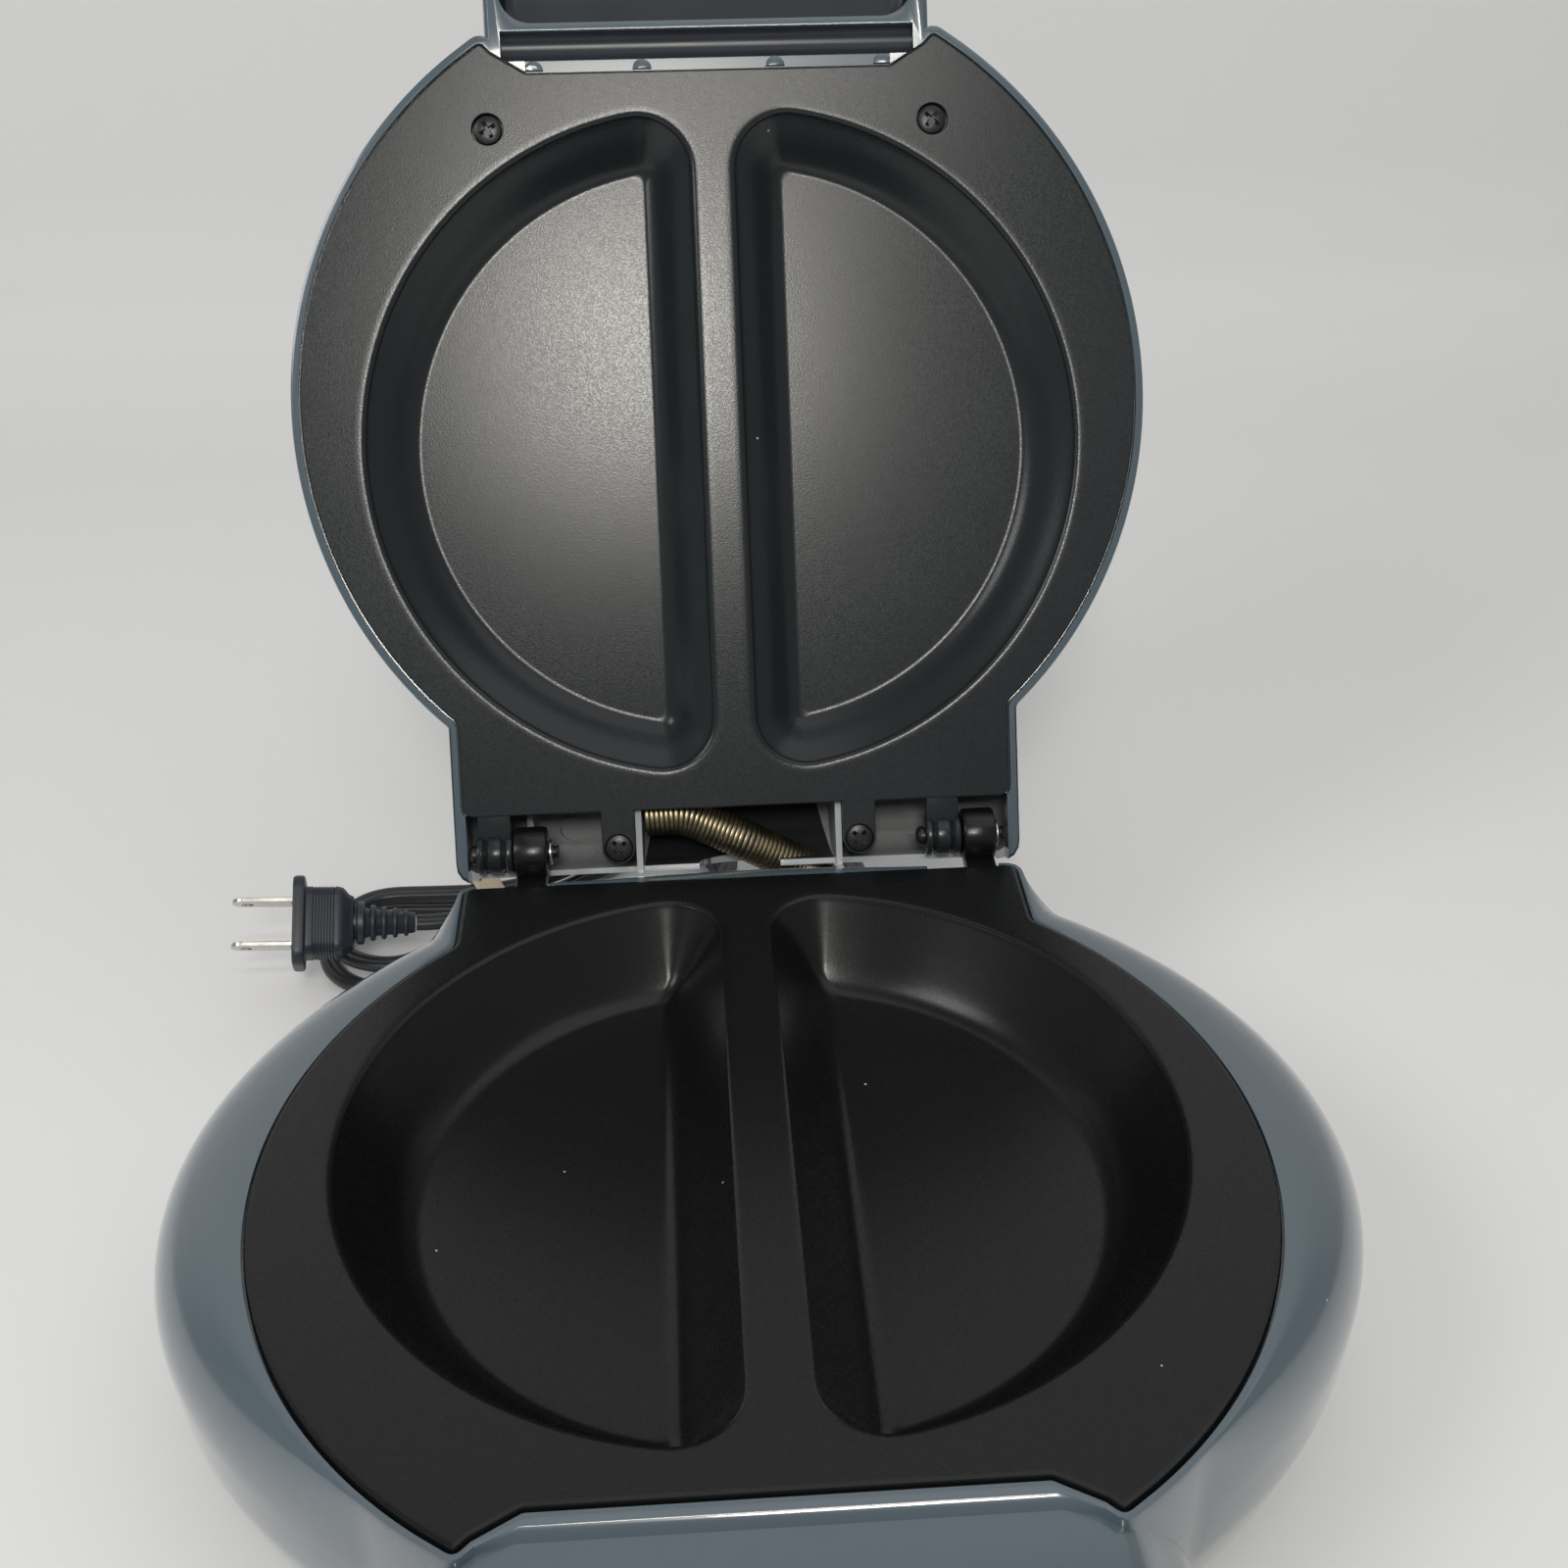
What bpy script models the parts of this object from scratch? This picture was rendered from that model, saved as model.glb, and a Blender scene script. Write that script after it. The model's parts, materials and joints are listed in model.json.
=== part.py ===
"""Electric breakfast cooker: a hinged countertop cooker with two half-moon wells in base and lid.

Lengths are in metres and +Z is up. Everything is laid out in the plate frame, whose zero is the
centre of the cooking plates on the base plate's top face, with the front at -Y and the hinge
at +Y. The lid is laid out closed in that frame and hangs under an empty on the hinge axis, which
turns it open. The frame itself stands where the object's own origin is the bottom centre of its
box, cord left out.
"""
import math

import bmesh
import bpy
from mathutils import Euler, Matrix, Vector

# Clearances
GAP = 0.0003
OVERRUN = 0.001

# Height of the base plate's cooking rim above the table
RIM_HEIGHT = 0.060

# Cooking plates, plan
PLATE_RADIUS = 0.107
PLATE_THICKNESS = 0.0025
PLATE_GAP = 0.0010
TAB_HALF_WIDTH = 0.0718
TAB_REACH = 0.104
TAB_CORNER = 0.0025
NOTCH_HALF_WIDTH = 0.046
NOTCH_REACH = 0.083
HORN_HALF_WIDTH = 0.0546
HORN_REACH = 0.0906
HORN_SHOULDER = 0.0595
OUTLINE_STEPS = 12

# Cooking wells
WELL_CENTRE_Y = 0.0106
WELL_ARC_SHIFT = 0.0075
WELL_RADIUS = 0.0832
WELL_CORNER = 0.013
WELL_WALL = 0.0022
WELL_LIP = 0.0010
BASE_RIB_HALF = 0.0069
BASE_WELL_DEPTH = 0.020
BASE_WELL_INSET = 0.0150
LID_RIB_HALF = 0.0060
LID_WELL_DEPTH = 0.011
LID_WELL_INSET = 0.0118
WELL_ARC_STEPS = 13
WELL_CORNER_STEPS = 3
WELL_DROP_SHARES = (0.0, 0.50, 0.88, 1.0)
WELL_INSET_SHARES = (0.02, 0.37, 0.74, 1.0)

# Hinge
HINGE_Y = 0.1142
HINGE_Z = 0.0031
OPEN_ANGLE = 116.0
PIN_RADIUS = 0.0019
PIN_HEAD_RADIUS = 0.0026
PIN_HEAD_LENGTH = 0.0020
PIN_TAIL = 0.0018
CLIP_RADIUS = 0.0034
CLIP_THICKNESS = 0.0008
BASE_EAR_RADIUS = 0.0069
BASE_EAR_WIDTH = 0.0086
LID_EAR_RADIUS = 0.0053
LID_EAR_WIDTH = 0.0094
EAR_GROOVE_DEPTH = 0.0009
EAR_GROOVE_SHARES = (0.17, 0.32, 0.68, 0.83)
EAR_NECK_ROOT = 0.0035
BASE_EAR_DROP = 0.0040
LEFT_LID_EAR_X = -0.0639
RIGHT_LID_EAR_X = 0.0538

# Fingers that screw the lid plate to the lid at the hinge side, and the screws
FINGER_X = 0.0317
FINGER_Y = 0.1137
FINGER_RADIUS = 0.0043
LID_SCREW_X = 0.0562
LID_SCREW_Y = -0.0697
SCREW_HEAD_RADIUS = 0.0036
SCREW_HEAD_HEIGHT = 0.0013
SCREW_SHANK_RADIUS = 0.0015
SCREW_LENGTH = 0.0105
SCREW_CROSS_LENGTH = 0.0042
SCREW_CROSS_WIDTH = 0.0009
SCREW_CROSS_DEPTH = 0.0008
SCREW_SINK = 0.0002
BOSS_RADIUS = 0.0042

# Base housing
WALL = 0.0024
RIM_DROP = 0.0008
RIM_MARGIN = 0.0016
LEDGE_WIDTH = 0.0030
LEDGE_THICKNESS = 0.0022
BODY_CENTRE_Y = 0.0084
BULGE_HALF_WIDTH = 0.1300
BULGE_HALF_DEPTH = 0.1079
BULGE_DROP = 0.0190
BULGE_LEAST = 0.0008
FOOT_RING_HALF_WIDTH = 0.118
FOOT_RING_HALF_DEPTH = 0.100
FOOT_HEIGHT = 0.0050
UPPER_TURN_SHARES = (0.0, 0.35, 0.68, 1.0)
LOWER_HEIGHT_SHARES = (0.45, 0.80, 1.0)
LOWER_DRAW_SHARES = (0.12, 0.48, 1.0)
REAR_SHARES = (0.66, 0.33, 0.0)
NOSE_HALF_WIDTH = 0.0750
NOSE_REACH = 0.1260
NOSE_ROOT = 0.060
NOSE_DROP = 0.0030
NOSE_CORNER = 0.020
NOSE_CORNER_STEPS = 5
NOSE_HEIGHT_SHARES = (0.0, 0.05, 0.16, 0.36, 0.65, 1.0)
NOSE_WIDTH_SHARES = (0.755, 0.80, 0.86, 0.95, 1.0, 0.97)
NOSE_REACH_SHARES = (0.925, 0.965, 0.99, 1.0, 0.98, 0.90)

# Bottom cover, feet and cover screws
COVER_THICKNESS = 0.0024
COVER_GAP = 0.0004
COVER_SCREW_X = 0.097
COVER_SCREW_OFFSET_Y = 0.0424
VENT_COUNT = 5
VENT_LENGTH = 0.030
VENT_WIDTH = 0.0030
VENT_PITCH = 0.0080
VENT_Y = -0.030
FOOT_RADIUS = 0.0070
FOOT_PLUG_RADIUS = 0.0025
FOOT_FRONT_X = 0.052
FOOT_FRONT_Y = -0.090
FOOT_REAR_X = 0.060
FOOT_REAR_Y = 0.076

# Lid housing
LID_RIM_MARGIN = 0.0026
LID_RIM_LIFT = 0.0004
LID_REAR_REACH = 0.1244
LID_SHOULDER = 0.0160
LID_DOME_RISE = 0.0220
LID_DOME_INSET = 0.0260
DOME_TURN_SHARES = (0.3, 0.6, 0.85, 1.0)
REAR_CUT_HALF_WIDTH = 0.0690
REAR_CUT_TOP = 0.0230
WINDOW_HALF_WIDTH = 0.0712
WINDOW_FRONT = 0.0970
CHANNEL_X = 0.0264
CHANNEL_WALL = 0.0016
CHANNEL_STEPS = 4
HANDLE_HALF_WIDTH = 0.0560
HANDLE_REACH = 0.1300
HANDLE_ROOT = 0.0600
HANDLE_TOP = 0.0230
HANDLE_CORNER = 0.0150
HANDLE_HEIGHT_SHARES = (0.0, 0.10, 0.55, 0.88, 1.0)
HANDLE_WIDTH_SHARES = (0.99, 1.0, 0.99, 0.93, 0.84)
HANDLE_REACH_SHARES = (0.985, 1.0, 0.99, 0.94, 0.86)
POCKET_HALF_WIDTH = 0.0520
POCKET_FRONT = 0.1245
POCKET_REAR = 0.0955
POCKET_DEPTH = 0.0130
POCKET_CORNER = 0.0080
POCKET_CORNER_STEPS = 4
COVE_Y = 0.0908
COVE_RADIUS = 0.0036
COVE_DEPTH = 0.0022
NOTCH_STEP_DEPTH = 0.0010
NOTCH_STEP_REACH = 0.0872
BEAD_RADIUS = 0.0024
BEAD_HEIGHT = 0.0007
BEAD_INNER_X = 0.0168
BEAD_OUTER_X = 0.0440

# Heating elements
ELEMENT_RADIUS = 0.00325
ELEMENT_HALF_WIDTH = 0.0928
ELEMENT_HALF_DEPTH = 0.0853
ELEMENT_OPENING = 0.0120
BASE_ELEMENT_DROP = 0.0140
BASE_ELEMENT_LEG = 0.0160
LID_ELEMENT_DROP = 0.0110
LID_ELEMENT_LEG = 0.0120
ELEMENT_BEND = 0.0060
ELEMENT_POINTS = 22

# Heat pans round the elements
PAN_HALF_WIDTH = 0.0990
PAN_HALF_DEPTH = 0.0898
PAN_WALL = 0.0008
PAN_STEPS = 24
PAN_DRAW = 0.0030
BASE_PAN_DEPTH = 0.0265
LID_PAN_DEPTH = 0.0195

# Controls inside
THERMOSTAT_RADIUS = 0.0090
THERMOSTAT_HEIGHT = 0.0085
THERMOSTAT_Y = 0.030
FUSE_RADIUS = 0.0020
FUSE_LENGTH = 0.022
FUSE_Y = 0.055
TERMINAL_LENGTH = 0.038
TERMINAL_WIDTH = 0.014
TERMINAL_HEIGHT = 0.012
TERMINAL_Y = 0.070
LENS_RADIUS = 0.0034
LENS_FLANGE_RADIUS = 0.0046
LENS_FLANGE_THICKNESS = 0.0011
LENS_PROUD = 0.0008
LENS_SPACING = 0.018
LENS_Y = -0.050
LAMP_HOLDER_WIDTH = 0.034
LAMP_HOLDER_DEPTH = 0.015
LAMP_HOLDER_HEIGHT = 0.0085

# Wound wire conduit that carries the lid's leads across the hinge
CONDUIT_MEAN_RADIUS = 0.0040
CONDUIT_WIRE = 0.0010
CONDUIT_PITCH = 0.0026
CONDUIT_POINTS_PER_CURL = 8
CONDUIT_BASE_X = 0.0268
CONDUIT_BASE_Z = -0.0167
CONDUIT_REAR_Y = 0.1230
CONDUIT_MIDDLE = (0.0016, 0.1227, -0.0012)
CONDUIT_LID_X = -0.0140
CONDUIT_LID_Y = 0.1085
CONDUIT_LID_Z = 0.01105
CONDUIT_BEND_RADII = (0.0125, 0.0250, 0.0140)
BUSH_INNER_Y = 0.1005
BUSH_OUTER_Y = 0.1125
BUSH_BORE_PLAY = 0.0004
BUSH_WALL = 0.0008
BUSH_LIP = 0.0008
LEAD_HOLE_RADIUS = 0.0028

# Cord, its gland, its hank and its plug
CORD_WIDTH = 0.0054
CORD_BEVEL_RESOLUTION = 2
GLAND_X = 0.036
GLAND_Z = -0.033
GLAND_FLANGE_RADIUS = 0.0075
GLAND_FLANGE_THICKNESS = 0.0020
GLAND_NECK_RADIUS = 0.0048
GLAND_BOOT_ROOT_RADIUS = 0.0056
GLAND_BOOT_TIP_RADIUS = 0.0036
GLAND_BOOT_LENGTH = 0.025
GLAND_OUTER_Y = 0.1130
GLAND_INNER_Y = 0.1010
GLAND_PAD_RADIUS = 0.0085
GLAND_PAD_DEPTH = 0.0080
HANK_X = -0.0619
HANK_Y = 0.1721
HANK_ANGLE = 20.0
HANK_RUN = 0.084
HANK_END_RADIUS = 0.0225
HANK_STEP = 0.0061
HANK_LAYER = 0.0060
HANK_DRAW_IN = 0.0128
HANK_TURNS = 2
HANK_POINTS_PER_TURN = 24
HANK_END_POINTS = 6
HANK_TAIL_POINTS = 2
TIE_THICKNESS = 0.0008
TIE_WIDTH = 0.0080
TIE_CLEARANCE = 0.0008
TIE_SHIFT = -0.0120
LEAD_ROUTE = (
    (0.0332, 0.1624, -0.0353),
    (0.0252, 0.1704, -0.0405),
    (0.0140, 0.1734, -0.0465),
    (0.0040, 0.1716, -0.0510),
    (-0.0082, 0.1656, -0.0548),
    (-0.0253, 0.1645, -0.0557),
    (-0.0408, 0.1652, -0.0557),
)
TAIL_ROUTE = (
    (0.0100, -0.0130, -0.0464),
    (-0.0060, -0.0138, -0.0424),
    (-0.0200, -0.0164, -0.0414),
)
PLUG_X = -0.1269
PLUG_Y = 0.1419
PLUG_Z = -0.0360
PLUG_ANGLE = 6.0
PLUG_DIP = 6.8
PLUG_ROLL = 42.0
PLUG_FLANGE_HALF_WIDTH = 0.0130
PLUG_FLANGE_HALF_DEPTH = 0.0085
PLUG_FLANGE_THICKNESS = 0.0032
PLUG_BODY_LENGTH = 0.0125
PLUG_BODY_SHARE = 0.77
PLUG_COLLAR_RADIUS = 0.0072
PLUG_RELIEF_LENGTH = 0.0183
PLUG_RELIEF_ROOT_RADIUS = 0.0052
PLUG_RELIEF_TIP_RADIUS = 0.0038
PLUG_RELIEF_GROOVE = 0.0009
PLUG_RELIEF_RIBS = 4
BLADE_SPACING = 0.0127
BLADE_WIDTH = 0.0063
BLADE_THICKNESS = 0.0015
BLADE_LENGTH = 0.0170

# Steps of each piece of a route, and faces of a round bar, a small round part and a coarse one
ROUTE_STEPS = 24
FINE_FACES = 18
ROUND_FACES = 12
SMALL_FACES = 8

MATERIALS = {
    "slate_plastic": ((0.105, 0.140, 0.170), 0.18, 0.0),
    "nonstick": ((0.020, 0.022, 0.023), 0.45, 0.0),
    "steel": ((0.55, 0.55, 0.56), 0.35, 1.0),
    "aluminium": ((0.70, 0.70, 0.71), 0.40, 1.0),
    "brass": ((0.45, 0.38, 0.24), 0.35, 1.0),
    "black_screw": ((0.020, 0.020, 0.021), 0.35, 1.0),
    "dark_plastic": ((0.020, 0.022, 0.025), 0.40, 0.0),
    "rubber": ((0.030, 0.030, 0.032), 0.70, 0.0),
    "cord_vinyl": ((0.020, 0.022, 0.026), 0.50, 0.0),
    "blade_metal": ((0.62, 0.60, 0.57), 0.30, 1.0),
    "ceramic": ((0.80, 0.78, 0.72), 0.60, 0.0),
    "red_lens": ((0.60, 0.03, 0.02), 0.15, 0.0),
    "green_lens": ((0.03, 0.40, 0.08), 0.15, 0.0),
    "cream_tie": ((0.55, 0.48, 0.33), 0.60, 0.0),
}


def start_scene():
    """Clear the scene and make the collections for the parts and for the tools that shape them."""
    for item in list(bpy.data.objects):
        bpy.data.objects.remove(item, do_unlink=True)
    made = []
    for title in ("electric_breakfast_cooker", "shaping_tools"):
        collection = bpy.data.collections.new(title)
        bpy.context.scene.collection.children.link(collection)
        made.append(collection)
    return made


PARTS, TOOLS = start_scene()


def build_material(title):
    """Return the named material, made on its first use."""
    if title in bpy.data.materials:
        return bpy.data.materials[title]
    colour, roughness, metallic = MATERIALS[title]
    material = bpy.data.materials.new(title)
    material.use_nodes = True
    shader = material.node_tree.nodes["Principled BSDF"]
    shader.inputs["Base Color"].default_value = (*colour, 1.0)
    shader.inputs["Roughness"].default_value = roughness
    shader.inputs["Metallic"].default_value = metallic
    material.diffuse_color = (*colour, 1.0)
    return material


def make_empty(title, parent=None, location=(0, 0, 0), rotation=(0, 0, 0)):
    """Make an empty that carries pieces."""
    empty = bpy.data.objects.new(title, None)
    PARTS.objects.link(empty)
    empty.parent = parent
    empty.location = location
    empty.rotation_euler = Euler(rotation)
    return empty


def mesh_object(title, mesh, finish, carrier):
    """Link a mesh as a part that has a finish, or as a hidden shaping tool where it has none."""
    item = bpy.data.objects.new(title, mesh)
    item.parent = carrier.empty
    item.location = carrier.shift
    if finish:
        PARTS.objects.link(item)
        mesh.materials.append(build_material(finish))
    else:
        TOOLS.objects.link(item)
        item.hide_render = True
        item.display_type = "WIRE"
    return item


def finish_mesh(grid, title, smooth=True):
    """Turn a bmesh into a mesh with outward faces and smooth shading between its sharp edges."""
    bmesh.ops.recalc_face_normals(grid, faces=grid.faces)
    mesh = bpy.data.meshes.new(title)
    grid.to_mesh(mesh)
    grid.free()
    if smooth:
        mesh.shade_smooth()
        mesh.set_sharp_from_angle(angle=math.radians(35))
    return mesh


def loft(title, rings, finish, carrier):
    """Skin a stack of rings that all have the same number of points, and close both ends."""
    grid = bmesh.new()
    rows = [[grid.verts.new(point) for point in ring] for ring in rings]
    count = len(rows[0])
    for lower, upper in zip(rows, rows[1:]):
        for index in range(count):
            following = (index + 1) % count
            grid.faces.new((lower[index], lower[following], upper[following], upper[index]))
    grid.faces.new(rows[0][::-1])
    grid.faces.new(rows[-1])
    bmesh.ops.triangulate(grid, faces=grid.faces)
    return mesh_object(title, finish_mesh(grid, title), finish, carrier)


def extrude_outline(title, outlines, low, high, finish, carrier):
    """Raise flat outlines between two heights, where an outline inside another one is a hole."""
    curve = bpy.data.curves.new(title, "CURVE")
    curve.dimensions = "2D"
    curve.fill_mode = "BOTH"
    curve.extrude = (high - low) / 2
    curve.render_resolution_u = 0
    for outline in outlines:
        spline = curve.splines.new("POLY")
        spline.points.add(len(outline) - 1)
        for point, (x, y) in zip(spline.points, outline):
            point.co = (x, y, 0, 1)
        spline.use_cyclic_u = True
    guide = bpy.data.objects.new(title + "_curve", curve)
    TOOLS.objects.link(guide)
    mesh = curve_to_mesh(guide, title)
    mesh.transform(Matrix.Translation((0, 0, (low + high) / 2)))
    return mesh_object(title, mesh, finish, carrier)


def curve_to_mesh(guide, title):
    """Replace a curve object by a closed mesh with welded caps."""
    bpy.context.view_layer.update()
    evaluated = guide.evaluated_get(bpy.context.evaluated_depsgraph_get())
    mesh = bpy.data.meshes.new_from_object(evaluated)
    bpy.data.objects.remove(guide, do_unlink=True)
    grid = bmesh.new()
    grid.from_mesh(mesh)
    bmesh.ops.remove_doubles(grid, verts=grid.verts, dist=OVERRUN / 20)
    bpy.data.meshes.remove(mesh)
    return finish_mesh(grid, title)


def tube(title, points, radius, finish, carrier, bevel_resolution):
    """Run a round tube with filled caps along a list of points."""
    curve = bpy.data.curves.new(title, "CURVE")
    curve.dimensions = "3D"
    curve.bevel_depth = radius
    curve.bevel_resolution = bevel_resolution
    curve.use_fill_caps = True
    curve.render_resolution_u = 0
    spline = curve.splines.new("POLY")
    spline.points.add(len(points) - 1)
    for target, point in zip(spline.points, points):
        target.co = (*point, 1)
    guide = bpy.data.objects.new(title + "_curve", curve)
    TOOLS.objects.link(guide)
    return mesh_object(title, curve_to_mesh(guide, title), finish, carrier)


def cylinder(title, radius, start, end, finish, carrier, faces=ROUND_FACES, end_radius=None):
    """Make a cylinder or a cone between two points."""
    start, end = Vector(start), Vector(end)
    grid = bmesh.new()
    bmesh.ops.create_cone(grid, cap_ends=True, segments=faces, radius1=radius,
                          radius2=radius if end_radius is None else end_radius,
                          depth=(end - start).length)
    turn = Vector((0, 0, 1)).rotation_difference(end - start).to_matrix().to_4x4()
    place = Matrix.Translation((start + end) / 2) @ turn
    bmesh.ops.transform(grid, matrix=place, verts=grid.verts)
    return mesh_object(title, finish_mesh(grid, title), finish, carrier)


def box(title, low, high, finish, carrier):
    """Make a box between two corners."""
    grid = bmesh.new()
    bmesh.ops.create_cube(grid, size=1)
    low, high = Vector(low), Vector(high)
    size = high - low
    place = Matrix.Translation((low + high) / 2) @ Matrix.Diagonal((*size, 1))
    bmesh.ops.transform(grid, matrix=place, verts=grid.verts)
    return mesh_object(title, finish_mesh(grid, title, smooth=False), finish, carrier)


def turned(title, profile, faces, finish, carrier, turn=None):
    """Spin a profile of (radius, height) pairs, listed top to bottom, round the Z axis."""
    mesh = bpy.data.meshes.new(title)
    mesh.from_pydata([(radius, 0, height) for radius, height in profile],
                     [(i, i + 1) for i in range(len(profile) - 1)], [])
    guide = bpy.data.objects.new(title + "_profile", mesh)
    TOOLS.objects.link(guide)
    screw = guide.modifiers.new("Screw", "SCREW")
    screw.steps = faces
    screw.render_steps = faces
    screw.use_merge_vertices = True
    screw.merge_threshold = OVERRUN / 20
    spun = curve_to_mesh(guide, title)
    bpy.data.meshes.remove(mesh)
    if turn:
        spun.transform(turn)
    return mesh_object(title, spun, finish, carrier)


def combine(body, other, operation):
    """Cut or join a part with another solid through an exact Boolean modifier."""
    step = body.modifiers.new(operation.title() + "_" + other.name, "BOOLEAN")
    step.operation = operation
    step.solver = "EXACT"
    step.object = other


def cut(body, *others):
    """Cut solids out of a part."""
    for other in others:
        combine(body, other, "DIFFERENCE")


def join(body, *others):
    """Join solids to a part."""
    for other in others:
        combine(body, other, "UNION")


class Carrier:
    """Says which empty carries a piece, and where the plate frame's zero lies from that empty."""

    def __init__(self, empty, shift=(0, 0, 0)):
        self.empty = empty
        self.shift = shift


def mirrored(points):
    """Return a right half outline, listed front to rear, followed by its left half."""
    return list(points) + [(-x, y) for x, y in reversed(points) if x]


def arc_points(centre, radius, start, stop, steps):
    """Return points along an arc, both ends included, with angles in radians."""
    x, y = centre
    span = stop - start
    return [(x + radius * math.cos(start + span * i / steps),
             y + radius * math.sin(start + span * i / steps)) for i in range(steps + 1)]


def plate_outline(margin=0.0, reach=TAB_REACH, rear_shares=()):
    """Return the plates' plan outline, counted from the front notch, moved out by a margin."""
    radius = PLATE_RADIUS + margin
    half = TAB_HALF_WIDTH + margin
    reach = reach + margin
    slope_share = (HORN_HALF_WIDTH - NOTCH_HALF_WIDTH) / (HORN_SHOULDER - NOTCH_HALF_WIDTH)
    tip = (HORN_HALF_WIDTH + HORN_SHOULDER) / 2
    points = [
        (NOTCH_HALF_WIDTH - margin * slope_share, -NOTCH_REACH - margin),
        (HORN_HALF_WIDTH - margin * slope_share, -HORN_REACH + TAB_CORNER - margin),
        (tip - margin * slope_share, -HORN_REACH - margin),
    ]
    start = -math.acos(HORN_SHOULDER / PLATE_RADIUS)
    stop = math.acos(half / radius)
    points += arc_points((0, 0), radius, start, stop, OUTLINE_STEPS)
    points += [(half, reach - TAB_CORNER), (half - TAB_CORNER, reach)]
    points += [((half - TAB_CORNER) * share, reach) for share in rear_shares]
    return mirrored(points)


def half_moon(rib_half, inset, side):
    """Return one well's plan outline, drawn in from its rim by an inset."""
    radius = WELL_RADIUS - inset
    corner = max(WELL_CORNER - inset, WELL_CORNER / 5)
    edge = rib_half + inset
    centre_x = edge + corner
    centre_y = math.sqrt((radius - corner) ** 2 - (centre_x - WELL_ARC_SHIFT) ** 2)
    angle = math.atan2(centre_y, centre_x - WELL_ARC_SHIFT)
    points = arc_points((WELL_ARC_SHIFT, 0), radius, -angle, angle, WELL_ARC_STEPS)
    points += arc_points((centre_x, centre_y), corner, angle, math.pi, WELL_CORNER_STEPS)[1:]
    points += arc_points((centre_x, -centre_y), corner, math.pi, 2 * math.pi - angle,
                         WELL_CORNER_STEPS)[:-1]
    return [(side * x, WELL_CENTRE_Y + y) for x, y in points]


def lift(outline, height):
    """Return a flat outline's points at a height."""
    return [(x, y, height) for x, y in outline]


def ellipse_reach(angle, half_width, half_depth):
    """Return how far an ellipse reaches from its centre at an angle."""
    return 1 / math.hypot(math.cos(angle) / half_width, math.sin(angle) / half_depth)


def shape_wells(plate, rib_half, depth, inset, face, sense, carrier):
    """Join two bowls to a plate and hollow them; sense is -1 where the wells go down."""
    bowls, hollows = [], []
    for side, word in ((-1, "left"), (1, "right")):
        hollow = [lift(half_moon(rib_half, -WELL_LIP - OVERRUN, side), face - sense * OVERRUN)]
        bowl = [lift(half_moon(rib_half, -WELL_WALL, side), face + sense * PLATE_THICKNESS / 2)]
        for drop_share, inset_share in zip(WELL_DROP_SHARES, WELL_INSET_SHARES):
            drop = WELL_LIP + (depth - WELL_LIP) * drop_share
            hollow.append(lift(half_moon(rib_half, inset * inset_share, side), face + sense * drop))
            if not drop_share:
                continue
            drop = PLATE_THICKNESS + (depth + WELL_WALL - PLATE_THICKNESS) * drop_share
            bowl.append(lift(half_moon(rib_half, inset * inset_share - WELL_WALL, side),
                             face + sense * drop))
        bowls.append(loft(plate.name + "_bowl_" + word, bowl, None, carrier))
        hollows.append(loft(plate.name + "_well_" + word, hollow, None, carrier))
    join(plate, *bowls)
    cut(plate, *hollows)


def body_rings(inwards, top):
    """Return the base housing's rings from its rim over the bulge to its foot ring."""
    centre = Vector((0, BODY_CENTRE_Y))
    outline = plate_outline(RIM_MARGIN, rear_shares=REAR_SHARES)
    rays = [Vector(point) - centre for point in outline]
    rims, bulges, feet = [], [], []
    for ray in rays:
        angle = math.atan2(ray.y, ray.x)
        rims.append(ray.length)
        bulges.append(max(ellipse_reach(angle, BULGE_HALF_WIDTH, BULGE_HALF_DEPTH),
                          ray.length + BULGE_LEAST))
        feet.append(min(ellipse_reach(angle, FOOT_RING_HALF_WIDTH, FOOT_RING_HALF_DEPTH),
                        bulges[-1]))
    levels = []
    for share in UPPER_TURN_SHARES:
        turn = share * math.pi / 2
        levels.append((rims, bulges, math.sin(turn), -top - (BULGE_DROP - top) * (1 - math.cos(turn))))
    lower = RIM_HEIGHT - FOOT_HEIGHT - BULGE_DROP
    for height_share, draw_share in zip(LOWER_HEIGHT_SHARES, LOWER_DRAW_SHARES):
        levels.append((bulges, feet, draw_share, -BULGE_DROP - lower * height_share))
    rings = []
    for start, stop, part, height in levels:
        ring = []
        for ray, first, second in zip(rays, start, stop):
            spot = centre + ray.normalized() * (first + (second - first) * part - inwards)
            ring.append((spot.x, spot.y, height))
        rings.append(ring)
    return rings


def rounded_front(half_width, reach, root, corner, steps):
    """Return a plan outline with a straight back and two round front corners."""
    start, stop = -math.pi / 2, 0
    right = [(0, -reach)]
    right += arc_points((half_width - corner, corner - reach), corner, start, stop, steps)
    right.append((half_width, -root))
    return right + [(-x, y) for x, y in right[:0:-1]]


def nose_rings(inwards, top, bottom):
    """Return the rings of the base's front nose between two heights below the plates."""
    rings = []
    for height_share, width_share, reach_share in zip(NOSE_HEIGHT_SHARES, NOSE_WIDTH_SHARES,
                                                      NOSE_REACH_SHARES):
        outline = rounded_front(NOSE_HALF_WIDTH * width_share - inwards,
                                NOSE_REACH * reach_share - inwards, NOSE_ROOT,
                                NOSE_CORNER - inwards, NOSE_CORNER_STEPS)
        rings.append(lift(outline, -top - (bottom - top) * height_share))
    return rings


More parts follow.
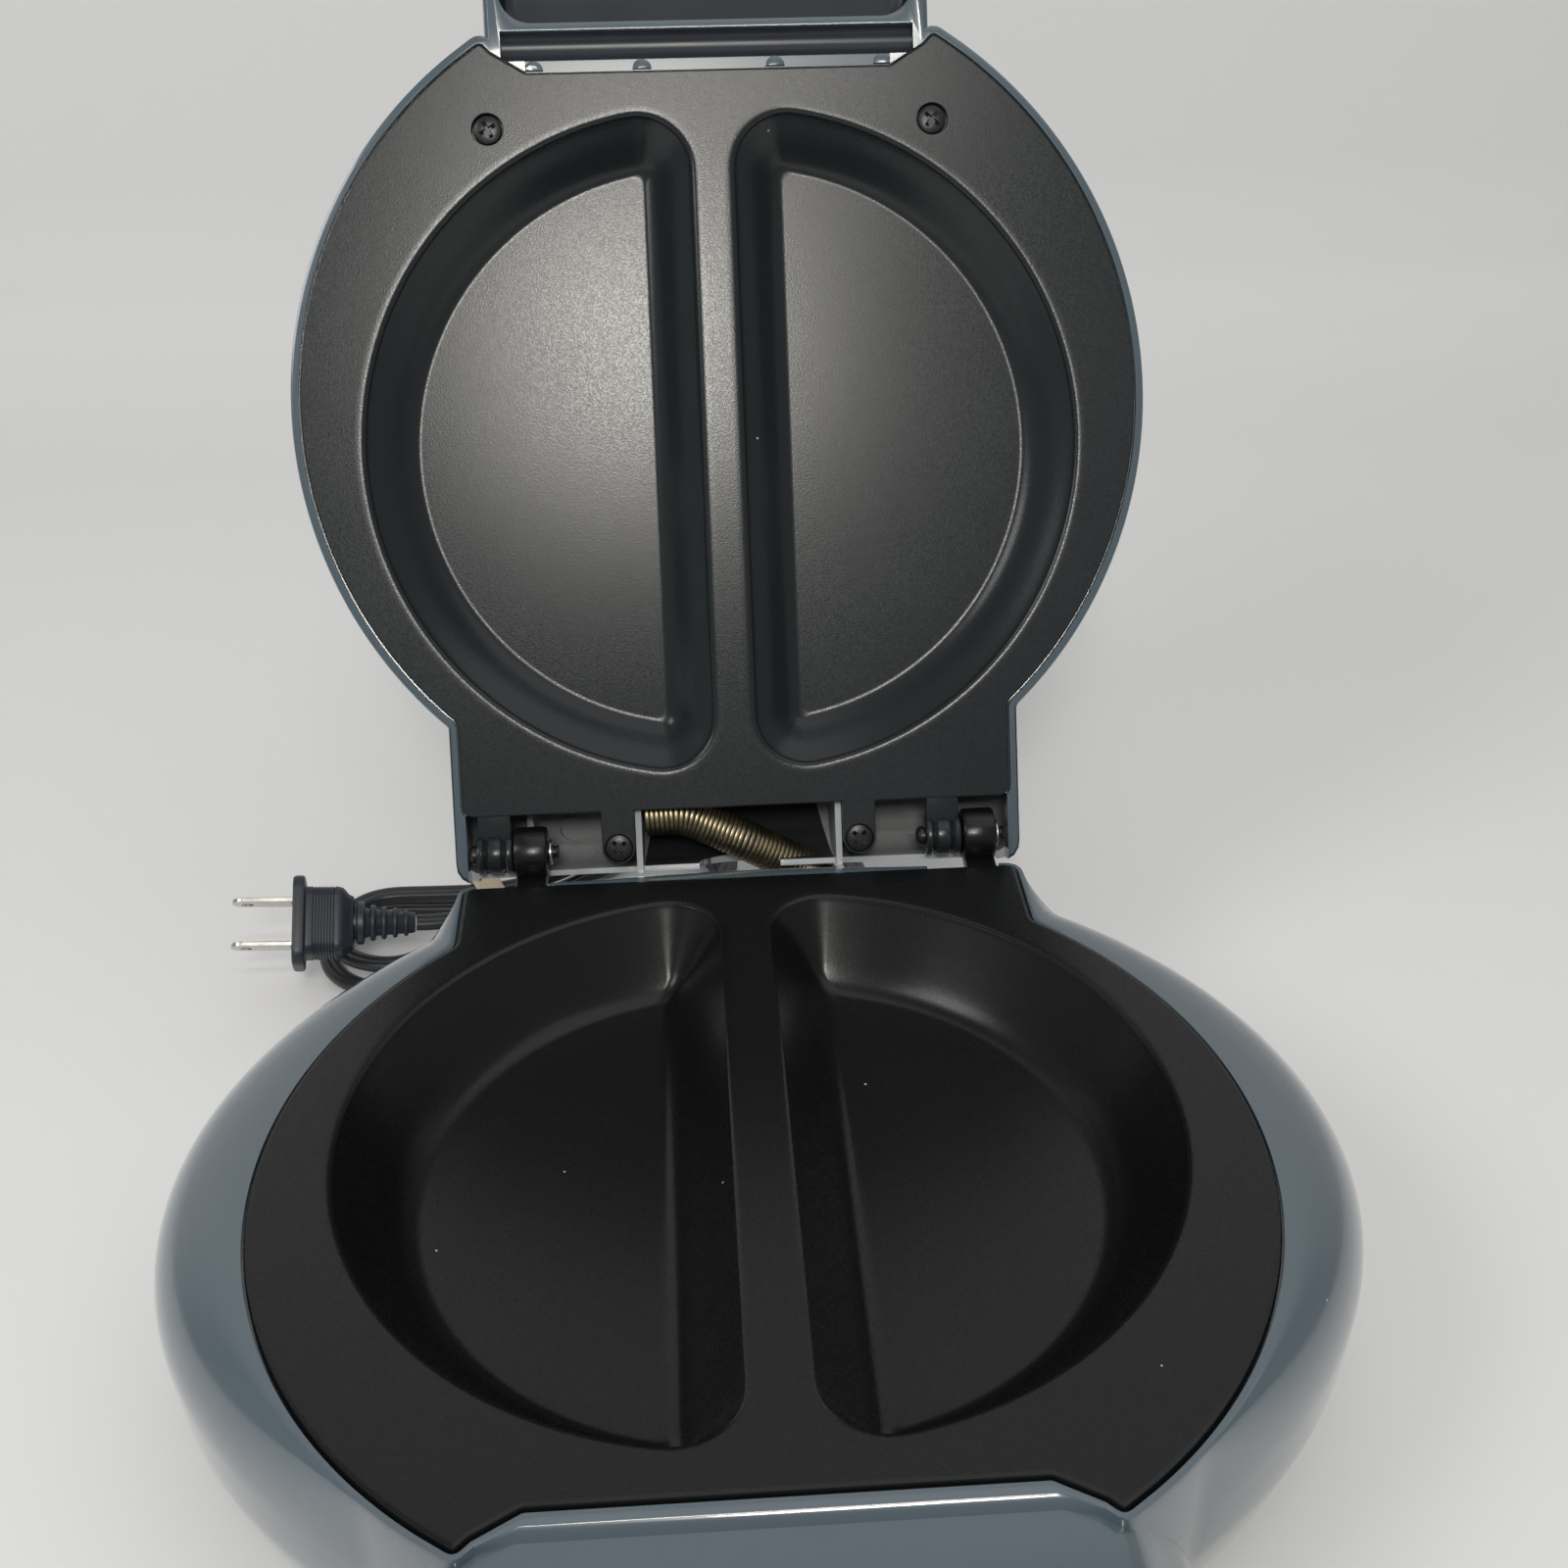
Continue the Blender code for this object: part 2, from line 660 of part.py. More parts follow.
def foot_outline(inwards):
    """Return the plan outline that the body and its nose share where they end above the feet."""
    nose = [(x, y) for x, y, _ in nose_rings(inwards, NOSE_DROP, RIM_HEIGHT - FOOT_HEIGHT)[-1]]
    side = max(x for x, y in nose)
    right = [(x, y) for x, y in nose if x > 0 and y < -NOSE_ROOT]
    body = [(x, y) for x, y, _ in body_rings(inwards, RIM_DROP)[-1]]
    for (x, y), (next_x, next_y) in zip(body, body[1:]):
        if next_x < 0:
            break
        if y < 0 and x < side <= next_x:
            part = (side - x) / (next_x - x)
            right.append((side, y + (next_y - y) * part))
        if next_x >= side or next_y > 0:
            right.append((next_x, next_y))
    return mirrored(right)


def extended(rings, reach):
    """Return rings with one more below the last, moved straight down by a reach."""
    return rings + [[(x, y, z - reach) for x, y, z in rings[-1]]]


def build_base_housing(carrier):
    """Build the bulging lower casing with its front nose, plate ledge and screw bosses."""
    bottom = RIM_HEIGHT - FOOT_HEIGHT
    ledge_bottom = RIM_DROP + PLATE_THICKNESS + LEDGE_THICKNESS
    housing = loft("base_housing", extended(body_rings(0, RIM_DROP), OVERRUN), "slate_plastic",
                   carrier)
    join(housing,
         loft("nose_outside", extended(nose_rings(0, NOSE_DROP, bottom), OVERRUN * 2), None, carrier),
         cylinder("gland_pad", GLAND_PAD_RADIUS, (GLAND_X, GLAND_OUTER_Y - GLAND_PAD_DEPTH, GLAND_Z),
                  (GLAND_X, GLAND_OUTER_Y, GLAND_Z), None, carrier, FINE_FACES))
    cut(housing,
        loft("body_inside", extended(body_rings(WALL, ledge_bottom), OVERRUN * 4), None, carrier),
        loft("nose_inside", extended(nose_rings(WALL, ledge_bottom + GAP, bottom), OVERRUN * 5),
             None, carrier),
        extrude_outline("plate_seat", [plate_outline(PLATE_GAP / 2)], -PLATE_THICKNESS - GAP,
                        OVERRUN, None, carrier),
        extrude_outline("well_room", [plate_outline(-LEDGE_WIDTH)], -ledge_bottom - OVERRUN,
                        OVERRUN * 2, None, carrier),
        box("below_housing", (-BULGE_HALF_WIDTH, -NOSE_REACH, -bottom - OVERRUN * 8),
            (BULGE_HALF_WIDTH, HINGE_Y + BASE_EAR_RADIUS, -bottom), None, carrier))
    for side in (-1, 1):
        for end in (-1, 1):
            spot = (side * COVER_SCREW_X, BODY_CENTRE_Y + end * COVER_SCREW_OFFSET_Y)
            title = f"cover_boss_{side}_{end}"
            join(housing, cylinder(title, BOSS_RADIUS, (*spot, GAP + COVER_THICKNESS - bottom),
                                   (*spot, -ledge_bottom + LEDGE_THICKNESS / 2), None, carrier))
            cut(housing, cylinder(title + "_bore", SCREW_SHANK_RADIUS + GAP,
                                  (*spot, -bottom), (*spot, SCREW_LENGTH + GAP - bottom), None,
                                  carrier, SMALL_FACES))
    for x in (LEFT_LID_EAR_X, RIGHT_LID_EAR_X):
        low = x - LID_EAR_WIDTH / 2 - GAP
        high = base_ear_x(x) + BASE_EAR_WIDTH / 2 + GAP
        cut(housing, box(f"ear_room_{x:.3f}",
                         (low, TAB_REACH - LEDGE_WIDTH - OVERRUN, -BASE_EAR_DROP - GAP),
                         (high, HINGE_Y, OVERRUN), None, carrier))
    cut(housing, cylinder("conduit_hole", bush_radius() + GAP,
                          (CONDUIT_BASE_X, TAB_REACH - LEDGE_WIDTH, CONDUIT_BASE_Z),
                          (CONDUIT_BASE_X, HINGE_Y + BASE_EAR_RADIUS, CONDUIT_BASE_Z), None, carrier),
        cylinder("gland_hole", GLAND_NECK_RADIUS + GAP, (GLAND_X, GLAND_INNER_Y, GLAND_Z),
                 (GLAND_X, GLAND_OUTER_Y + OVERRUN, GLAND_Z), None, carrier))
    return housing


def bush_radius():
    """Return the outer radius of the bush that takes the wound conduit into the base."""
    return CONDUIT_MEAN_RADIUS + CONDUIT_WIRE / 2 + BUSH_BORE_PLAY + BUSH_WALL


def base_ear_x(lid_ear_x):
    """Return the middle of the base ear that stands beside a lid ear."""
    return lid_ear_x + LID_EAR_WIDTH / 2 + GAP + BASE_EAR_WIDTH / 2


def build_lower_plate(carrier):
    """Build the lower cooking plate with its two wells and its two hinge ears."""
    plate = extrude_outline("lower_plate", [plate_outline()], -PLATE_THICKNESS, 0, "nonstick",
                            carrier)
    shape_wells(plate, BASE_RIB_HALF, BASE_WELL_DEPTH, BASE_WELL_INSET, 0, -1, carrier)
    for lid_ear_x in (LEFT_LID_EAR_X, RIGHT_LID_EAR_X):
        x = base_ear_x(lid_ear_x)
        low, high = x - BASE_EAR_WIDTH / 2, x + BASE_EAR_WIDTH / 2
        join(plate,
             box(f"base_neck_{x:.3f}", (low + GAP, TAB_REACH - EAR_NECK_ROOT, -BASE_EAR_DROP),
                 (high - GAP, HINGE_Y, -GAP), None, carrier),
             cylinder(f"base_knuckle_{x:.3f}", BASE_EAR_RADIUS, (low, HINGE_Y, HINGE_Z),
                      (high, HINGE_Y, HINGE_Z), None, carrier, FINE_FACES))
        cut(plate, cylinder(f"base_bore_{x:.3f}", PIN_RADIUS + GAP,
                            (low - OVERRUN, HINGE_Y, HINGE_Z), (high + OVERRUN, HINGE_Y, HINGE_Z),
                            None, carrier, SMALL_FACES))
    return plate


def screw(title, head, sense, carrier, faces=ROUND_FACES):
    """Build a cross-head screw whose head's outer face is at a point; sense points along its shank."""
    x, y, z = head
    body = cylinder(title, SCREW_HEAD_RADIUS, head, (x, y, z + sense * SCREW_HEAD_HEIGHT),
                    "black_screw", carrier, faces)
    join(body, cylinder(title + "_shank", SCREW_SHANK_RADIUS,
                        (x, y, z + sense * SCREW_HEAD_HEIGHT / 2), (x, y, z + sense * SCREW_LENGTH),
                        None, carrier, SMALL_FACES))
    for index, (half_x, half_y) in enumerate(((SCREW_CROSS_LENGTH / 2, SCREW_CROSS_WIDTH / 2),
                                              (SCREW_CROSS_WIDTH / 2, SCREW_CROSS_LENGTH / 2))):
        low, high = sorted((z - sense * OVERRUN, z + sense * SCREW_CROSS_DEPTH))
        cut(body, box(f"{title}_cross_{index}", (x - half_x, y - half_y, low),
                      (x + half_x, y + half_y, high), None, carrier))
    return body


def build_bottom(carrier):
    """Build the bottom cover with its vents, its four screws and its four rubber feet."""
    bottom = FOOT_HEIGHT - RIM_HEIGHT
    cover = extrude_outline("bottom_cover", [foot_outline(WALL + COVER_GAP)], bottom,
                            bottom + COVER_THICKNESS, "dark_plastic", carrier)
    for index in range(VENT_COUNT):
        y = VENT_Y + index * VENT_PITCH
        cut(cover, box(f"vent_{index}", (-VENT_LENGTH / 2, y - VENT_WIDTH / 2, bottom - OVERRUN),
                       (VENT_LENGTH / 2, y + VENT_WIDTH / 2, bottom + COVER_THICKNESS + OVERRUN),
                       None, carrier))
    for side, across in ((-1, "left"), (1, "right")):
        for end, along in ((-1, "front"), (1, "rear")):
            x, y = side * COVER_SCREW_X, BODY_CENTRE_Y + end * COVER_SCREW_OFFSET_Y
            head = (x, y, bottom + SCREW_SINK)
            screw(f"cover_screw_{along}_{across}", head, 1, carrier)
            title = f"cover_hole_{along}_{across}"
            cut(cover,
                cylinder(title, SCREW_HEAD_RADIUS + GAP, (x, y, bottom - OVERRUN),
                         (x, y, bottom + SCREW_SINK + SCREW_HEAD_HEIGHT + GAP), None, carrier),
                cylinder(title + "_bore", SCREW_SHANK_RADIUS + GAP, (x, y, bottom),
                         (x, y, bottom + COVER_THICKNESS + OVERRUN), None, carrier, SMALL_FACES))
            foot_x, foot_y = ((FOOT_FRONT_X, FOOT_FRONT_Y) if end < 0
                              else (FOOT_REAR_X, FOOT_REAR_Y))
            build_foot(f"rubber_foot_{along}_{across}", side * foot_x, foot_y, cover, carrier)
    return cover


def build_foot(title, x, y, cover, carrier):
    """Build a rubber foot that plugs into the bottom cover."""
    bottom = FOOT_HEIGHT - RIM_HEIGHT
    chamfer = FOOT_HEIGHT / 4
    profile = [(0, bottom + COVER_THICKNESS), (FOOT_PLUG_RADIUS, bottom + COVER_THICKNESS),
               (FOOT_PLUG_RADIUS, bottom - GAP), (FOOT_RADIUS, bottom - GAP),
               (FOOT_RADIUS, chamfer - RIM_HEIGHT), (FOOT_RADIUS - chamfer, -RIM_HEIGHT),
               (0, -RIM_HEIGHT)]
    turned(title, profile, ROUND_FACES, "rubber", carrier, Matrix.Translation((x, y, 0)))
    cut(cover, cylinder(title + "_hole", FOOT_PLUG_RADIUS + GAP, (x, y, bottom - OVERRUN),
                        (x, y, bottom + COVER_THICKNESS + OVERRUN), None, carrier))


def build_element(title, back, leg_length, sense, pan, carrier):
    """Build a heating rod that runs round both wells and leaves its pan at the back."""
    half_angle = math.asin(ELEMENT_OPENING / ELEMENT_HALF_WIDTH)
    start, stop = math.pi / 2 + half_angle, 5 * math.pi / 2 - half_angle
    ring = []
    for index in range(ELEMENT_POINTS + 1):
        angle = start + (stop - start) * index / ELEMENT_POINTS
        ring.append((ELEMENT_HALF_WIDTH * math.cos(angle),
                     WELL_CENTRE_Y + ELEMENT_HALF_DEPTH * math.sin(angle), back))
    bend = [0, math.pi / 6, math.pi / 3, math.pi / 2]
    ends = []
    for x, y, _ in (ring[0], ring[-1]):
        inward = -math.copysign(1, x)
        leg = [(x + inward * ELEMENT_BEND * math.sin(turn), y,
                back + sense * ELEMENT_BEND * (1 - math.cos(turn))) for turn in bend[1:]]
        leg.append((leg[-1][0], y, back + sense * leg_length))
        ends.append(leg)
        cut(pan, cylinder(f"{pan.name}_leg_hole_{inward:+.0f}", ELEMENT_RADIUS + GAP, leg[-2],
                          (leg[-1][0], y, leg[-1][2] + sense * OVERRUN), None, carrier))
    return tube(title, ends[0][::-1] + ring + ends[1], ELEMENT_RADIUS, "steel", carrier, 1)


def build_pan(title, face, sense, depth, carrier):
    """Build the open steel pan that keeps the heat in behind a plate."""
    start = face + sense * (PLATE_THICKNESS + GAP)
    end = face + sense * depth
    corner = PAN_DRAW
    levels = ((0, start), (0, end - sense * corner), (corner / 3, end - sense * corner / 3),
              (corner, end))
    rings = []
    for inwards, height in levels:
        rings.append(pan_ring(inwards, height))
    for inwards, height in levels[::-1]:
        drop = height if height == start else height - sense * PAN_WALL
        rings.append(pan_ring(inwards + PAN_WALL, drop))
    return loft_bowl(title, rings, "aluminium", carrier)


def pan_ring(inwards, height):
    """Return one oval ring of a heat pan."""
    points = []
    for index in range(PAN_STEPS):
        angle = 2 * math.pi * index / PAN_STEPS
        points.append(((PAN_HALF_WIDTH - inwards) * math.cos(angle),
                       WELL_CENTRE_Y + (PAN_HALF_DEPTH - inwards) * math.sin(angle), height))
    return points


def loft_bowl(title, rings, finish, carrier):
    """Skin rings that run down a bowl's outside and up its inside, with a floor on either side."""
    half = len(rings) // 2
    grid = bmesh.new()
    rows = [[grid.verts.new(point) for point in ring] for ring in rings]
    count = len(rows[0])
    pairs = [(i, i + 1) for i in range(half - 1)] + [(i, i + 1) for i in range(half, 2 * half - 1)]
    for low, high in pairs + [(2 * half - 1, 0)]:
        for index in range(count):
            following = (index + 1) % count
            grid.faces.new((rows[low][index], rows[low][following], rows[high][following],
                            rows[high][index]))
    grid.faces.new(rows[half - 1])
    grid.faces.new(rows[half])
    return mesh_object(title, finish_mesh(grid, title), finish, carrier)


def build_controls(carrier):
    """Build the thermostat and fuse under the lower pan and the terminal block on the cover."""
    under = -BASE_PAN_DEPTH - GAP
    cylinder("base_thermostat", THERMOSTAT_RADIUS, (0, THERMOSTAT_Y, under),
             (0, THERMOSTAT_Y, under - THERMOSTAT_HEIGHT), "ceramic", carrier)
    cylinder("thermal_fuse", FUSE_RADIUS, (-FUSE_LENGTH / 2, FUSE_Y, under - FUSE_RADIUS),
             (FUSE_LENGTH / 2, FUSE_Y, under - FUSE_RADIUS), "aluminium", carrier, SMALL_FACES)
    floor = FOOT_HEIGHT - RIM_HEIGHT + COVER_THICKNESS + GAP
    box("terminal_block", (GLAND_X - TERMINAL_LENGTH / 2, TERMINAL_Y - TERMINAL_WIDTH / 2, floor),
        (GLAND_X + TERMINAL_LENGTH / 2, TERMINAL_Y + TERMINAL_WIDTH / 2, floor + TERMINAL_HEIGHT),
        "ceramic", carrier)


def build_pins(carrier):
    """Build the two headed hinge pins and the clips on their tails."""
    for ear_x, word in ((LEFT_LID_EAR_X, "left"), (RIGHT_LID_EAR_X, "right")):
        head_face = ear_x - LID_EAR_WIDTH / 2 - GAP
        clip_face = base_ear_x(ear_x) + BASE_EAR_WIDTH / 2 + GAP
        pin = cylinder(f"hinge_pin_{word}", PIN_HEAD_RADIUS,
                       (head_face - PIN_HEAD_LENGTH, HINGE_Y, HINGE_Z),
                       (head_face, HINGE_Y, HINGE_Z), "black_screw", carrier)
        join(pin, cylinder(f"pin_shaft_{word}", PIN_RADIUS,
                           (head_face - PIN_HEAD_LENGTH / 2, HINGE_Y, HINGE_Z),
                           (clip_face + CLIP_THICKNESS + PIN_TAIL, HINGE_Y, HINGE_Z), None, carrier,
                           SMALL_FACES))
        clip = cylinder(f"pin_clip_{word}", CLIP_RADIUS, (clip_face, HINGE_Y, HINGE_Z),
                        (clip_face + CLIP_THICKNESS, HINGE_Y, HINGE_Z), "steel", carrier)
        cut(clip, cylinder(f"clip_bore_{word}", PIN_RADIUS + GAP,
                           (clip_face - OVERRUN, HINGE_Y, HINGE_Z),
                           (clip_face + CLIP_THICKNESS + OVERRUN, HINGE_Y, HINGE_Z), None, carrier,
                           SMALL_FACES))


def lid_rings(inwards, low, top):
    """Return the lid casing's rings from its rim to the flat of its dome."""
    centre = Vector((0, BODY_CENTRE_Y))
    outline = plate_outline(LID_RIM_MARGIN, LID_REAR_REACH - LID_RIM_MARGIN)
    rays = [Vector(point) - centre for point in outline]
    rings = []
    for height, draw in [(low, 0), (LID_SHOULDER, 0)] + [
            (LID_SHOULDER + (top - LID_SHOULDER) * math.sin(share * math.pi / 2),
             LID_DOME_INSET * (1 - math.cos(share * math.pi / 2))) for share in DOME_TURN_SHARES]:
        spots = [centre + ray.normalized() * (ray.length - inwards - draw) for ray in rays]
        rings.append([(spot.x, spot.y, height) for spot in spots])
    return rings


def handle_rings(inwards, low, top):
    """Return the rings of the lid's front handle between two heights."""
    rings = []
    for height_share, width_share, reach_share in zip(HANDLE_HEIGHT_SHARES, HANDLE_WIDTH_SHARES,
                                                      HANDLE_REACH_SHARES):
        outline = rounded_front(HANDLE_HALF_WIDTH * width_share - inwards,
                                HANDLE_REACH * reach_share - inwards, HANDLE_ROOT,
                                HANDLE_CORNER - inwards, NOSE_CORNER_STEPS)
        rings.append(lift(outline, low + (top - low) * height_share))
    return rings


def pocket_outline():
    """Return the plan of the finger pocket in the handle's underside."""
    corners = ((POCKET_HALF_WIDTH, -POCKET_FRONT, -math.pi / 2), (POCKET_HALF_WIDTH, -POCKET_REAR, 0))
    right = []
    for x, y, start in corners:
        inner_y = y + POCKET_CORNER if start else y - POCKET_CORNER
        right += arc_points((x - POCKET_CORNER, inner_y), POCKET_CORNER, start,
                            start + math.pi / 2, POCKET_CORNER_STEPS)
    return mirrored(right)


def build_lid_housing(carrier):
    """Build the domed lid casing with its handle, plate ledge, bosses and open hinge side."""
    rim = PLATE_GAP + LID_RIM_LIFT
    top = LID_SHOULDER + LID_DOME_RISE
    back = PLATE_GAP + PLATE_THICKNESS + GAP
    ledge_top = back + LEDGE_THICKNESS
    housing = loft("lid_housing", lid_rings(0, rim, top), "slate_plastic", carrier)
    handle = handle_rings(0, rim, HANDLE_TOP)
    lowest = [(x, y, z - OVERRUN) for x, y, z in handle[0]]
    join(housing, loft("handle_outside", [lowest] + handle, None, carrier))
    cut(housing,
        box("below_lid", (-PLATE_RADIUS, -HANDLE_REACH - OVERRUN, rim - OVERRUN * 2),
            (PLATE_RADIUS, -HANDLE_ROOT, rim), None, carrier),
        loft("lid_inside", lid_rings(WALL, ledge_top, top - WALL), None, carrier),
        extrude_outline("lid_plate_seat", [plate_outline(PLATE_GAP / 2)], 0, back, None, carrier),
        extrude_outline("lid_well_room", [plate_outline(-LEDGE_WIDTH)], 0, ledge_top + OVERRUN,
                        None, carrier),
        box("hinge_window", (-WINDOW_HALF_WIDTH, WINDOW_FRONT, 0),
            (WINDOW_HALF_WIDTH, LID_REAR_REACH - WALL, ledge_top + OVERRUN), None, carrier),
        box("rear_cutout", (-REAR_CUT_HALF_WIDTH, LID_REAR_REACH - WALL - OVERRUN, 0),
            (REAR_CUT_HALF_WIDTH, LID_REAR_REACH + OVERRUN, REAR_CUT_TOP), None, carrier))
    shape_handle(housing, rim, carrier)
    rear = LID_REAR_REACH - WALL - OVERRUN
    front = TAB_REACH - LEDGE_WIDTH
    rib = [(front, back + SCREW_SINK), (rear, back + SCREW_SINK)]
    for index in range(CHANNEL_STEPS + 1):
        y = rear + (front - rear) * index / CHANNEL_STEPS
        rib.append((y, dome_underside(LID_REAR_REACH - y)))
    for side in (-1, 1):
        join(housing, loft(f"channel_{side}",
                           [[(side * CHANNEL_X + half * CHANNEL_WALL, y, z) for y, z in rib]
                            for half in (-0.5, 0.5)], None, carrier))
        for x, y in ((side * LID_SCREW_X, LID_SCREW_Y), (side * FINGER_X, FINGER_Y)):
            title = f"lid_boss_{x:.3f}_{y:.3f}"
            inset = LID_REAR_REACH - y if y > 0 else PLATE_RADIUS - math.hypot(x, y)
            join(housing, cylinder(title, BOSS_RADIUS, (x, y, back + GAP),
                                   (x, y, dome_underside(inset - BOSS_RADIUS)), None, carrier))
            cut(housing, cylinder(title + "_bore", SCREW_SHANK_RADIUS + GAP, (x, y, 0),
                                  (x, y, PLATE_GAP + SCREW_LENGTH + GAP), None, carrier,
                                  SMALL_FACES))
    cut(housing, cylinder("lead_hole", LEAD_HOLE_RADIUS,
                          (-CHANNEL_X - CHANNEL_WALL, CONDUIT_LID_Y, CONDUIT_LID_Z),
                          (-CHANNEL_X + CHANNEL_WALL, CONDUIT_LID_Y, CONDUIT_LID_Z), None, carrier))
    for side in (-1, 1):
        cut(housing, cylinder(f"lens_hole_{side}", LENS_RADIUS + GAP,
                              (side * LENS_SPACING / 2, LENS_Y, top - WALL - OVERRUN),
                              (side * LENS_SPACING / 2, LENS_Y, top + OVERRUN), None, carrier))
    return housing


def dome_underside(inset):
    """Return a height inside the dome's wall at a distance in from the lid's edge."""
    share = max(0, 1 - inset / LID_DOME_INSET)
    return LID_SHOULDER + LID_DOME_RISE * math.sqrt(1 - share * share) - WALL / 2


def shape_handle(housing, rim, carrier):
    """Cut the finger pocket, the cove and the stepped strip in the handle, and add its beads."""
    step = extrude_outline("notch_step", [[(-NOTCH_HALF_WIDTH, -NOTCH_STEP_REACH),
                                           (NOTCH_HALF_WIDTH, -NOTCH_STEP_REACH),
                                           (NOTCH_HALF_WIDTH, -NOTCH_REACH),
                                           (-NOTCH_HALF_WIDTH, -NOTCH_REACH)]],
                           0, rim + NOTCH_STEP_DEPTH, None, carrier)
    pocket = extrude_outline("finger_pocket", [pocket_outline()], 0, rim + POCKET_DEPTH, None,
                             carrier)
    cove_z = rim + COVE_DEPTH - COVE_RADIUS
    cove = cylinder("cove", COVE_RADIUS, (-POCKET_HALF_WIDTH, -COVE_Y, cove_z),
                    (POCKET_HALF_WIDTH, -COVE_Y, cove_z), None, carrier, FINE_FACES)
    cut(housing, step, pocket, cove)
    start = rim + NOTCH_STEP_DEPTH - BEAD_HEIGHT
    flat = -NOTCH_REACH - PLATE_GAP / 2 - GAP
    for x in (-BEAD_OUTER_X, -BEAD_INNER_X, BEAD_INNER_X, BEAD_OUTER_X):
        bead = arc_points((x, flat), BEAD_RADIUS, math.pi, 2 * math.pi, SMALL_FACES)
        join(housing, extrude_outline(f"notch_bead_{x:.3f}", [bead], start, start + WALL, None,
                                      carrier))


def build_upper_plate(carrier):
    """Build the lid's cooking plate with its wells, hinge ears and screw fingers."""
    face = PLATE_GAP
    back = PLATE_GAP + PLATE_THICKNESS
    plate = extrude_outline("upper_plate", [plate_outline()], face, back, "nonstick", carrier)
    shape_wells(plate, LID_RIB_HALF, LID_WELL_DEPTH, LID_WELL_INSET, face, 1, carrier)
    for x, word in ((LEFT_LID_EAR_X, "left"), (RIGHT_LID_EAR_X, "right")):
        low, high = x - LID_EAR_WIDTH / 2, x + LID_EAR_WIDTH / 2
        shares = (0, *EAR_GROOVE_SHARES, 1)
        profile = [(0, LID_EAR_WIDTH)]
        for index, (start, stop) in enumerate(zip(shares, shares[1:])):
            radius = LID_EAR_RADIUS - (EAR_GROOVE_DEPTH if index % 2 else 0)
            profile += [(radius, LID_EAR_WIDTH * (1 - start)), (radius, LID_EAR_WIDTH * (1 - stop))]
        profile.append((0, 0))
        turn = Matrix.Translation((low, HINGE_Y, HINGE_Z)) @ Matrix.Rotation(math.pi / 2, 4, "Y")
        join(plate,
             box(f"lid_neck_{word}", (low + GAP, TAB_REACH - EAR_NECK_ROOT, face + GAP),
                 (high - GAP, HINGE_Y, back + GAP), None, carrier),
             turned(f"lid_knuckle_{word}", profile, FINE_FACES, None, carrier, turn))
        cut(plate, cylinder(f"lid_bore_{word}", PIN_RADIUS + GAP,
                            (low - OVERRUN, HINGE_Y, HINGE_Z), (high + OVERRUN, HINGE_Y, HINGE_Z),
                            None, carrier, SMALL_FACES))
    for side in (-1, 1):
        x = side * FINGER_X
        word = "left" if side < 0 else "right"
        finger = [(x - FINGER_RADIUS, TAB_REACH - EAR_NECK_ROOT),
                  (x + FINGER_RADIUS, TAB_REACH - EAR_NECK_ROOT)]
        finger += arc_points((x, FINGER_Y), FINGER_RADIUS, 0, math.pi, SMALL_FACES)
        join(plate, extrude_outline(f"finger_{word}", [finger], face + GAP, back - GAP, None,
                                    carrier))
    for side in (-1, 1):
        for x, y, place in ((side * LID_SCREW_X, LID_SCREW_Y, "front"),
                            (side * FINGER_X, FINGER_Y, "hinge")):
            title = f"plate_screw_{place}_{'left' if side < 0 else 'right'}"
            cut(plate,
                cylinder(title + "_recess", SCREW_HEAD_RADIUS + GAP, (x, y, 0),
                         (x, y, face + SCREW_SINK + SCREW_HEAD_HEIGHT + GAP), None, carrier),
                cylinder(title + "_hole", SCREW_SHANK_RADIUS + GAP, (x, y, face),
                         (x, y, back + OVERRUN), None, carrier, SMALL_FACES))
            screw(title, (x, y, face + SCREW_SINK), 1, carrier)
    return plate


def build_lid_inside(carrier):
    """Build the lid's thermostat and its two indicator lenses with their lamp holder."""
    above = PLATE_GAP + LID_PAN_DEPTH + GAP
    cylinder("lid_thermostat", THERMOSTAT_RADIUS, (0, THERMOSTAT_Y, above),
             (0, THERMOSTAT_Y, above + THERMOSTAT_HEIGHT), "ceramic", carrier)
    top = LID_SHOULDER + LID_DOME_RISE
    flange_top = top - WALL - GAP
    flange_bottom = flange_top - LENS_FLANGE_THICKNESS
    for side, word, finish in ((-1, "power", "red_lens"), (1, "ready", "green_lens")):
        profile = [(0, top + LENS_PROUD), (LENS_RADIUS * 0.6, top + LENS_PROUD),
                   (LENS_RADIUS, top), (LENS_RADIUS, flange_top), (LENS_FLANGE_RADIUS, flange_top),
                   (LENS_FLANGE_RADIUS, flange_bottom), (0, flange_bottom)]
        turned(f"{word}_lens", profile, ROUND_FACES, finish, carrier,
               Matrix.Translation((side * LENS_SPACING / 2, LENS_Y, 0)))
    holder_top = flange_bottom - GAP
    box("lamp_holder", (-LAMP_HOLDER_WIDTH / 2, LENS_Y - LAMP_HOLDER_DEPTH / 2,
                        holder_top - LAMP_HOLDER_HEIGHT),
        (LAMP_HOLDER_WIDTH / 2, LENS_Y + LAMP_HOLDER_DEPTH / 2, holder_top), "dark_plastic", carrier)


def lid_to_frame(point):
    """Return where a point of the closed lid lies in the plate frame when the lid is open."""
    turn = Matrix.Rotation(-math.radians(OPEN_ANGLE), 3, "X")
    hinge = Vector((0, HINGE_Y, HINGE_Z))
    return hinge + turn @ (Vector(point) - hinge)


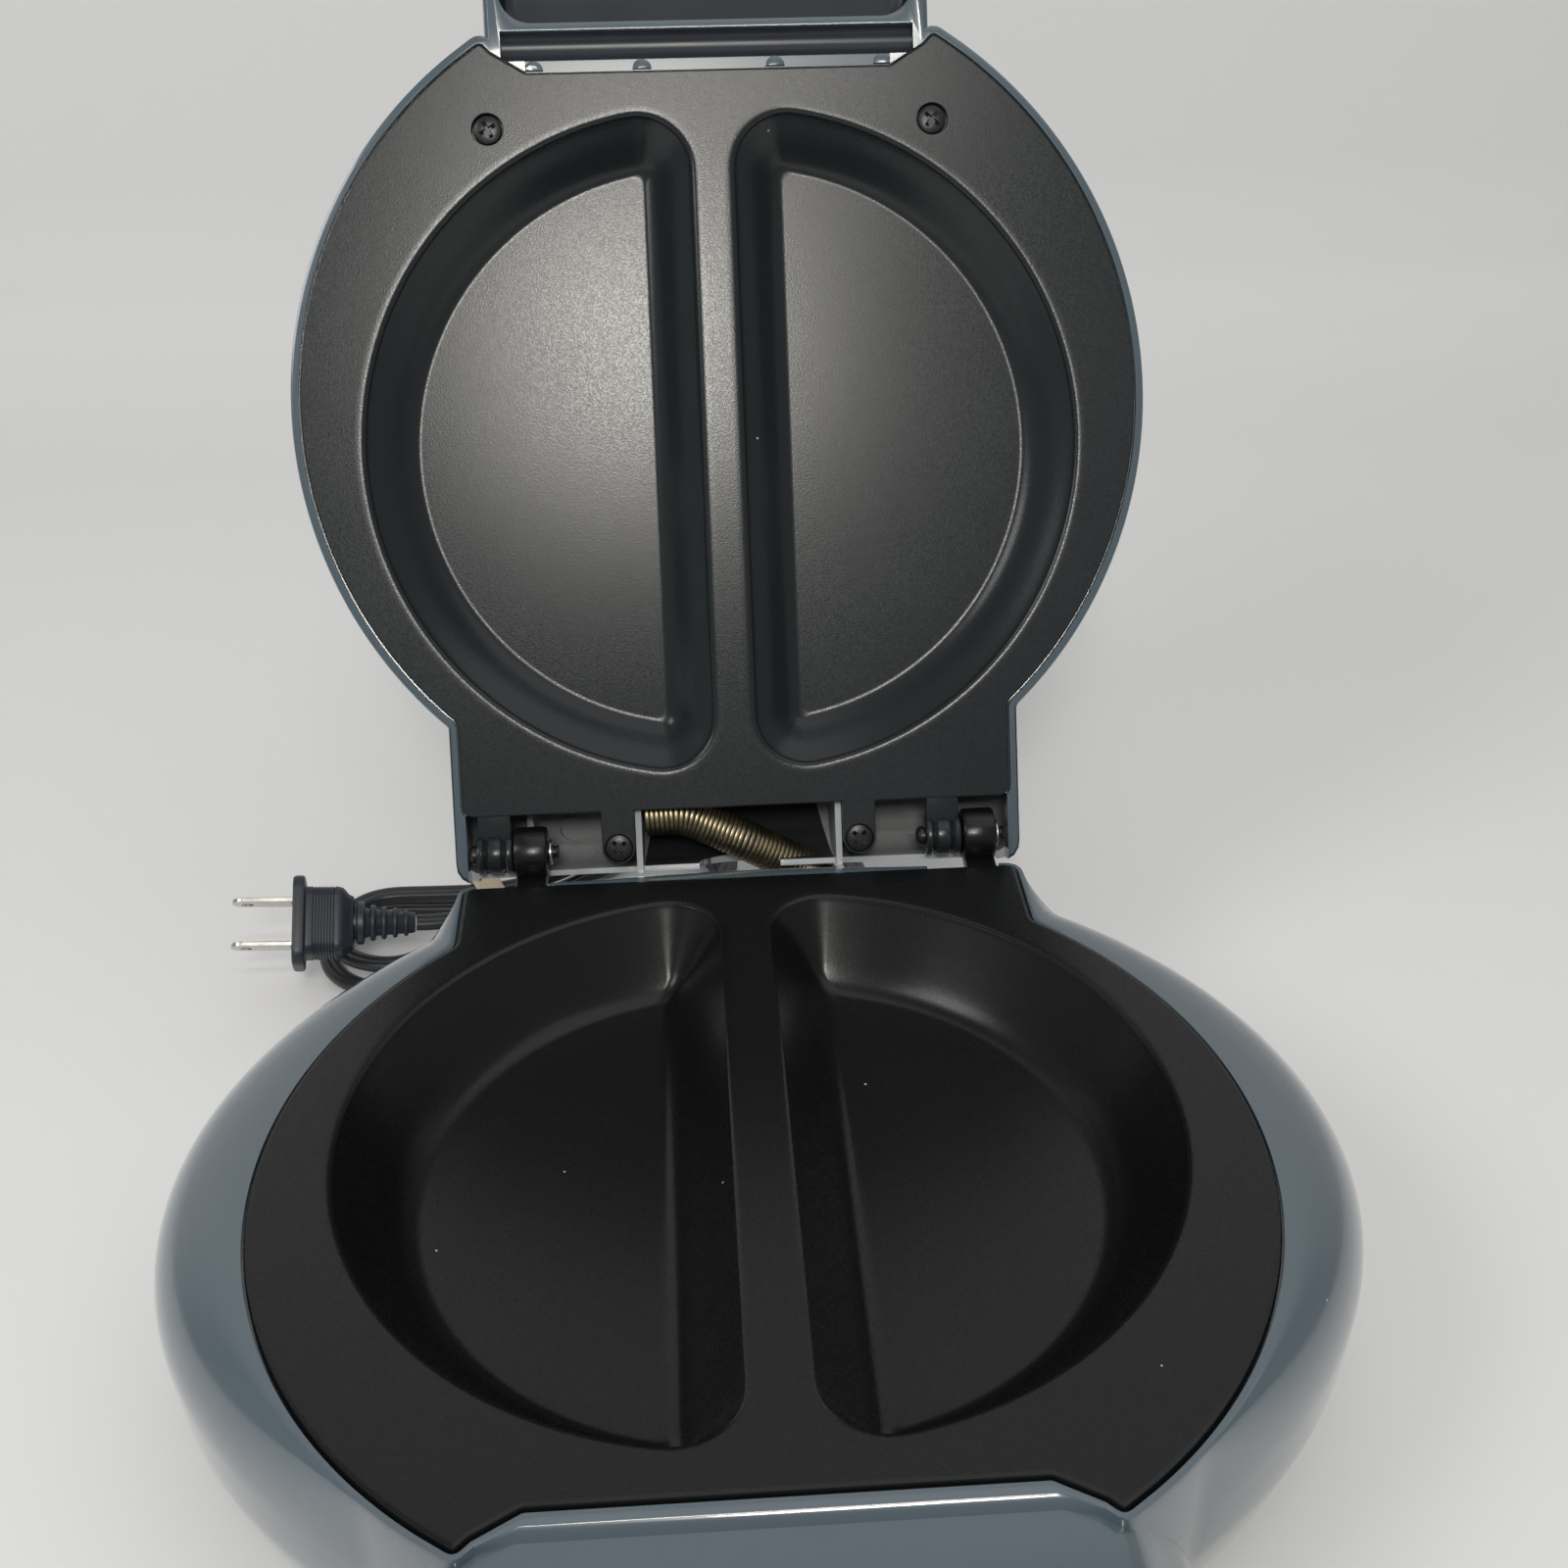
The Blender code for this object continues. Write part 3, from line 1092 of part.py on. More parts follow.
def smooth_route(knots, spacing):
    """Return evenly spaced points on a smooth curve through a route's own points."""
    knots = [Vector(knot) for knot in knots]
    padded = [2 * knots[0] - knots[1]] + knots + [2 * knots[-1] - knots[-2]]
    dense = []
    for a, b, c, d in zip(padded, padded[1:], padded[2:], padded[3:]):
        for step in range(ROUTE_STEPS):
            t = step / ROUTE_STEPS
            dense.append(0.5 * ((2 * b) + (c - a) * t + (2 * a - 5 * b + 4 * c - d) * t ** 2 +
                                (3 * b - a - 3 * c + d) * t ** 3))
    dense.append(knots[-1])
    return spaced_points(dense, spacing)


def spaced_points(dense, spacing):
    """Return points at an even spacing along a dense line, both of its ends included."""
    lengths = [0.0]
    for first, second in zip(dense, dense[1:]):
        lengths.append(lengths[-1] + (second - first).length)
    count = max(2, round(lengths[-1] / spacing))
    points, place = [], 0
    for index in range(count + 1):
        goal = lengths[-1] * index / count
        while place < len(dense) - 2 and lengths[place + 1] < goal:
            place += 1
        part = (goal - lengths[place]) / (lengths[place + 1] - lengths[place])
        points.append(dense[place].lerp(dense[place + 1], min(1, part)))
    return points


def route_length(points):
    """Return the length of a run of points."""
    return sum((second - first).length for first, second in zip(points, points[1:]))


def least_gap(points, diameter, skip):
    """Return a tube's least gap to itself, taken between points more than skip steps apart."""
    least = math.inf
    for index, first in enumerate(points):
        for second in points[index + skip:]:
            least = min(least, (second - first).length)
    return least - diameter


def filleted_route(corners, radii, spacing):
    """Return about evenly spaced points on a line through corners rounded to their own radii."""
    corners = [Vector(corner) for corner in corners]
    dense = [corners[0]]
    for before, corner, after, radius in zip(corners, corners[1:], corners[2:], radii):
        back = (before - corner).normalized()
        ahead = (after - corner).normalized()
        half = back.angle(ahead) / 2
        middle = corner + (back + ahead).normalized() * radius / math.sin(half)
        start = corner + back * radius / math.tan(half) - middle
        stop = corner + ahead * radius / math.tan(half) - middle
        sweep = start.angle(stop)
        for step in range(ROUTE_STEPS + 1):
            part = sweep * step / ROUTE_STEPS
            reach = start * math.sin(sweep - part) + stop * math.sin(part)
            dense.append(middle + reach / math.sin(sweep))
    dense.append(corners[-1])
    return spaced_points(dense, spacing)


def build_conduit(carrier):
    """Build the wound wire conduit from its bush in the base to the lid's left channel rib."""
    start = (CONDUIT_BASE_X, BUSH_INNER_Y + BUSH_LIP + CONDUIT_WIRE / 2 + GAP, CONDUIT_BASE_Z)
    corner = (CONDUIT_LID_X, CONDUIT_LID_Y, CONDUIT_LID_Z)
    end = (CHANNEL_WALL / 2 + GAP + CONDUIT_WIRE / 2 - CHANNEL_X, CONDUIT_LID_Y, CONDUIT_LID_Z)
    axis = filleted_route([start, (CONDUIT_BASE_X, CONDUIT_REAR_Y, CONDUIT_BASE_Z), CONDUIT_MIDDLE,
                           lid_to_frame(corner), lid_to_frame(end)], CONDUIT_BEND_RADII,
                          CONDUIT_PITCH / CONDUIT_POINTS_PER_CURL)
    points = []
    side = Vector((1, 0, 0))
    for index, spot in enumerate(axis):
        ahead = axis[min(index + 1, len(axis) - 1)] - axis[max(index - 1, 0)]
        ahead.normalize()
        side = (side - side.dot(ahead) * ahead).normalized()
        other = ahead.cross(side)
        angle = 2 * math.pi * index / CONDUIT_POINTS_PER_CURL
        points.append(spot + CONDUIT_MEAN_RADIUS * (side * math.cos(angle) + other * math.sin(angle)))
    print("conduit: curls", len(axis) / CONDUIT_POINTS_PER_CURL, "length", route_length(axis),
          "least gap", least_gap(points, CONDUIT_WIRE, CONDUIT_POINTS_PER_CURL - 1))
    bore = CONDUIT_MEAN_RADIUS + CONDUIT_WIRE / 2 + BUSH_BORE_PLAY
    profile = [(bore, BUSH_OUTER_Y), (bush_radius(), BUSH_OUTER_Y), (bush_radius(), BUSH_INNER_Y),
               (CONDUIT_MEAN_RADIUS - CONDUIT_WIRE, BUSH_INNER_Y),
               (CONDUIT_MEAN_RADIUS - CONDUIT_WIRE, BUSH_INNER_Y + BUSH_LIP),
               (bore, BUSH_INNER_Y + BUSH_LIP), (bore, BUSH_OUTER_Y)]
    turn = (Matrix.Translation((CONDUIT_BASE_X, 0, CONDUIT_BASE_Z)) @
            Matrix.Rotation(-math.pi / 2, 4, "X"))
    turned("conduit_bush", profile, ROUND_FACES, "dark_plastic", carrier, turn)
    return tube("wire_conduit", points, CONDUIT_WIRE / 2, "brass", carrier, 1)


def hank_loop(turn, radius):
    """Return a point on the hank's plan at a turn count, for ends of a given radius."""
    half_run = HANK_RUN / 2
    share = turn % 1.0
    end_share = HANK_END_POINTS / HANK_POINTS_PER_TURN
    run_share = (1 - 2 * end_share) / 4
    if share < run_share:
        x, y = -half_run * share / run_share, -radius
    elif share < run_share + end_share:
        angle = math.pi * (share - run_share) / end_share
        x, y = -half_run - radius * math.sin(angle), -radius * math.cos(angle)
    elif share < 3 * run_share + end_share:
        x = half_run * ((share - run_share - end_share) / run_share - 1)
        y = radius
    elif share < 3 * run_share + 2 * end_share:
        angle = math.pi * (share - 3 * run_share - end_share) / end_share
        x, y = half_run + radius * math.sin(angle), radius * math.cos(angle)
    else:
        x, y = half_run * (1 - share) / run_share, -radius
    if abs(x) < half_run:
        y -= math.copysign(HANK_DRAW_IN, y) * (1 - (x / half_run) ** 2) ** 1.5
    return x, y


def hank_place(x, y, z):
    """Return a point of the hank's own plan in the plate frame."""
    turn = math.radians(HANK_ANGLE)
    return Vector((HANK_X + x * math.cos(turn) - y * math.sin(turn),
                   HANK_Y + x * math.sin(turn) + y * math.cos(turn), z))


def hank_points():
    """Return the hank's centre line: one layer spirals in, climbs along a run and spirals out."""
    low = -RIM_HEIGHT + CORD_WIDTH / 2 + TIE_THICKNESS + TIE_CLEARANCE
    points = [hank_place(CORD_WIDTH, HANK_DRAW_IN - HANK_END_RADIUS - GAP * 2, low)]
    for index in range(HANK_TURNS * HANK_POINTS_PER_TURN - HANK_TAIL_POINTS + 1):
        turn = index / HANK_POINTS_PER_TURN
        radius = HANK_END_RADIUS - HANK_STEP * (1 - abs(turn - 1))
        climb_span = 1 / 8
        climb = min(1, max(0, (turn - 1 + climb_span) / (2 * climb_span)))
        climb = climb * climb * (3 - 2 * climb)
        x, y = hank_loop(turn, radius)
        points.append(hank_place(x, y, low + HANK_LAYER * climb))
    return points


def build_cord(carrier):
    """Build the cord from its gland through its hank to its plug, with the tie that holds it."""
    hank = hank_points()
    print("hank: length", route_length(hank), "least gap",
          least_gap(hank, CORD_WIDTH, HANK_POINTS_PER_TURN // 3))
    tube("cord_hank", hank, CORD_WIDTH / 2, "cord_vinyl", carrier, 1)
    first = (hank[0] - hank[1]).normalized()
    last = (hank[-1] - hank[-2]).normalized()
    boot_end = Vector((GLAND_X, GLAND_OUTER_Y + GLAND_FLANGE_THICKNESS + GLAND_BOOT_LENGTH + GAP,
                       GLAND_Z))
    lead = smooth_route([boot_end + Vector((0, CORD_WIDTH, 0)), *LEAD_ROUTE,
                         hank[0] + first * CORD_WIDTH], CORD_WIDTH * 2)
    lead = [boot_end, *lead, hank[0] + first * GAP]
    tube("cord_lead", lead, CORD_WIDTH / 2, "cord_vinyl", carrier, CORD_BEVEL_RESOLUTION)
    plug_length = PLUG_FLANGE_THICKNESS + PLUG_BODY_LENGTH + PLUG_RELIEF_LENGTH
    tail = smooth_route([hank[-1] + last * CORD_WIDTH,
                         *[hank_place(*knot) for knot in TAIL_ROUTE],
                         plug_point(plug_length + CORD_WIDTH)], CORD_WIDTH)
    tail = [hank[-1] + last * GAP, *tail, plug_point(plug_length + GAP)]
    tube("cord_tail", tail, CORD_WIDTH / 2, "cord_vinyl", carrier, CORD_BEVEL_RESOLUTION)
    print("cord: total length", route_length(lead) + route_length(hank) + route_length(tail),
          "least bend radius of lead and tail", least_bend(lead), least_bend(tail))
    build_gland(carrier)
    build_tie(carrier)
    build_plug(carrier)


def least_bend(points):
    """Return the least bend radius along a run of points."""
    least = math.inf
    for a, b, c in zip(points, points[1:], points[2:]):
        turn = (b - a).angle(c - b)
        if turn:
            least = min(least, (c - a).length / 2 / math.sin(turn))
    return least


def build_gland(carrier):
    """Build the cord's gland with its outer flange, its neck in the wall and its tapered boot."""
    outer = GLAND_OUTER_Y + GAP
    boot = outer + GLAND_FLANGE_THICKNESS
    profile = [(0, boot + GLAND_BOOT_LENGTH), (GLAND_BOOT_TIP_RADIUS, boot + GLAND_BOOT_LENGTH),
               (GLAND_BOOT_ROOT_RADIUS, boot), (GLAND_FLANGE_RADIUS, boot),
               (GLAND_FLANGE_RADIUS, outer), (GLAND_NECK_RADIUS, outer),
               (GLAND_NECK_RADIUS, GLAND_INNER_Y), (0, GLAND_INNER_Y)]
    turn = Matrix.Translation((GLAND_X, 0, GLAND_Z)) @ Matrix.Rotation(-math.pi / 2, 4, "X")
    turned("cord_gland", profile, ROUND_FACES, "rubber", carrier, turn)


def build_tie(carrier):
    """Build the flat band that ties the hank near its waist."""
    reach = abs(TIE_SHIFT) + TIE_WIDTH / 2
    drawn = HANK_DRAW_IN * (1 - (reach / (HANK_RUN / 2)) ** 2) ** 1.5
    half = HANK_END_RADIUS - HANK_STEP / 4 - drawn + CORD_WIDTH / 2 + TIE_CLEARANCE
    rise = (HANK_LAYER + CORD_WIDTH) / 2 + TIE_CLEARANCE
    outlines = []
    for extra in (TIE_THICKNESS, 0):
        outlines.append(rounded_box(half + extra, rise + extra, CORD_WIDTH / 2 + extra))
    band = extrude_outline("cord_tie", outlines, -TIE_WIDTH / 2, TIE_WIDTH / 2, "cream_tie", carrier)
    middle = hank_place(TIE_SHIFT, -HANK_STEP / 4, -RIM_HEIGHT + TIE_THICKNESS + rise)
    turn = Matrix.Rotation(math.radians(HANK_ANGLE), 4, "Z") @ Euler(
        (math.pi / 2, 0, math.pi / 2)).to_matrix().to_4x4()
    band.data.transform(Matrix.Translation(middle) @ turn)


def plug_point(along, across=0.0, depth=0.0):
    """Return a point of the plug: along from its face to its cord, across its blades, and deep."""
    place = plug_matrix()
    return place @ Vector((depth, across, along))


def plug_matrix():
    """Return the placing of the plug, whose own Z runs from its face along its cord."""
    aim = Euler((0, math.pi / 2 + math.radians(PLUG_DIP), math.radians(PLUG_ANGLE)))
    aim = aim.to_matrix().to_4x4()
    roll = Matrix.Rotation(math.radians(PLUG_ROLL), 4, "Z")
    return Matrix.Translation((PLUG_X, PLUG_Y, PLUG_Z)) @ aim @ roll


def build_plug(carrier):
    """Build the moulded plug with its ribbed strain relief, and its two blades."""
    place = plug_matrix()
    rings = []
    body = PLUG_BODY_SHARE
    collar = PLUG_COLLAR_RADIUS / PLUG_FLANGE_HALF_WIDTH
    for along, share in ((0, 1.0), (PLUG_FLANGE_THICKNESS, 1.0), (PLUG_FLANGE_THICKNESS, body),
                         (PLUG_FLANGE_THICKNESS + PLUG_BODY_LENGTH * 0.8, body),
                         (PLUG_FLANGE_THICKNESS + PLUG_BODY_LENGTH, collar)):
        half_depth = PLUG_FLANGE_HALF_DEPTH * share
        half_width = PLUG_FLANGE_HALF_WIDTH * share
        rings.append([(x, y, along) for x, y in rounded_box(half_depth, half_width, half_depth / 2)])
    plug = loft("plug_body", rings, "rubber", carrier)
    plug.data.transform(place)
    start = PLUG_FLANGE_THICKNESS + PLUG_BODY_LENGTH
    pitch = PLUG_RELIEF_LENGTH / (PLUG_RELIEF_RIBS + 1)
    profile = [(0, start + PLUG_RELIEF_LENGTH), (PLUG_RELIEF_TIP_RADIUS, start + PLUG_RELIEF_LENGTH)]
    for index in range(PLUG_RELIEF_RIBS, 0, -1):
        share = index / (PLUG_RELIEF_RIBS + 1)
        radius = PLUG_RELIEF_ROOT_RADIUS + (PLUG_RELIEF_TIP_RADIUS - PLUG_RELIEF_ROOT_RADIUS) * share
        height = start + pitch * index
        profile += [(radius, height + pitch * 0.3), (radius - PLUG_RELIEF_GROOVE, height + pitch * 0.25),
                    (radius - PLUG_RELIEF_GROOVE, height - pitch * 0.05), (radius, height - pitch * 0.1)]
    profile += [(PLUG_RELIEF_ROOT_RADIUS, start - PLUG_BODY_LENGTH / 4),
                (0, start - PLUG_BODY_LENGTH / 4)]
    join(plug, turned("plug_relief", profile, ROUND_FACES, None, carrier, place))
    for side, word in ((-1, "lower"), (1, "upper")):
        across = side * BLADE_SPACING / 2
        outline = rounded_front(BLADE_WIDTH / 2, BLADE_LENGTH, GAP, BLADE_WIDTH / 2 * 0.98, 5)
        blade = extrude_outline(f"plug_blade_{word}", [outline], -BLADE_THICKNESS / 2,
                                BLADE_THICKNESS / 2, "blade_metal", carrier)
        stand = Matrix.Translation((0, across, 0)) @ Matrix.Rotation(math.pi / 2, 4, "X")
        blade.data.transform(place @ stand)


def rounded_box(half_x, half_y, corner):
    """Return a rectangle's outline with round corners."""
    outline = []
    for x, y, start in ((half_x, half_y, 0), (-half_x, half_y, math.pi / 2),
                        (-half_x, -half_y, math.pi), (half_x, -half_y, 3 * math.pi / 2)):
        centre = (math.copysign(half_x - corner, x), math.copysign(half_y - corner, y))
        outline += arc_points(centre, corner, start, start + math.pi / 2, POCKET_CORNER_STEPS)
    return outline


def stand_on_origin(frame, cord_parts):
    """Shift the whole cooker so that its box, cord left out, is centred and stands at zero."""
    bpy.context.view_layer.update()
    graph = bpy.context.evaluated_depsgraph_get()
    low, high = Vector((math.inf,) * 3), Vector((-math.inf,) * 3)
    for item in PARTS.objects:
        if item.type != "MESH" or item.name in cord_parts:
            continue
        shape = item.evaluated_get(graph)
        for vertex in shape.data.vertices:
            spot = shape.matrix_world @ vertex.co
            low = Vector(map(min, low, spot))
            high = Vector(map(max, high, spot))
    shift = Vector((-(low.x + high.x) / 2, -(low.y + high.y) / 2, -low.z))
    frame.location = shift
    bpy.context.view_layer.update()
    print("shift", tuple(shift), "size", tuple(high - low))
    print("hinge at", tuple(shift + Vector((0, HINGE_Y, HINGE_Z))))


def main():
    """Build the whole cooker with its lid open."""
    frame = make_empty("plate_frame")
    hinge = make_empty("lid_hinge_axis", frame, (0, HINGE_Y, HINGE_Z),
                       (-math.radians(OPEN_ANGLE), 0, 0))
    base = Carrier(frame)
    lid = Carrier(hinge, (0, -HINGE_Y, -HINGE_Z))
    build_base_housing(base)
    build_lower_plate(base)
    build_bottom(base)
    pan = build_pan("lower_heat_pan", 0, -1, BASE_PAN_DEPTH, base)
    build_element("lower_element", -BASE_ELEMENT_DROP, BASE_ELEMENT_LEG, -1, pan, base)
    build_controls(base)
    build_pins(base)
    build_lid_housing(lid)
    build_upper_plate(lid)
    pan = build_pan("upper_heat_pan", PLATE_GAP, 1, LID_PAN_DEPTH, lid)
    build_element("upper_element", PLATE_GAP + LID_ELEMENT_DROP, LID_ELEMENT_LEG, 1, pan, lid)
    build_lid_inside(lid)
    build_conduit(base)
    build_cord(base)
    stand_on_origin(frame, {"cord_lead", "cord_hank", "cord_tail", "cord_tie", "cord_gland",
                            "plug_body", "plug_blade_lower", "plug_blade_upper"})


main()
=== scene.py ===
"""Looks of an electric breakfast cooker: fine shapes, finishes, light and the photograph's view.

Lengths are in metres. The plate frame has its zero in the middle of the base plate's top, with -Y
towards the handle and the hinge line along X at the back. Lid pieces are given closed and are then
turned open about the hinge.
"""

import json
import logging
import math
from collections.abc import Sequence
from dataclasses import dataclass, field, replace
from enum import Enum
from functools import cache

import bmesh
import bpy
from mathutils import Euler, Matrix, Vector
from mathutils.bvhtree import BVHTree
from mathutils.geometry import tessellate_polygon

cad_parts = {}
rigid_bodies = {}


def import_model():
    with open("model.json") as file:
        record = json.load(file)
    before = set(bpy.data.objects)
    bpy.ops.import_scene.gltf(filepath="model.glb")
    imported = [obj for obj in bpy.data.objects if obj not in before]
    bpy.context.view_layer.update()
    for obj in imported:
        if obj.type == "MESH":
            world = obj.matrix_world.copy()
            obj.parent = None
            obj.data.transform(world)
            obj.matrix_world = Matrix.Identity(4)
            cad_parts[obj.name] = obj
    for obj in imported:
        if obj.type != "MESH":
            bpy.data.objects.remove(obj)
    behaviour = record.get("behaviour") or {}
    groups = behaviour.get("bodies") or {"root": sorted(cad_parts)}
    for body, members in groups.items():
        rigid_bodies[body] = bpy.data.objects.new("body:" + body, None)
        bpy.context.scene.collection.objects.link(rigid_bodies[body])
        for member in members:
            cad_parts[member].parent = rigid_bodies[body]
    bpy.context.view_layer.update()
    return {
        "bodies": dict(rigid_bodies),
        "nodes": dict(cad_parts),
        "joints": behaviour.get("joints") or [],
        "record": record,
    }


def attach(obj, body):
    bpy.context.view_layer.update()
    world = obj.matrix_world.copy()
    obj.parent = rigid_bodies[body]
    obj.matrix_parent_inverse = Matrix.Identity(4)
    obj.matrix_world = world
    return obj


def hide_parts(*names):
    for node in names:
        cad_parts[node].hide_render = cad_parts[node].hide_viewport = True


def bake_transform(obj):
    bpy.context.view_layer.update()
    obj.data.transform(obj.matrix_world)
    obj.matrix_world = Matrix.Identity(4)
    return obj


LOG = logging.getLogger("breakfast_cooker")

Point2 = tuple[float, float]
Point3 = tuple[float, float, float]
Color = tuple[float, float, float]

FULL_TURN = 2 * math.pi
SIDES = ((-1, "left"), (1, "right"))
DOWN: Point3 = (0.0, 0.0, -1.0)

# Corners closer than this are one, and edges bent by more than this angle are sharp
MERGE = 0.00002
SHARP_ANGLE = math.radians(32)

# How far a cutting solid passes what it cuts, the play round a plate in its seat, and the
# number of levels in a casing's quarter turn
OVERCUT = 0.001
SEAT_PLAY = 0.0005
CURVE_STEPS = 12

# Places in the plate frame that several sub-assemblies share
FLOOR = -0.060
TAB_REACH = 0.104
FRONT_SCREW: Point2 = (0.0562, -0.0697)
HINGE_SCREW: Point2 = (0.0317, 0.1137)
LAMP: Point2 = (0.009, -0.050)
SLEEVE_HOLE: Point2 = (0.0268, -0.0167)
CORD_HOLE: Point2 = (0.036, -0.033)
LID_TOP = 0.0380


class Body(Enum):
    """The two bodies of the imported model."""

    BASE = "base"
    LID = "lid"


class Shape(Enum):
    """What one solid does to another."""

    JOIN = "UNION"
    CUT = "DIFFERENCE"


# Plan curves


def arc(centre: Point2, radius: float, start: float, stop: float, steps: int) -> list[Point2]:
    """Return points along an arc, both ends included.

    Args:
        centre: Middle of the arc.
        radius: Its radius.
        start: First angle in radians.
        stop: Last angle in radians.
        steps: Number of equal pieces.

    Returns:
        The points in order.
    """
    x, y = centre
    turns = [start + (stop - start) * step / steps for step in range(steps + 1)]
    return [(x + radius * math.cos(turn), y + radius * math.sin(turn)) for turn in turns]


def circle(centre: Point2, radius: float, steps: int) -> list[Point2]:
    """Return a closed circle's points."""
    return arc(centre, radius, 0, FULL_TURN, steps)[:-1]


def spline(padded: Sequence, steps: int) -> list[tuple[float, ...]]:
    """Return a smooth run of points through knots of any dimension.

    Args:
        padded: The knots, with one more at either end that only steers the curve.
        steps: Number of pieces between two knots.

    Returns:
        The knots with the points between them.
    """
    run = []
    for a, b, c, d in zip(padded, padded[1:], padded[2:], padded[3:]):
        for step in range(steps):
            t = step / steps
            run.append(tuple(
                (2 * q + (r - p) * t + (2 * p - 5 * q + 4 * r - s) * t * t
                 + (3 * q - p - 3 * r + s) * t ** 3) / 2
                for p, q, r, s in zip(a, b, c, d)))
    run.append(tuple(padded[-2]))
    return run


def smooth_knots(knots: Sequence[tuple[float, ...]], steps: int) -> list[tuple[float, ...]]:
    """Return a smooth run of points through knots, eased at both ends."""
    return spline([knots[0], *knots, knots[-1]], steps)


def filleted(corners: list[tuple[float, float, float]], steps: int) -> list[Point2]:
    """Return a closed outline whose corners are rounded.

    Args:
        corners: Each corner's x, y and radius, where 0 keeps the corner.
        steps: Number of pieces in each rounding.

    Returns:
        The outline's points.
    """
    outline: list[Point2] = []
    count = len(corners)
    for index, (x, y, radius) in enumerate(corners):
        spot = Vector((x, y))
        if not radius:
            outline.append((x, y))
            continue
        back = Vector(corners[index - 1][:2]) - spot
        ahead = Vector(corners[(index + 1) % count][:2]) - spot
        half = back.angle(ahead) / 2
        reach = min(radius / math.tan(half), back.length, ahead.length)
        start, stop = spot + back.normalized() * reach, spot + ahead.normalized() * reach
        for step in range(steps + 1):
            t = step / steps
            point = start.lerp(spot, t).lerp(spot.lerp(stop, t), t)
            outline.append((point.x, point.y))
    return outline


def offset(outline: list[Point2], margin: float) -> list[Point2]:
    """Return a closed outline that runs counter-clockwise moved outwards by a margin.

    Args:
        outline: The points.
        margin: Distance to move them, inwards where it is negative.

    Returns:
        As many points as before.
    """
    moved = []
    count = len(outline)
    for index, point in enumerate(outline):
        spot = Vector(point)
        ahead = Vector(outline[(index + 1) % count]) - spot
        back = spot - Vector(outline[index - 1])
        normal = (Vector((ahead.y, -ahead.x)).normalized()
                  + Vector((back.y, -back.x)).normalized())
        spot += normal * (2 * margin / normal.length_squared)
        moved.append((spot.x, spot.y))
    return moved


def drawn_in(outline: list[Point2], margin: float) -> list[Point2]:
    """Return a closed outline moved inwards, without the loops that its corners would make."""
    edge = [Vector(point) for point in outline]
    kept = []
    for point in offset(outline, -margin):
        spot = Vector(point)
        near = min((spot - (a + (b - a) * min(1.0, max(0.0, (spot - a).dot(b - a)
                                                       / (b - a).length_squared)))).length
                   for a, b in zip(edge, edge[1:] + edge[:1]))
        if near > margin * 0.98:
            kept.append(point)
    return kept


def fan(outline: list[Point2], centre: Vector, least: float = 0.004) -> list[Vector]:
    """Return an outline as rays from a centre, by growing angle and no two closer than the least.

    Args:
        outline: The points.
        centre: Where the rays start.
        least: Smallest angle between two rays.

    Returns:
        The rays.
    """
    rays = sorted((Vector(point) - centre for point in outline),
                  key=lambda ray: math.atan2(ray.y, ray.x))
    kept = [rays[0]]
    for ray in rays[1:]:
        if kept[-1].angle(ray) > least:
            kept.append(ray)
        elif ray.length > kept[-1].length:
            kept[-1] = ray
    return kept


def lift(outline: list[Point2], height: float) -> list[Point3]:
    """Return a plan outline at a height."""
    return [(x, y, height) for x, y in outline]


def rounded_box(half_x: float, half_y: float, corner: float, steps: int = 8) -> list[Point2]:
    """Return a rectangle's outline with round corners, counter-clockwise."""
    outline: list[Point2] = []
    for sx, sy, start in ((1, 1, 0.0), (-1, 1, 0.5), (-1, -1, 1.0), (1, -1, 1.5)):
        centre = (sx * (half_x - corner), sy * (half_y - corner))
        outline += arc(centre, corner, start * math.pi, (start + 0.5) * math.pi, steps)
    return outline


# Meshes


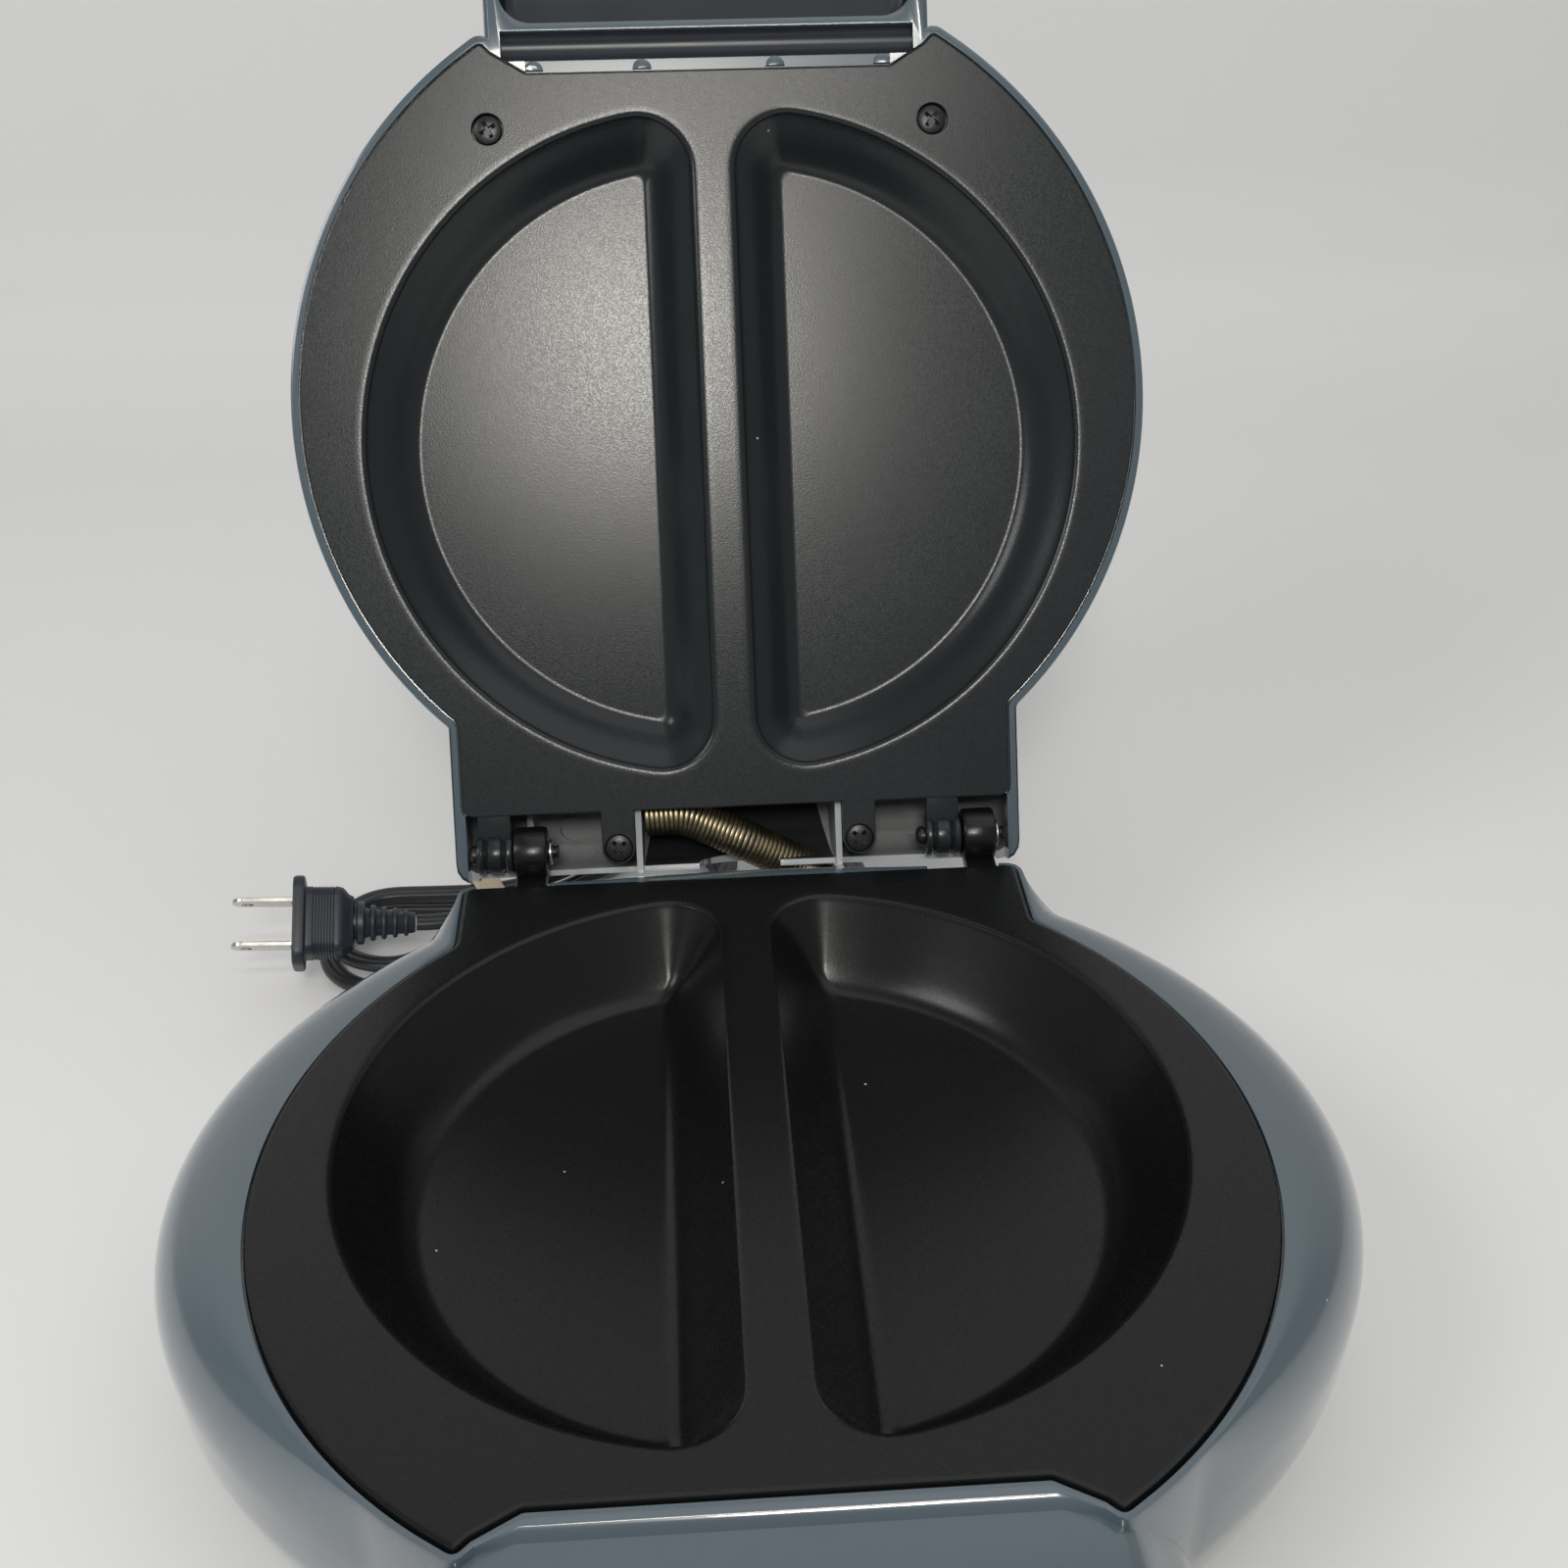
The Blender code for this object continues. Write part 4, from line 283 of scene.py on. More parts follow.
class Shell:
    """Collects the closed surfaces of one piece."""

    def __init__(self) -> None:
        """Start with no faces."""
        self.grid = bmesh.new()

    def ring(self, points: list[Point3]) -> list[bmesh.types.BMVert]:
        """Add a loop of corners and return them."""
        return [self.grid.verts.new(point) for point in points]

    def bridge(self, first: list, second: list) -> None:
        """Join two loops of as many corners by four-sided faces."""
        for index in range(len(first)):
            after = (index + 1) % len(first)
            self.grid.faces.new((first[index], first[after], second[after], second[index]))

    def cap(self, *loops: list) -> None:
        """Close a flat region between an outer loop and any inner loops."""
        corners = [vert for loop in loops for vert in loop]
        if len(loops) == 1:
            self.grid.faces.new(corners)
            return
        flat = [[vert.co for vert in loop] for loop in loops]
        for triangle in tessellate_polygon(flat):
            if len(set(triangle)) == 3:
                self.grid.faces.new([corners[index] for index in triangle])

    def loft(self, rings: list[list[Point3]], caps: bool = True) -> list[list]:
        """Run a skin through rings of as many points.

        Args:
            rings: The rings in order.
            caps: Whether both ends are closed.

        Returns:
            The rings' corners.
        """
        loops = [self.ring(points) for points in rings]
        for first, second in zip(loops, loops[1:]):
            self.bridge(first, second)
        if caps:
            self.cap(loops[0])
            self.cap(loops[-1])
        return loops

    def spin(self, profile: list[Point2], place: Matrix, steps: int) -> None:
        """Spin a profile of radius and height round the Z axis of a place.

        Args:
            profile: Points whose first and last radius is 0, or a closed run.
            place: Where the axis stands.
            steps: Number of pieces round.
        """
        closed = profile[0] == profile[-1]
        loops = []
        for radius, height in profile[:-1] if closed else profile:
            if radius <= 0:
                loops.append([self.grid.verts.new(place @ Vector((0, 0, height)))])
                continue
            turns = [FULL_TURN * step / steps for step in range(steps)]
            loops.append(self.ring([place @ Vector((radius * math.cos(turn),
                                                    radius * math.sin(turn), height))
                                    for turn in turns]))
        pairs = list(zip(loops, loops[1:]))
        if closed:
            pairs.append((loops[-1], loops[0]))
        for first, second in pairs:
            if len(first) == 1 or len(second) == 1:
                tip, loop = (first[0], second) if len(first) == 1 else (second[0], first)
                for index, vert in enumerate(loop):
                    self.grid.faces.new((tip, vert, loop[(index + 1) % steps]))
            else:
                self.bridge(first, second)

    def slab(self, outline: list[Point2], low: float, high: float, edge: float = 0.0) -> None:
        """Add a flat slab with eased edges.

        Args:
            outline: Its plan, counter-clockwise.
            low: Its lower face.
            high: Its upper face.
            edge: How far its edges are eased.
        """
        rings = [lift(outline, low), lift(outline, high)]
        if edge:
            eased = offset(outline, -edge)
            nearly = offset(outline, -edge * 0.3)
            rings = [lift(eased, low), lift(nearly, low + edge * 0.3), lift(outline, low + edge),
                     lift(outline, high - edge), lift(nearly, high - edge * 0.3),
                     lift(eased, high)]
        self.loft(rings)

    @classmethod
    def through(cls, rings: list[list[Point3]]) -> "Shell":
        """Return one closed skin through rings."""
        shell = cls()
        shell.loft(rings)
        return shell

    @classmethod
    def swept(cls, centres: list[Vector], frames: list[tuple[Vector, Vector]],
              section: list[Point2]) -> "Shell":
        """Return a closed section run along a line.

        Args:
            centres: Points of the line.
            frames: For each point, the section's x and y directions.
            section: The section's outline.

        Returns:
            The shell.
        """
        return cls.through([[centre + side * x + rise * y for x, y in section]
                            for centre, (side, rise) in zip(centres, frames)])

    @classmethod
    def upright(cls, outline: list[Point2], low: float, high: float) -> "Shell":
        """Return a straight-sided solid over a plan outline."""
        return cls.through([lift(outline, low), lift(outline, high)])

    @classmethod
    def block(cls, low: Point3, high: Point3) -> "Shell":
        """Return a plain block, used only to cut other solids."""
        (left, front, foot), (right, rear, top) = low, high
        return cls.upright([(left, front), (right, front), (right, rear), (left, rear)], foot, top)

    @classmethod
    def turned(cls, profile: list[Point2], place: Matrix, steps: int) -> "Shell":
        """Return a profile spun round the Z axis of a place."""
        shell = cls()
        shell.spin(profile, place, steps)
        return shell

    @classmethod
    def rod(cls, start: Point3, end: Point3, radius: float, steps: int = 32) -> "Shell":
        """Return a round bar between two points."""
        along = Vector(end) - Vector(start)
        place = Matrix.Translation(start) @ Vector((0, 0, 1)).rotation_difference(
            along).to_matrix().to_4x4()
        return cls.turned([(0, 0), (radius, 0), (radius, along.length), (0, along.length)], place,
                          steps)

    def mesh(self, title: str, place: Matrix | None = None) -> bpy.types.Mesh:
        """Return the finished mesh, its faces outwards and its edges sharp by angle.

        Args:
            title: The mesh's name.
            place: Where the plate frame goes in the row's frame, if anywhere.

        Returns:
            The mesh.
        """
        bmesh.ops.remove_doubles(self.grid, verts=self.grid.verts, dist=MERGE)
        bmesh.ops.recalc_face_normals(self.grid, faces=self.grid.faces)
        mesh = bpy.data.meshes.new(title)
        self.grid.to_mesh(mesh)
        self.grid.free()
        if place:
            mesh.transform(place)
        return smooth_by_angle(mesh)

    def solid(self, title: str) -> bpy.types.Object:
        """Return the shell as a bare object for cutting or joining."""
        return placed(title, self.mesh(title))


Step = tuple[Shape, Shell]


def placed(title: str, data: bpy.types.ID) -> bpy.types.Object:
    """Return a new object of some data, linked to the scene."""
    item = bpy.data.objects.new(title, data)
    bpy.context.scene.collection.objects.link(item)
    return item


def smooth_by_angle(mesh: bpy.types.Mesh) -> bpy.types.Mesh:
    """Shade a mesh smooth but for its sharp edges."""
    mesh.shade_smooth()
    mesh.set_sharp_from_angle(angle=SHARP_ANGLE)
    return mesh


def evaluated_mesh(source: bpy.types.Object) -> bpy.types.Mesh:
    """Return what an object's modifiers make, as a plain mesh."""
    bpy.context.view_layer.update()
    graph = bpy.context.evaluated_depsgraph_get()
    return bpy.data.meshes.new_from_object(source.evaluated_get(graph))


def shaped(solid: bpy.types.Object, steps: list[Step],
           place: Matrix) -> bpy.types.Mesh:
    """Join and cut solids in order.

    Args:
        solid: The first solid, which is used up.
        steps: What is joined or cut, in order.
        place: Where the plate frame goes in the row's frame.

    Returns:
        The finished mesh.
    """
    tools = []
    for index, (shape, shell) in enumerate(steps):
        tool = shell.solid(f"{solid.name}_tool_{index}")
        modifier = solid.modifiers.new(f"step_{index}", "BOOLEAN")
        modifier.operation = shape.value
        modifier.solver = "EXACT"
        modifier.object = tool
        tools.append(tool)
    mesh = evaluated_mesh(solid)
    mesh.name = solid.name
    for used in (solid, *tools):
        bpy.data.objects.remove(used, do_unlink=True)
    mesh.transform(place)
    return smooth_by_angle(mesh)


# Hinge and placing


@dataclass(frozen=True)
class HingeSizes:
    """Sizes of the hinge that both plates share."""

    y: float = 0.1142
    z: float = 0.0031
    lid_ears: tuple[float, float] = (-0.0639, 0.0538)
    lid_width: float = 0.0094
    base_width: float = 0.0086
    lid_radius: float = 0.0053
    base_radius: float = 0.0069
    gap: float = 0.0003
    bore: float = 0.0022
    neck_root: float = 0.0060

    @property
    def spot(self) -> Vector:
        """The hinge line's middle in the plate frame."""
        return Vector((0, self.y, self.z))

    def base_ear(self, lid_ear: float) -> float:
        """Return the middle of the base ear that stands beside a lid ear."""
        return lid_ear + self.lid_width / 2 + self.gap + self.base_width / 2

    def span(self, lid_ear: float) -> Point2:
        """Return both ends of a pair of ears with the play beside them."""
        return (lid_ear - self.lid_width / 2 - self.gap,
                self.base_ear(lid_ear) + self.base_width / 2 + self.gap)

    def axle(self, x: float) -> Matrix:
        """Return a place whose Z runs along the hinge line from a point on it."""
        return Matrix.Translation((x, self.y, self.z)) @ Matrix.Rotation(math.pi / 2, 4, "Y")


HINGE = HingeSizes()


@dataclass
class Workshop:
    """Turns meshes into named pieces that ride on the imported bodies."""

    pivot: Vector
    open_angle: float = 116.0

    @property
    def base(self) -> Matrix:
        """Where the plate frame stands in the row's frame."""
        return Matrix.Translation(self.pivot - HINGE.spot)

    @property
    def lid(self) -> Matrix:
        """Where the closed lid's frame stands with the lid open."""
        turn = Matrix.Rotation(-math.radians(self.open_angle), 4, "X")
        return Matrix.Translation(self.pivot) @ turn @ Matrix.Translation(-HINGE.spot)

    def place(self, body: Body) -> Matrix:
        """Return the place of a body's own frame."""
        return self.base if body is Body.BASE else self.lid

    def piece(self, title: str, mesh: bpy.types.Mesh, finish: "Finish", body: Body | None,
              *nodes: str) -> bpy.types.Object:
        """Make a piece that rides on a body, or on none where it bends between two.

        Args:
            title: The piece's name.
            mesh: Its mesh in the row's frame.
            finish: What it is made of.
            body: The body that carries it, or None.
            nodes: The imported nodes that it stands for.

        Returns:
            The piece.
        """
        mesh.materials.clear()
        mesh.materials.append(finish.material())
        item = placed(title, mesh)
        if body:
            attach(item, body.value)
        if nodes:
            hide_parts(*nodes)
        LOG.info("%s: %d faces", title, len(mesh.polygons))
        return item

    def make(self, title: str, shell: Shell, place: Matrix | None, finish: "Finish",
             body: Body | None, *nodes: str) -> bpy.types.Object:
        """Make a piece of a shell, moved by a place where one is given."""
        return self.piece(title, shell.mesh(title, place), finish, body, *nodes)


# Finishes


class Nodes:
    """Adds and links nodes in one tree."""

    def __init__(self, tree: bpy.types.NodeTree) -> None:
        """Keep the tree."""
        self.tree = tree

    def add(self, kind: str, **values: object) -> bpy.types.Node:
        """Add a node and set its properties."""
        node = self.tree.nodes.new(kind)
        for name, value in values.items():
            setattr(node, name, value)
        return node

    def link(self, source: bpy.types.NodeSocket, target: bpy.types.NodeSocket) -> None:
        """Link an output to an input."""
        self.tree.links.new(source, target)

    def wire(self, *wires: tuple[bpy.types.Node, str | int, bpy.types.Node, str | int]) -> None:
        """Link nodes, each wire being a source, its output, a target and its input."""
        for source, output, target, entry in wires:
            self.link(source.outputs[output], target.inputs[entry])

    def math(self, operation: str, first: object, second: object = 0.0) -> bpy.types.NodeSocket:
        """Add a math node and return its result."""
        node = self.add("ShaderNodeMath", operation=operation)
        for value, target in zip((first, second), node.inputs):
            if isinstance(value, (int, float)):
                target.default_value = value
            else:
                self.link(value, target)
        return node.outputs[0]


def new_group(title: str, kind: str, inputs: tuple[tuple, ...],
              outputs: tuple[tuple[str, str], ...]) -> tuple[Nodes, bpy.types.Node, bpy.types.Node]:
    """Start a node group with named sockets.

    Args:
        title: The group's name.
        kind: The tree's type.
        inputs: Each input's name, type and, for some numbers, default.
        outputs: Each output's name and type.

    Returns:
        The group's node helper, its entry and its exit.
    """
    tree = bpy.data.node_groups.new(title, kind)
    for name, socket, *default in inputs:
        made = tree.interface.new_socket(name, in_out="INPUT", socket_type="NodeSocket" + socket)
        if default:
            made.default_value = default[0]
    for name, socket in outputs:
        tree.interface.new_socket(name, in_out="OUTPUT", socket_type="NodeSocket" + socket)
    nodes = Nodes(tree)
    return nodes, nodes.add("NodeGroupInput"), nodes.add("NodeGroupOutput")


@cache
def moulded_surface_group() -> bpy.types.NodeTree:
    """Return the group of soft colour variation and fine grain, built once."""
    nodes, entry, leave = new_group(
        "moulded_surface", "ShaderNodeTree",
        (("Vector", "Vector"), ("Mottle Scale", "Float", 40.0), ("Grain Scale", "Float", 1500.0)),
        (("Mottle", "Float"), ("Grain", "Float")))
    for pattern, detail in (("Mottle", 4.0), ("Grain", 2.0)):
        noise = nodes.add("ShaderNodeTexNoise")
        noise.inputs["Detail"].default_value = detail
        nodes.wire((entry, "Vector", noise, "Vector"), (entry, pattern + " Scale", noise, "Scale"),
                   (noise, "Fac", leave, pattern))
    return nodes.tree


@cache
def dust_group() -> bpy.types.NodeTree:
    """Return the group of scattered dust specks, built once."""
    nodes, entry, leave = new_group(
        "dust_specks", "ShaderNodeTree",
        (("Vector", "Vector"), ("Scale", "Float", 260.0), ("Speck Size", "Float", 0.10),
         ("Share", "Float", 0.05)), (("Mask", "Float"),))
    cells = nodes.add("ShaderNodeTexVoronoi")
    parts = nodes.add("ShaderNodeSeparateColor")
    near = nodes.math("LESS_THAN", cells.outputs["Distance"], 0.1)
    chosen = nodes.math("LESS_THAN", parts.outputs["Red"], 0.05)
    nodes.wire((entry, "Vector", cells, "Vector"), (entry, "Scale", cells, "Scale"),
               (entry, "Speck Size", near.node, 1), (cells, "Color", parts, "Color"),
               (entry, "Share", chosen.node, 1))
    nodes.link(nodes.math("MULTIPLY", near, chosen), leave.inputs["Mask"])
    return nodes.tree


@cache
def sparkle_group() -> bpy.types.NodeTree:
    """Return the group of tiny flat flakes that glint one by one, built once."""
    nodes, entry, leave = new_group(
        "satin_flakes", "ShaderNodeTree", (("Vector", "Vector"), ("Scale", "Float", 1700.0)),
        (("Height", "Float"), ("Flake", "Float")))
    cells = nodes.add("ShaderNodeTexVoronoi")
    parts = nodes.add("ShaderNodeSeparateColor")
    nodes.wire((entry, "Vector", cells, "Vector"), (entry, "Scale", cells, "Scale"),
               (cells, "Color", parts, "Color"), (cells, "Distance", leave, "Height"),
               (parts, "Green", leave, "Flake"))
    return nodes.tree


@dataclass(frozen=True)
class Finish:
    """One finish: its colour, gloss and fine relief.

    Scales are in patterns per metre and bump distances in metres.
    """

    title: str
    slot: str
    color: Color
    rough: float
    metallic: float = 0.0
    specular: float = 0.5
    coat: float = 0.0
    coat_rough: float = 0.1
    mottle_scale: float = 40.0
    mottle_color: float = 0.12
    rough_spread: float = 0.05
    grain_scale: float = 1500.0
    grain_depth: float = 0.00002
    grain_strength: float = 0.3
    flake_scale: float = 0.0
    flake_spread: float = 0.0
    dust: float = 0.0
    dust_scale: float = 260.0
    dust_color: Color = (0.55, 0.53, 0.50)

    def material(self) -> bpy.types.Material:
        """Return the finish's material, made once."""
        if self.title in bpy.data.materials:
            return bpy.data.materials[self.title]
        material = bpy.data.materials.new(self.title)
        material.use_nodes = True
        material.diffuse_color = (*self.color, 1)
        nodes = Nodes(material.node_tree)
        shader = material.node_tree.nodes["Principled BSDF"]
        rough = nodes.add("ShaderNodeMapRange")
        bump = nodes.add("ShaderNodeBump")
        for node, socket, value in (
                (shader, "Metallic", self.metallic), (shader, "Specular IOR Level", self.specular),
                (shader, "Coat Weight", self.coat), (shader, "Coat Roughness", self.coat_rough),
                (rough, "To Min", self.rough - self.rough_spread),
                (rough, "To Max", self.rough + self.rough_spread),
                (bump, "Strength", self.grain_strength), (bump, "Distance", self.grain_depth)):
            node.inputs[socket].default_value = value
        where = nodes.add("ShaderNodeTexCoord").outputs["Object"]
        surface = self.group(nodes, moulded_surface_group(), where,
                             {"Mottle Scale": self.mottle_scale, "Grain Scale": self.grain_scale})
        nodes.wire((surface, "Mottle", rough, "Value"), (bump, "Normal", shader, "Normal"))
        light, dark = (tuple(min(1.0, part * (1 + sign * self.mottle_color))
                             for part in self.color) for sign in (1, -1))
        tone = self.mix(nodes, surface.outputs["Mottle"], dark, light)
        rough_value, height = rough.outputs["Result"], surface.outputs["Grain"]
        if self.flake_scale:
            flakes = self.group(nodes, sparkle_group(), where, {"Scale": self.flake_scale})
            height = nodes.math("ADD", height, flakes.outputs["Height"])
            glint = nodes.math("MULTIPLY", flakes.outputs["Flake"], -self.flake_spread)
            rough_value = nodes.math("ADD", rough_value, glint)
        if self.dust:
            specks = self.group(nodes, dust_group(), where,
                                {"Scale": self.dust_scale, "Share": self.dust})
            tone = self.mix(nodes, specks.outputs["Mask"], tone, self.dust_color)
        nodes.link(tone, shader.inputs["Base Color"])
        nodes.link(rough_value, shader.inputs["Roughness"])
        nodes.link(height, bump.inputs["Height"])
        return material

    @staticmethod
    def group(nodes: Nodes, tree: bpy.types.NodeTree, where: bpy.types.NodeSocket,
              values: dict[str, float]) -> bpy.types.Node:
        """Place a shared group and set its values.

        Args:
            nodes: The material's node helper.
            tree: The group.
            where: The coordinates that it reads.
            values: Its inputs by name.

        Returns:
            The group's node.
        """
        node = nodes.add("ShaderNodeGroup", node_tree=tree)
        nodes.link(where, node.inputs["Vector"])
        for name, value in values.items():
            node.inputs[name].default_value = value
        return node

    @staticmethod
    def mix(nodes: Nodes, factor: bpy.types.NodeSocket, first: object,
            second: object) -> bpy.types.NodeSocket:
        """Mix two colours, each a value or a socket, and return the result."""
        node = nodes.add("ShaderNodeMix", data_type="RGBA")
        nodes.link(factor, node.inputs["Factor"])
        for value, name in ((first, "A"), (second, "B")):
            target = next(item for item in node.inputs
                          if item.name == name and item.type == "RGBA")
            if isinstance(value, tuple):
                target.default_value = (*value, 1)
            else:
                nodes.link(value, target)
        return next(item for item in node.outputs if item.type == "RGBA")


SLATE = Finish("slate_plastic_gloss", "slate_plastic", (0.070, 0.098, 0.120), 0.22,
               coat=1.0, coat_rough=0.07, mottle_scale=14.0, mottle_color=0.05,
               rough_spread=0.04, grain_scale=900.0, grain_strength=0.06, dust=0.010,
               dust_scale=380.0)
# Painted light: the inside of the dome is the same slate plastic as the outside, painted a lighter
# grey; its grain is real relief.
PAINTED_LIGHT_INNER_PLASTIC = Finish("inner_plastic_grained", "slate_plastic", (0.30, 0.312, 0.322), 0.36,
                       specular=0.60, mottle_scale=60.0, mottle_color=0.25, rough_spread=0.08,
                       grain_scale=950.0, grain_depth=0.00016, grain_strength=0.9)
# Painted shade: a near-black copy of the slate plastic for the finger pocket, the cove and the rear
# rim's sides; its dust specks are real.
PAINTED_SHADE_PLASTIC = Finish("handle_underside_plastic", "slate_plastic", (0.016, 0.020, 0.026), 0.30,
                      specular=0.40, mottle_scale=60.0, mottle_color=0.30, grain_scale=900.0,
                      grain_strength=0.08, dust=0.02, dust_scale=420.0)
NONSTICK = Finish("nonstick_satin", "nonstick", (0.0046, 0.0049, 0.0052), 0.28, specular=0.36,
                  mottle_scale=22.0, mottle_color=0.15, rough_spread=0.015, grain_scale=3000.0,
                  grain_strength=0.20, grain_depth=0.000025, flake_scale=2600.0,
                  flake_spread=0.05, dust=0.004, dust_scale=340.0)
# Painted light: the lid's plate has the base's coating, painted a lighter colour; its stronger
# grain and flakes are relief.
LID_NONSTICK_PAINTED_LIGHTER = replace(NONSTICK, title="nonstick_satin_pale", color=(0.0140, 0.0172, 0.0190),
                       grain_strength=0.42, flake_spread=0.09)
# Painted highlight: a pale copy of the slate plastic on the middle of the rear rim's downward
# faces.
RIM_PAINTED_HIGHLIGHT = Finish("worn_rim_plastic", "slate_plastic", (0.40, 0.42, 0.435), 0.24, specular=0.70,
                   coat=0.6, coat_rough=0.12, mottle_scale=160.0, mottle_color=0.25,
                   grain_scale=900.0, grain_strength=0.10)
STEEL = Finish("plain_steel", "steel", (0.55, 0.55, 0.56), 0.34, metallic=1.0,
               mottle_scale=120.0, rough_spread=0.08)
ALUMINIUM = Finish("dull_aluminium", "aluminium", (0.66, 0.66, 0.67), 0.42, metallic=1.0,
                   mottle_scale=60.0, rough_spread=0.08)
BRASS = Finish("sleeve_brass", "brass", (0.36, 0.305, 0.19), 0.36, metallic=1.0,
               mottle_scale=260.0, mottle_color=0.30, rough_spread=0.12, grain_scale=3000.0)
BLACK_SCREW = Finish("blackened_steel", "black_screw", (0.025, 0.025, 0.026), 0.33, metallic=0.6,
                     specular=0.6, mottle_scale=500.0, mottle_color=0.35, rough_spread=0.08)
# Dark matt plastic of the dark plastic parts and the sleeve's lining; on the lid's middle channel
# it is painted shade.
DARK_PLASTIC_AND_PAINTED_SHADE = Finish("dark_plastic_matt", "dark_plastic", (0.020, 0.022, 0.025), 0.48,
                      mottle_scale=60.0, grain_scale=1200.0, grain_strength=0.4, dust=0.01)
RUBBER = Finish("rubber_matt", "rubber", (0.020, 0.022, 0.025), 0.50, mottle_scale=90.0,
                grain_scale=1800.0, grain_strength=0.35)
PLUG_RUBBER = replace(RUBBER, title="plug_rubber_satin", color=(0.0170, 0.0225, 0.0310), rough=0.42)
VINYL = Finish("cord_vinyl_soft", "cord_vinyl", (0.020, 0.022, 0.026), 0.40, mottle_scale=80.0,
               grain_scale=1600.0, grain_strength=0.25)
BLADE = Finish("plated_blade", "blade_metal", (0.62, 0.60, 0.57), 0.28, metallic=1.0,
               mottle_scale=300.0, rough_spread=0.10)
CERAMIC = Finish("bare_ceramic", "ceramic", (0.78, 0.76, 0.70), 0.60, mottle_scale=200.0)
RED_LENS = Finish("red_lamp_cover", "red_lens", (0.50, 0.02, 0.015), 0.10, coat=0.6,
                  coat_rough=0.04, mottle_scale=300.0)
GREEN_LENS = Finish("green_lamp_cover", "green_lens", (0.03, 0.34, 0.07), 0.10, coat=0.6,
                    coat_rough=0.04, mottle_scale=300.0)
CREAM = Finish("cream_band", "cream_tie", (0.52, 0.45, 0.31), 0.55, mottle_scale=150.0,
               grain_scale=2200.0)
FINISHES = (SLATE, NONSTICK, STEEL, ALUMINIUM, BRASS, BLACK_SCREW, DARK_PLASTIC_AND_PAINTED_SHADE, RUBBER, VINYL,
            BLADE, CERAMIC, RED_LENS, GREEN_LENS, CREAM)


# Cooking plates


@dataclass(frozen=True)
class PlatePlan:
    """Plan sizes that both cooking plates and both housings share."""

    radius: float = 0.107
    tab_half: float = 0.0718
    tab_reach: float = TAB_REACH
    notch_half: float = 0.046
    notch_reach: float = 0.083
    horn_half: float = 0.0546
    horn_shoulder: float = 0.0595
    horn_reach: float = 0.0906
    horn_slope: float = 0.0025
    arc_steps: int = 72
    trim: float = 0.0045
    rear_steps: int = 10
    well_y: float = 0.0106
    well_shift: float = 0.0075
    well_radius: float = 0.0832
    well_corner: float = 0.013
    least_corner: float = 0.0026

    def outline(self, reach: float | None = None,
                junction_radius: float = 0.004) -> list[Point2]:
        """Return the plates' plan, counter-clockwise from the front notch.

        Args:
            reach: Where its rear edge lies, the plates' own where left out.
            junction_radius: Rounding where the round part meets the tab.

        Returns:
            The outline's points.
        """
        reach = self.tab_reach if reach is None else reach
        tip = (self.horn_half + self.horn_shoulder) / 2
        shoulder = math.acos(self.horn_shoulder / self.radius)
        junction = math.acos(self.tab_half / self.radius)
        trim = self.trim / self.radius
        right = [(self.notch_half, -self.notch_reach, 0.002),
                 (self.horn_half, self.horn_slope - self.horn_reach, 0.0012),
                 (tip, -self.horn_reach, 0.0015),
                 (self.horn_shoulder, -self.radius * math.sin(shoulder), 0.0018)]
        right += [(x, y, 0.0) for x, y in arc((0, 0), self.radius, trim - shoulder,
                                              junction - trim, self.arc_steps)]
        right += [(self.tab_half, self.radius * math.sin(junction), junction_radius),
                  (self.tab_half, reach, 0.003)]
        right += [(self.tab_half * (1 - step / self.rear_steps) * 0.9, reach, 0.0)
                  for step in range(self.rear_steps)]
        left = [(-x, y, radius) for x, y, radius in reversed(right)]
        return filleted(right + left, 4)

    def half_moon(self, rib_half: float, inset: float, side: int) -> list[Point2]:
        """Return one well's outline drawn in from its rim.

        Args:
            rib_half: Half the width of the rib between the wells.
            inset: How far it is drawn in.
            side: 1 for the right well and -1 for the left one.

        Returns:
            The outline's points.
        """
        radius = self.well_radius - inset
        corner = max(self.well_corner - inset, self.least_corner)
        middle_x = rib_half + inset + corner
        middle_y = math.sqrt((radius - corner) ** 2 - (middle_x - self.well_shift) ** 2)
        turn = math.atan2(middle_y, middle_x - self.well_shift)
        points = arc((self.well_shift, 0), radius, -turn, turn, 64)
        points += arc((middle_x, middle_y), corner, turn, math.pi, 12)[1:]
        points += [(rib_half + inset, middle_y * (1 - step / 12)) for step in range(1, 24)]
        points += arc((middle_x, -middle_y), corner, math.pi, FULL_TURN - turn, 12)[:-1]
        placed = [(side * x, self.well_y + y) for x, y in points]
        return placed if side > 0 else placed[::-1]


@dataclass(frozen=True)
class ScrewSeat:
    """Sizes of a cross-head screw and of the recess that it stands in."""

    head_radius: float = 0.0036
    head_height: float = 0.0013
    shank_radius: float = 0.0015
    length: float = 0.0105
    play: float = 0.0005
    sink: float = 0.0002


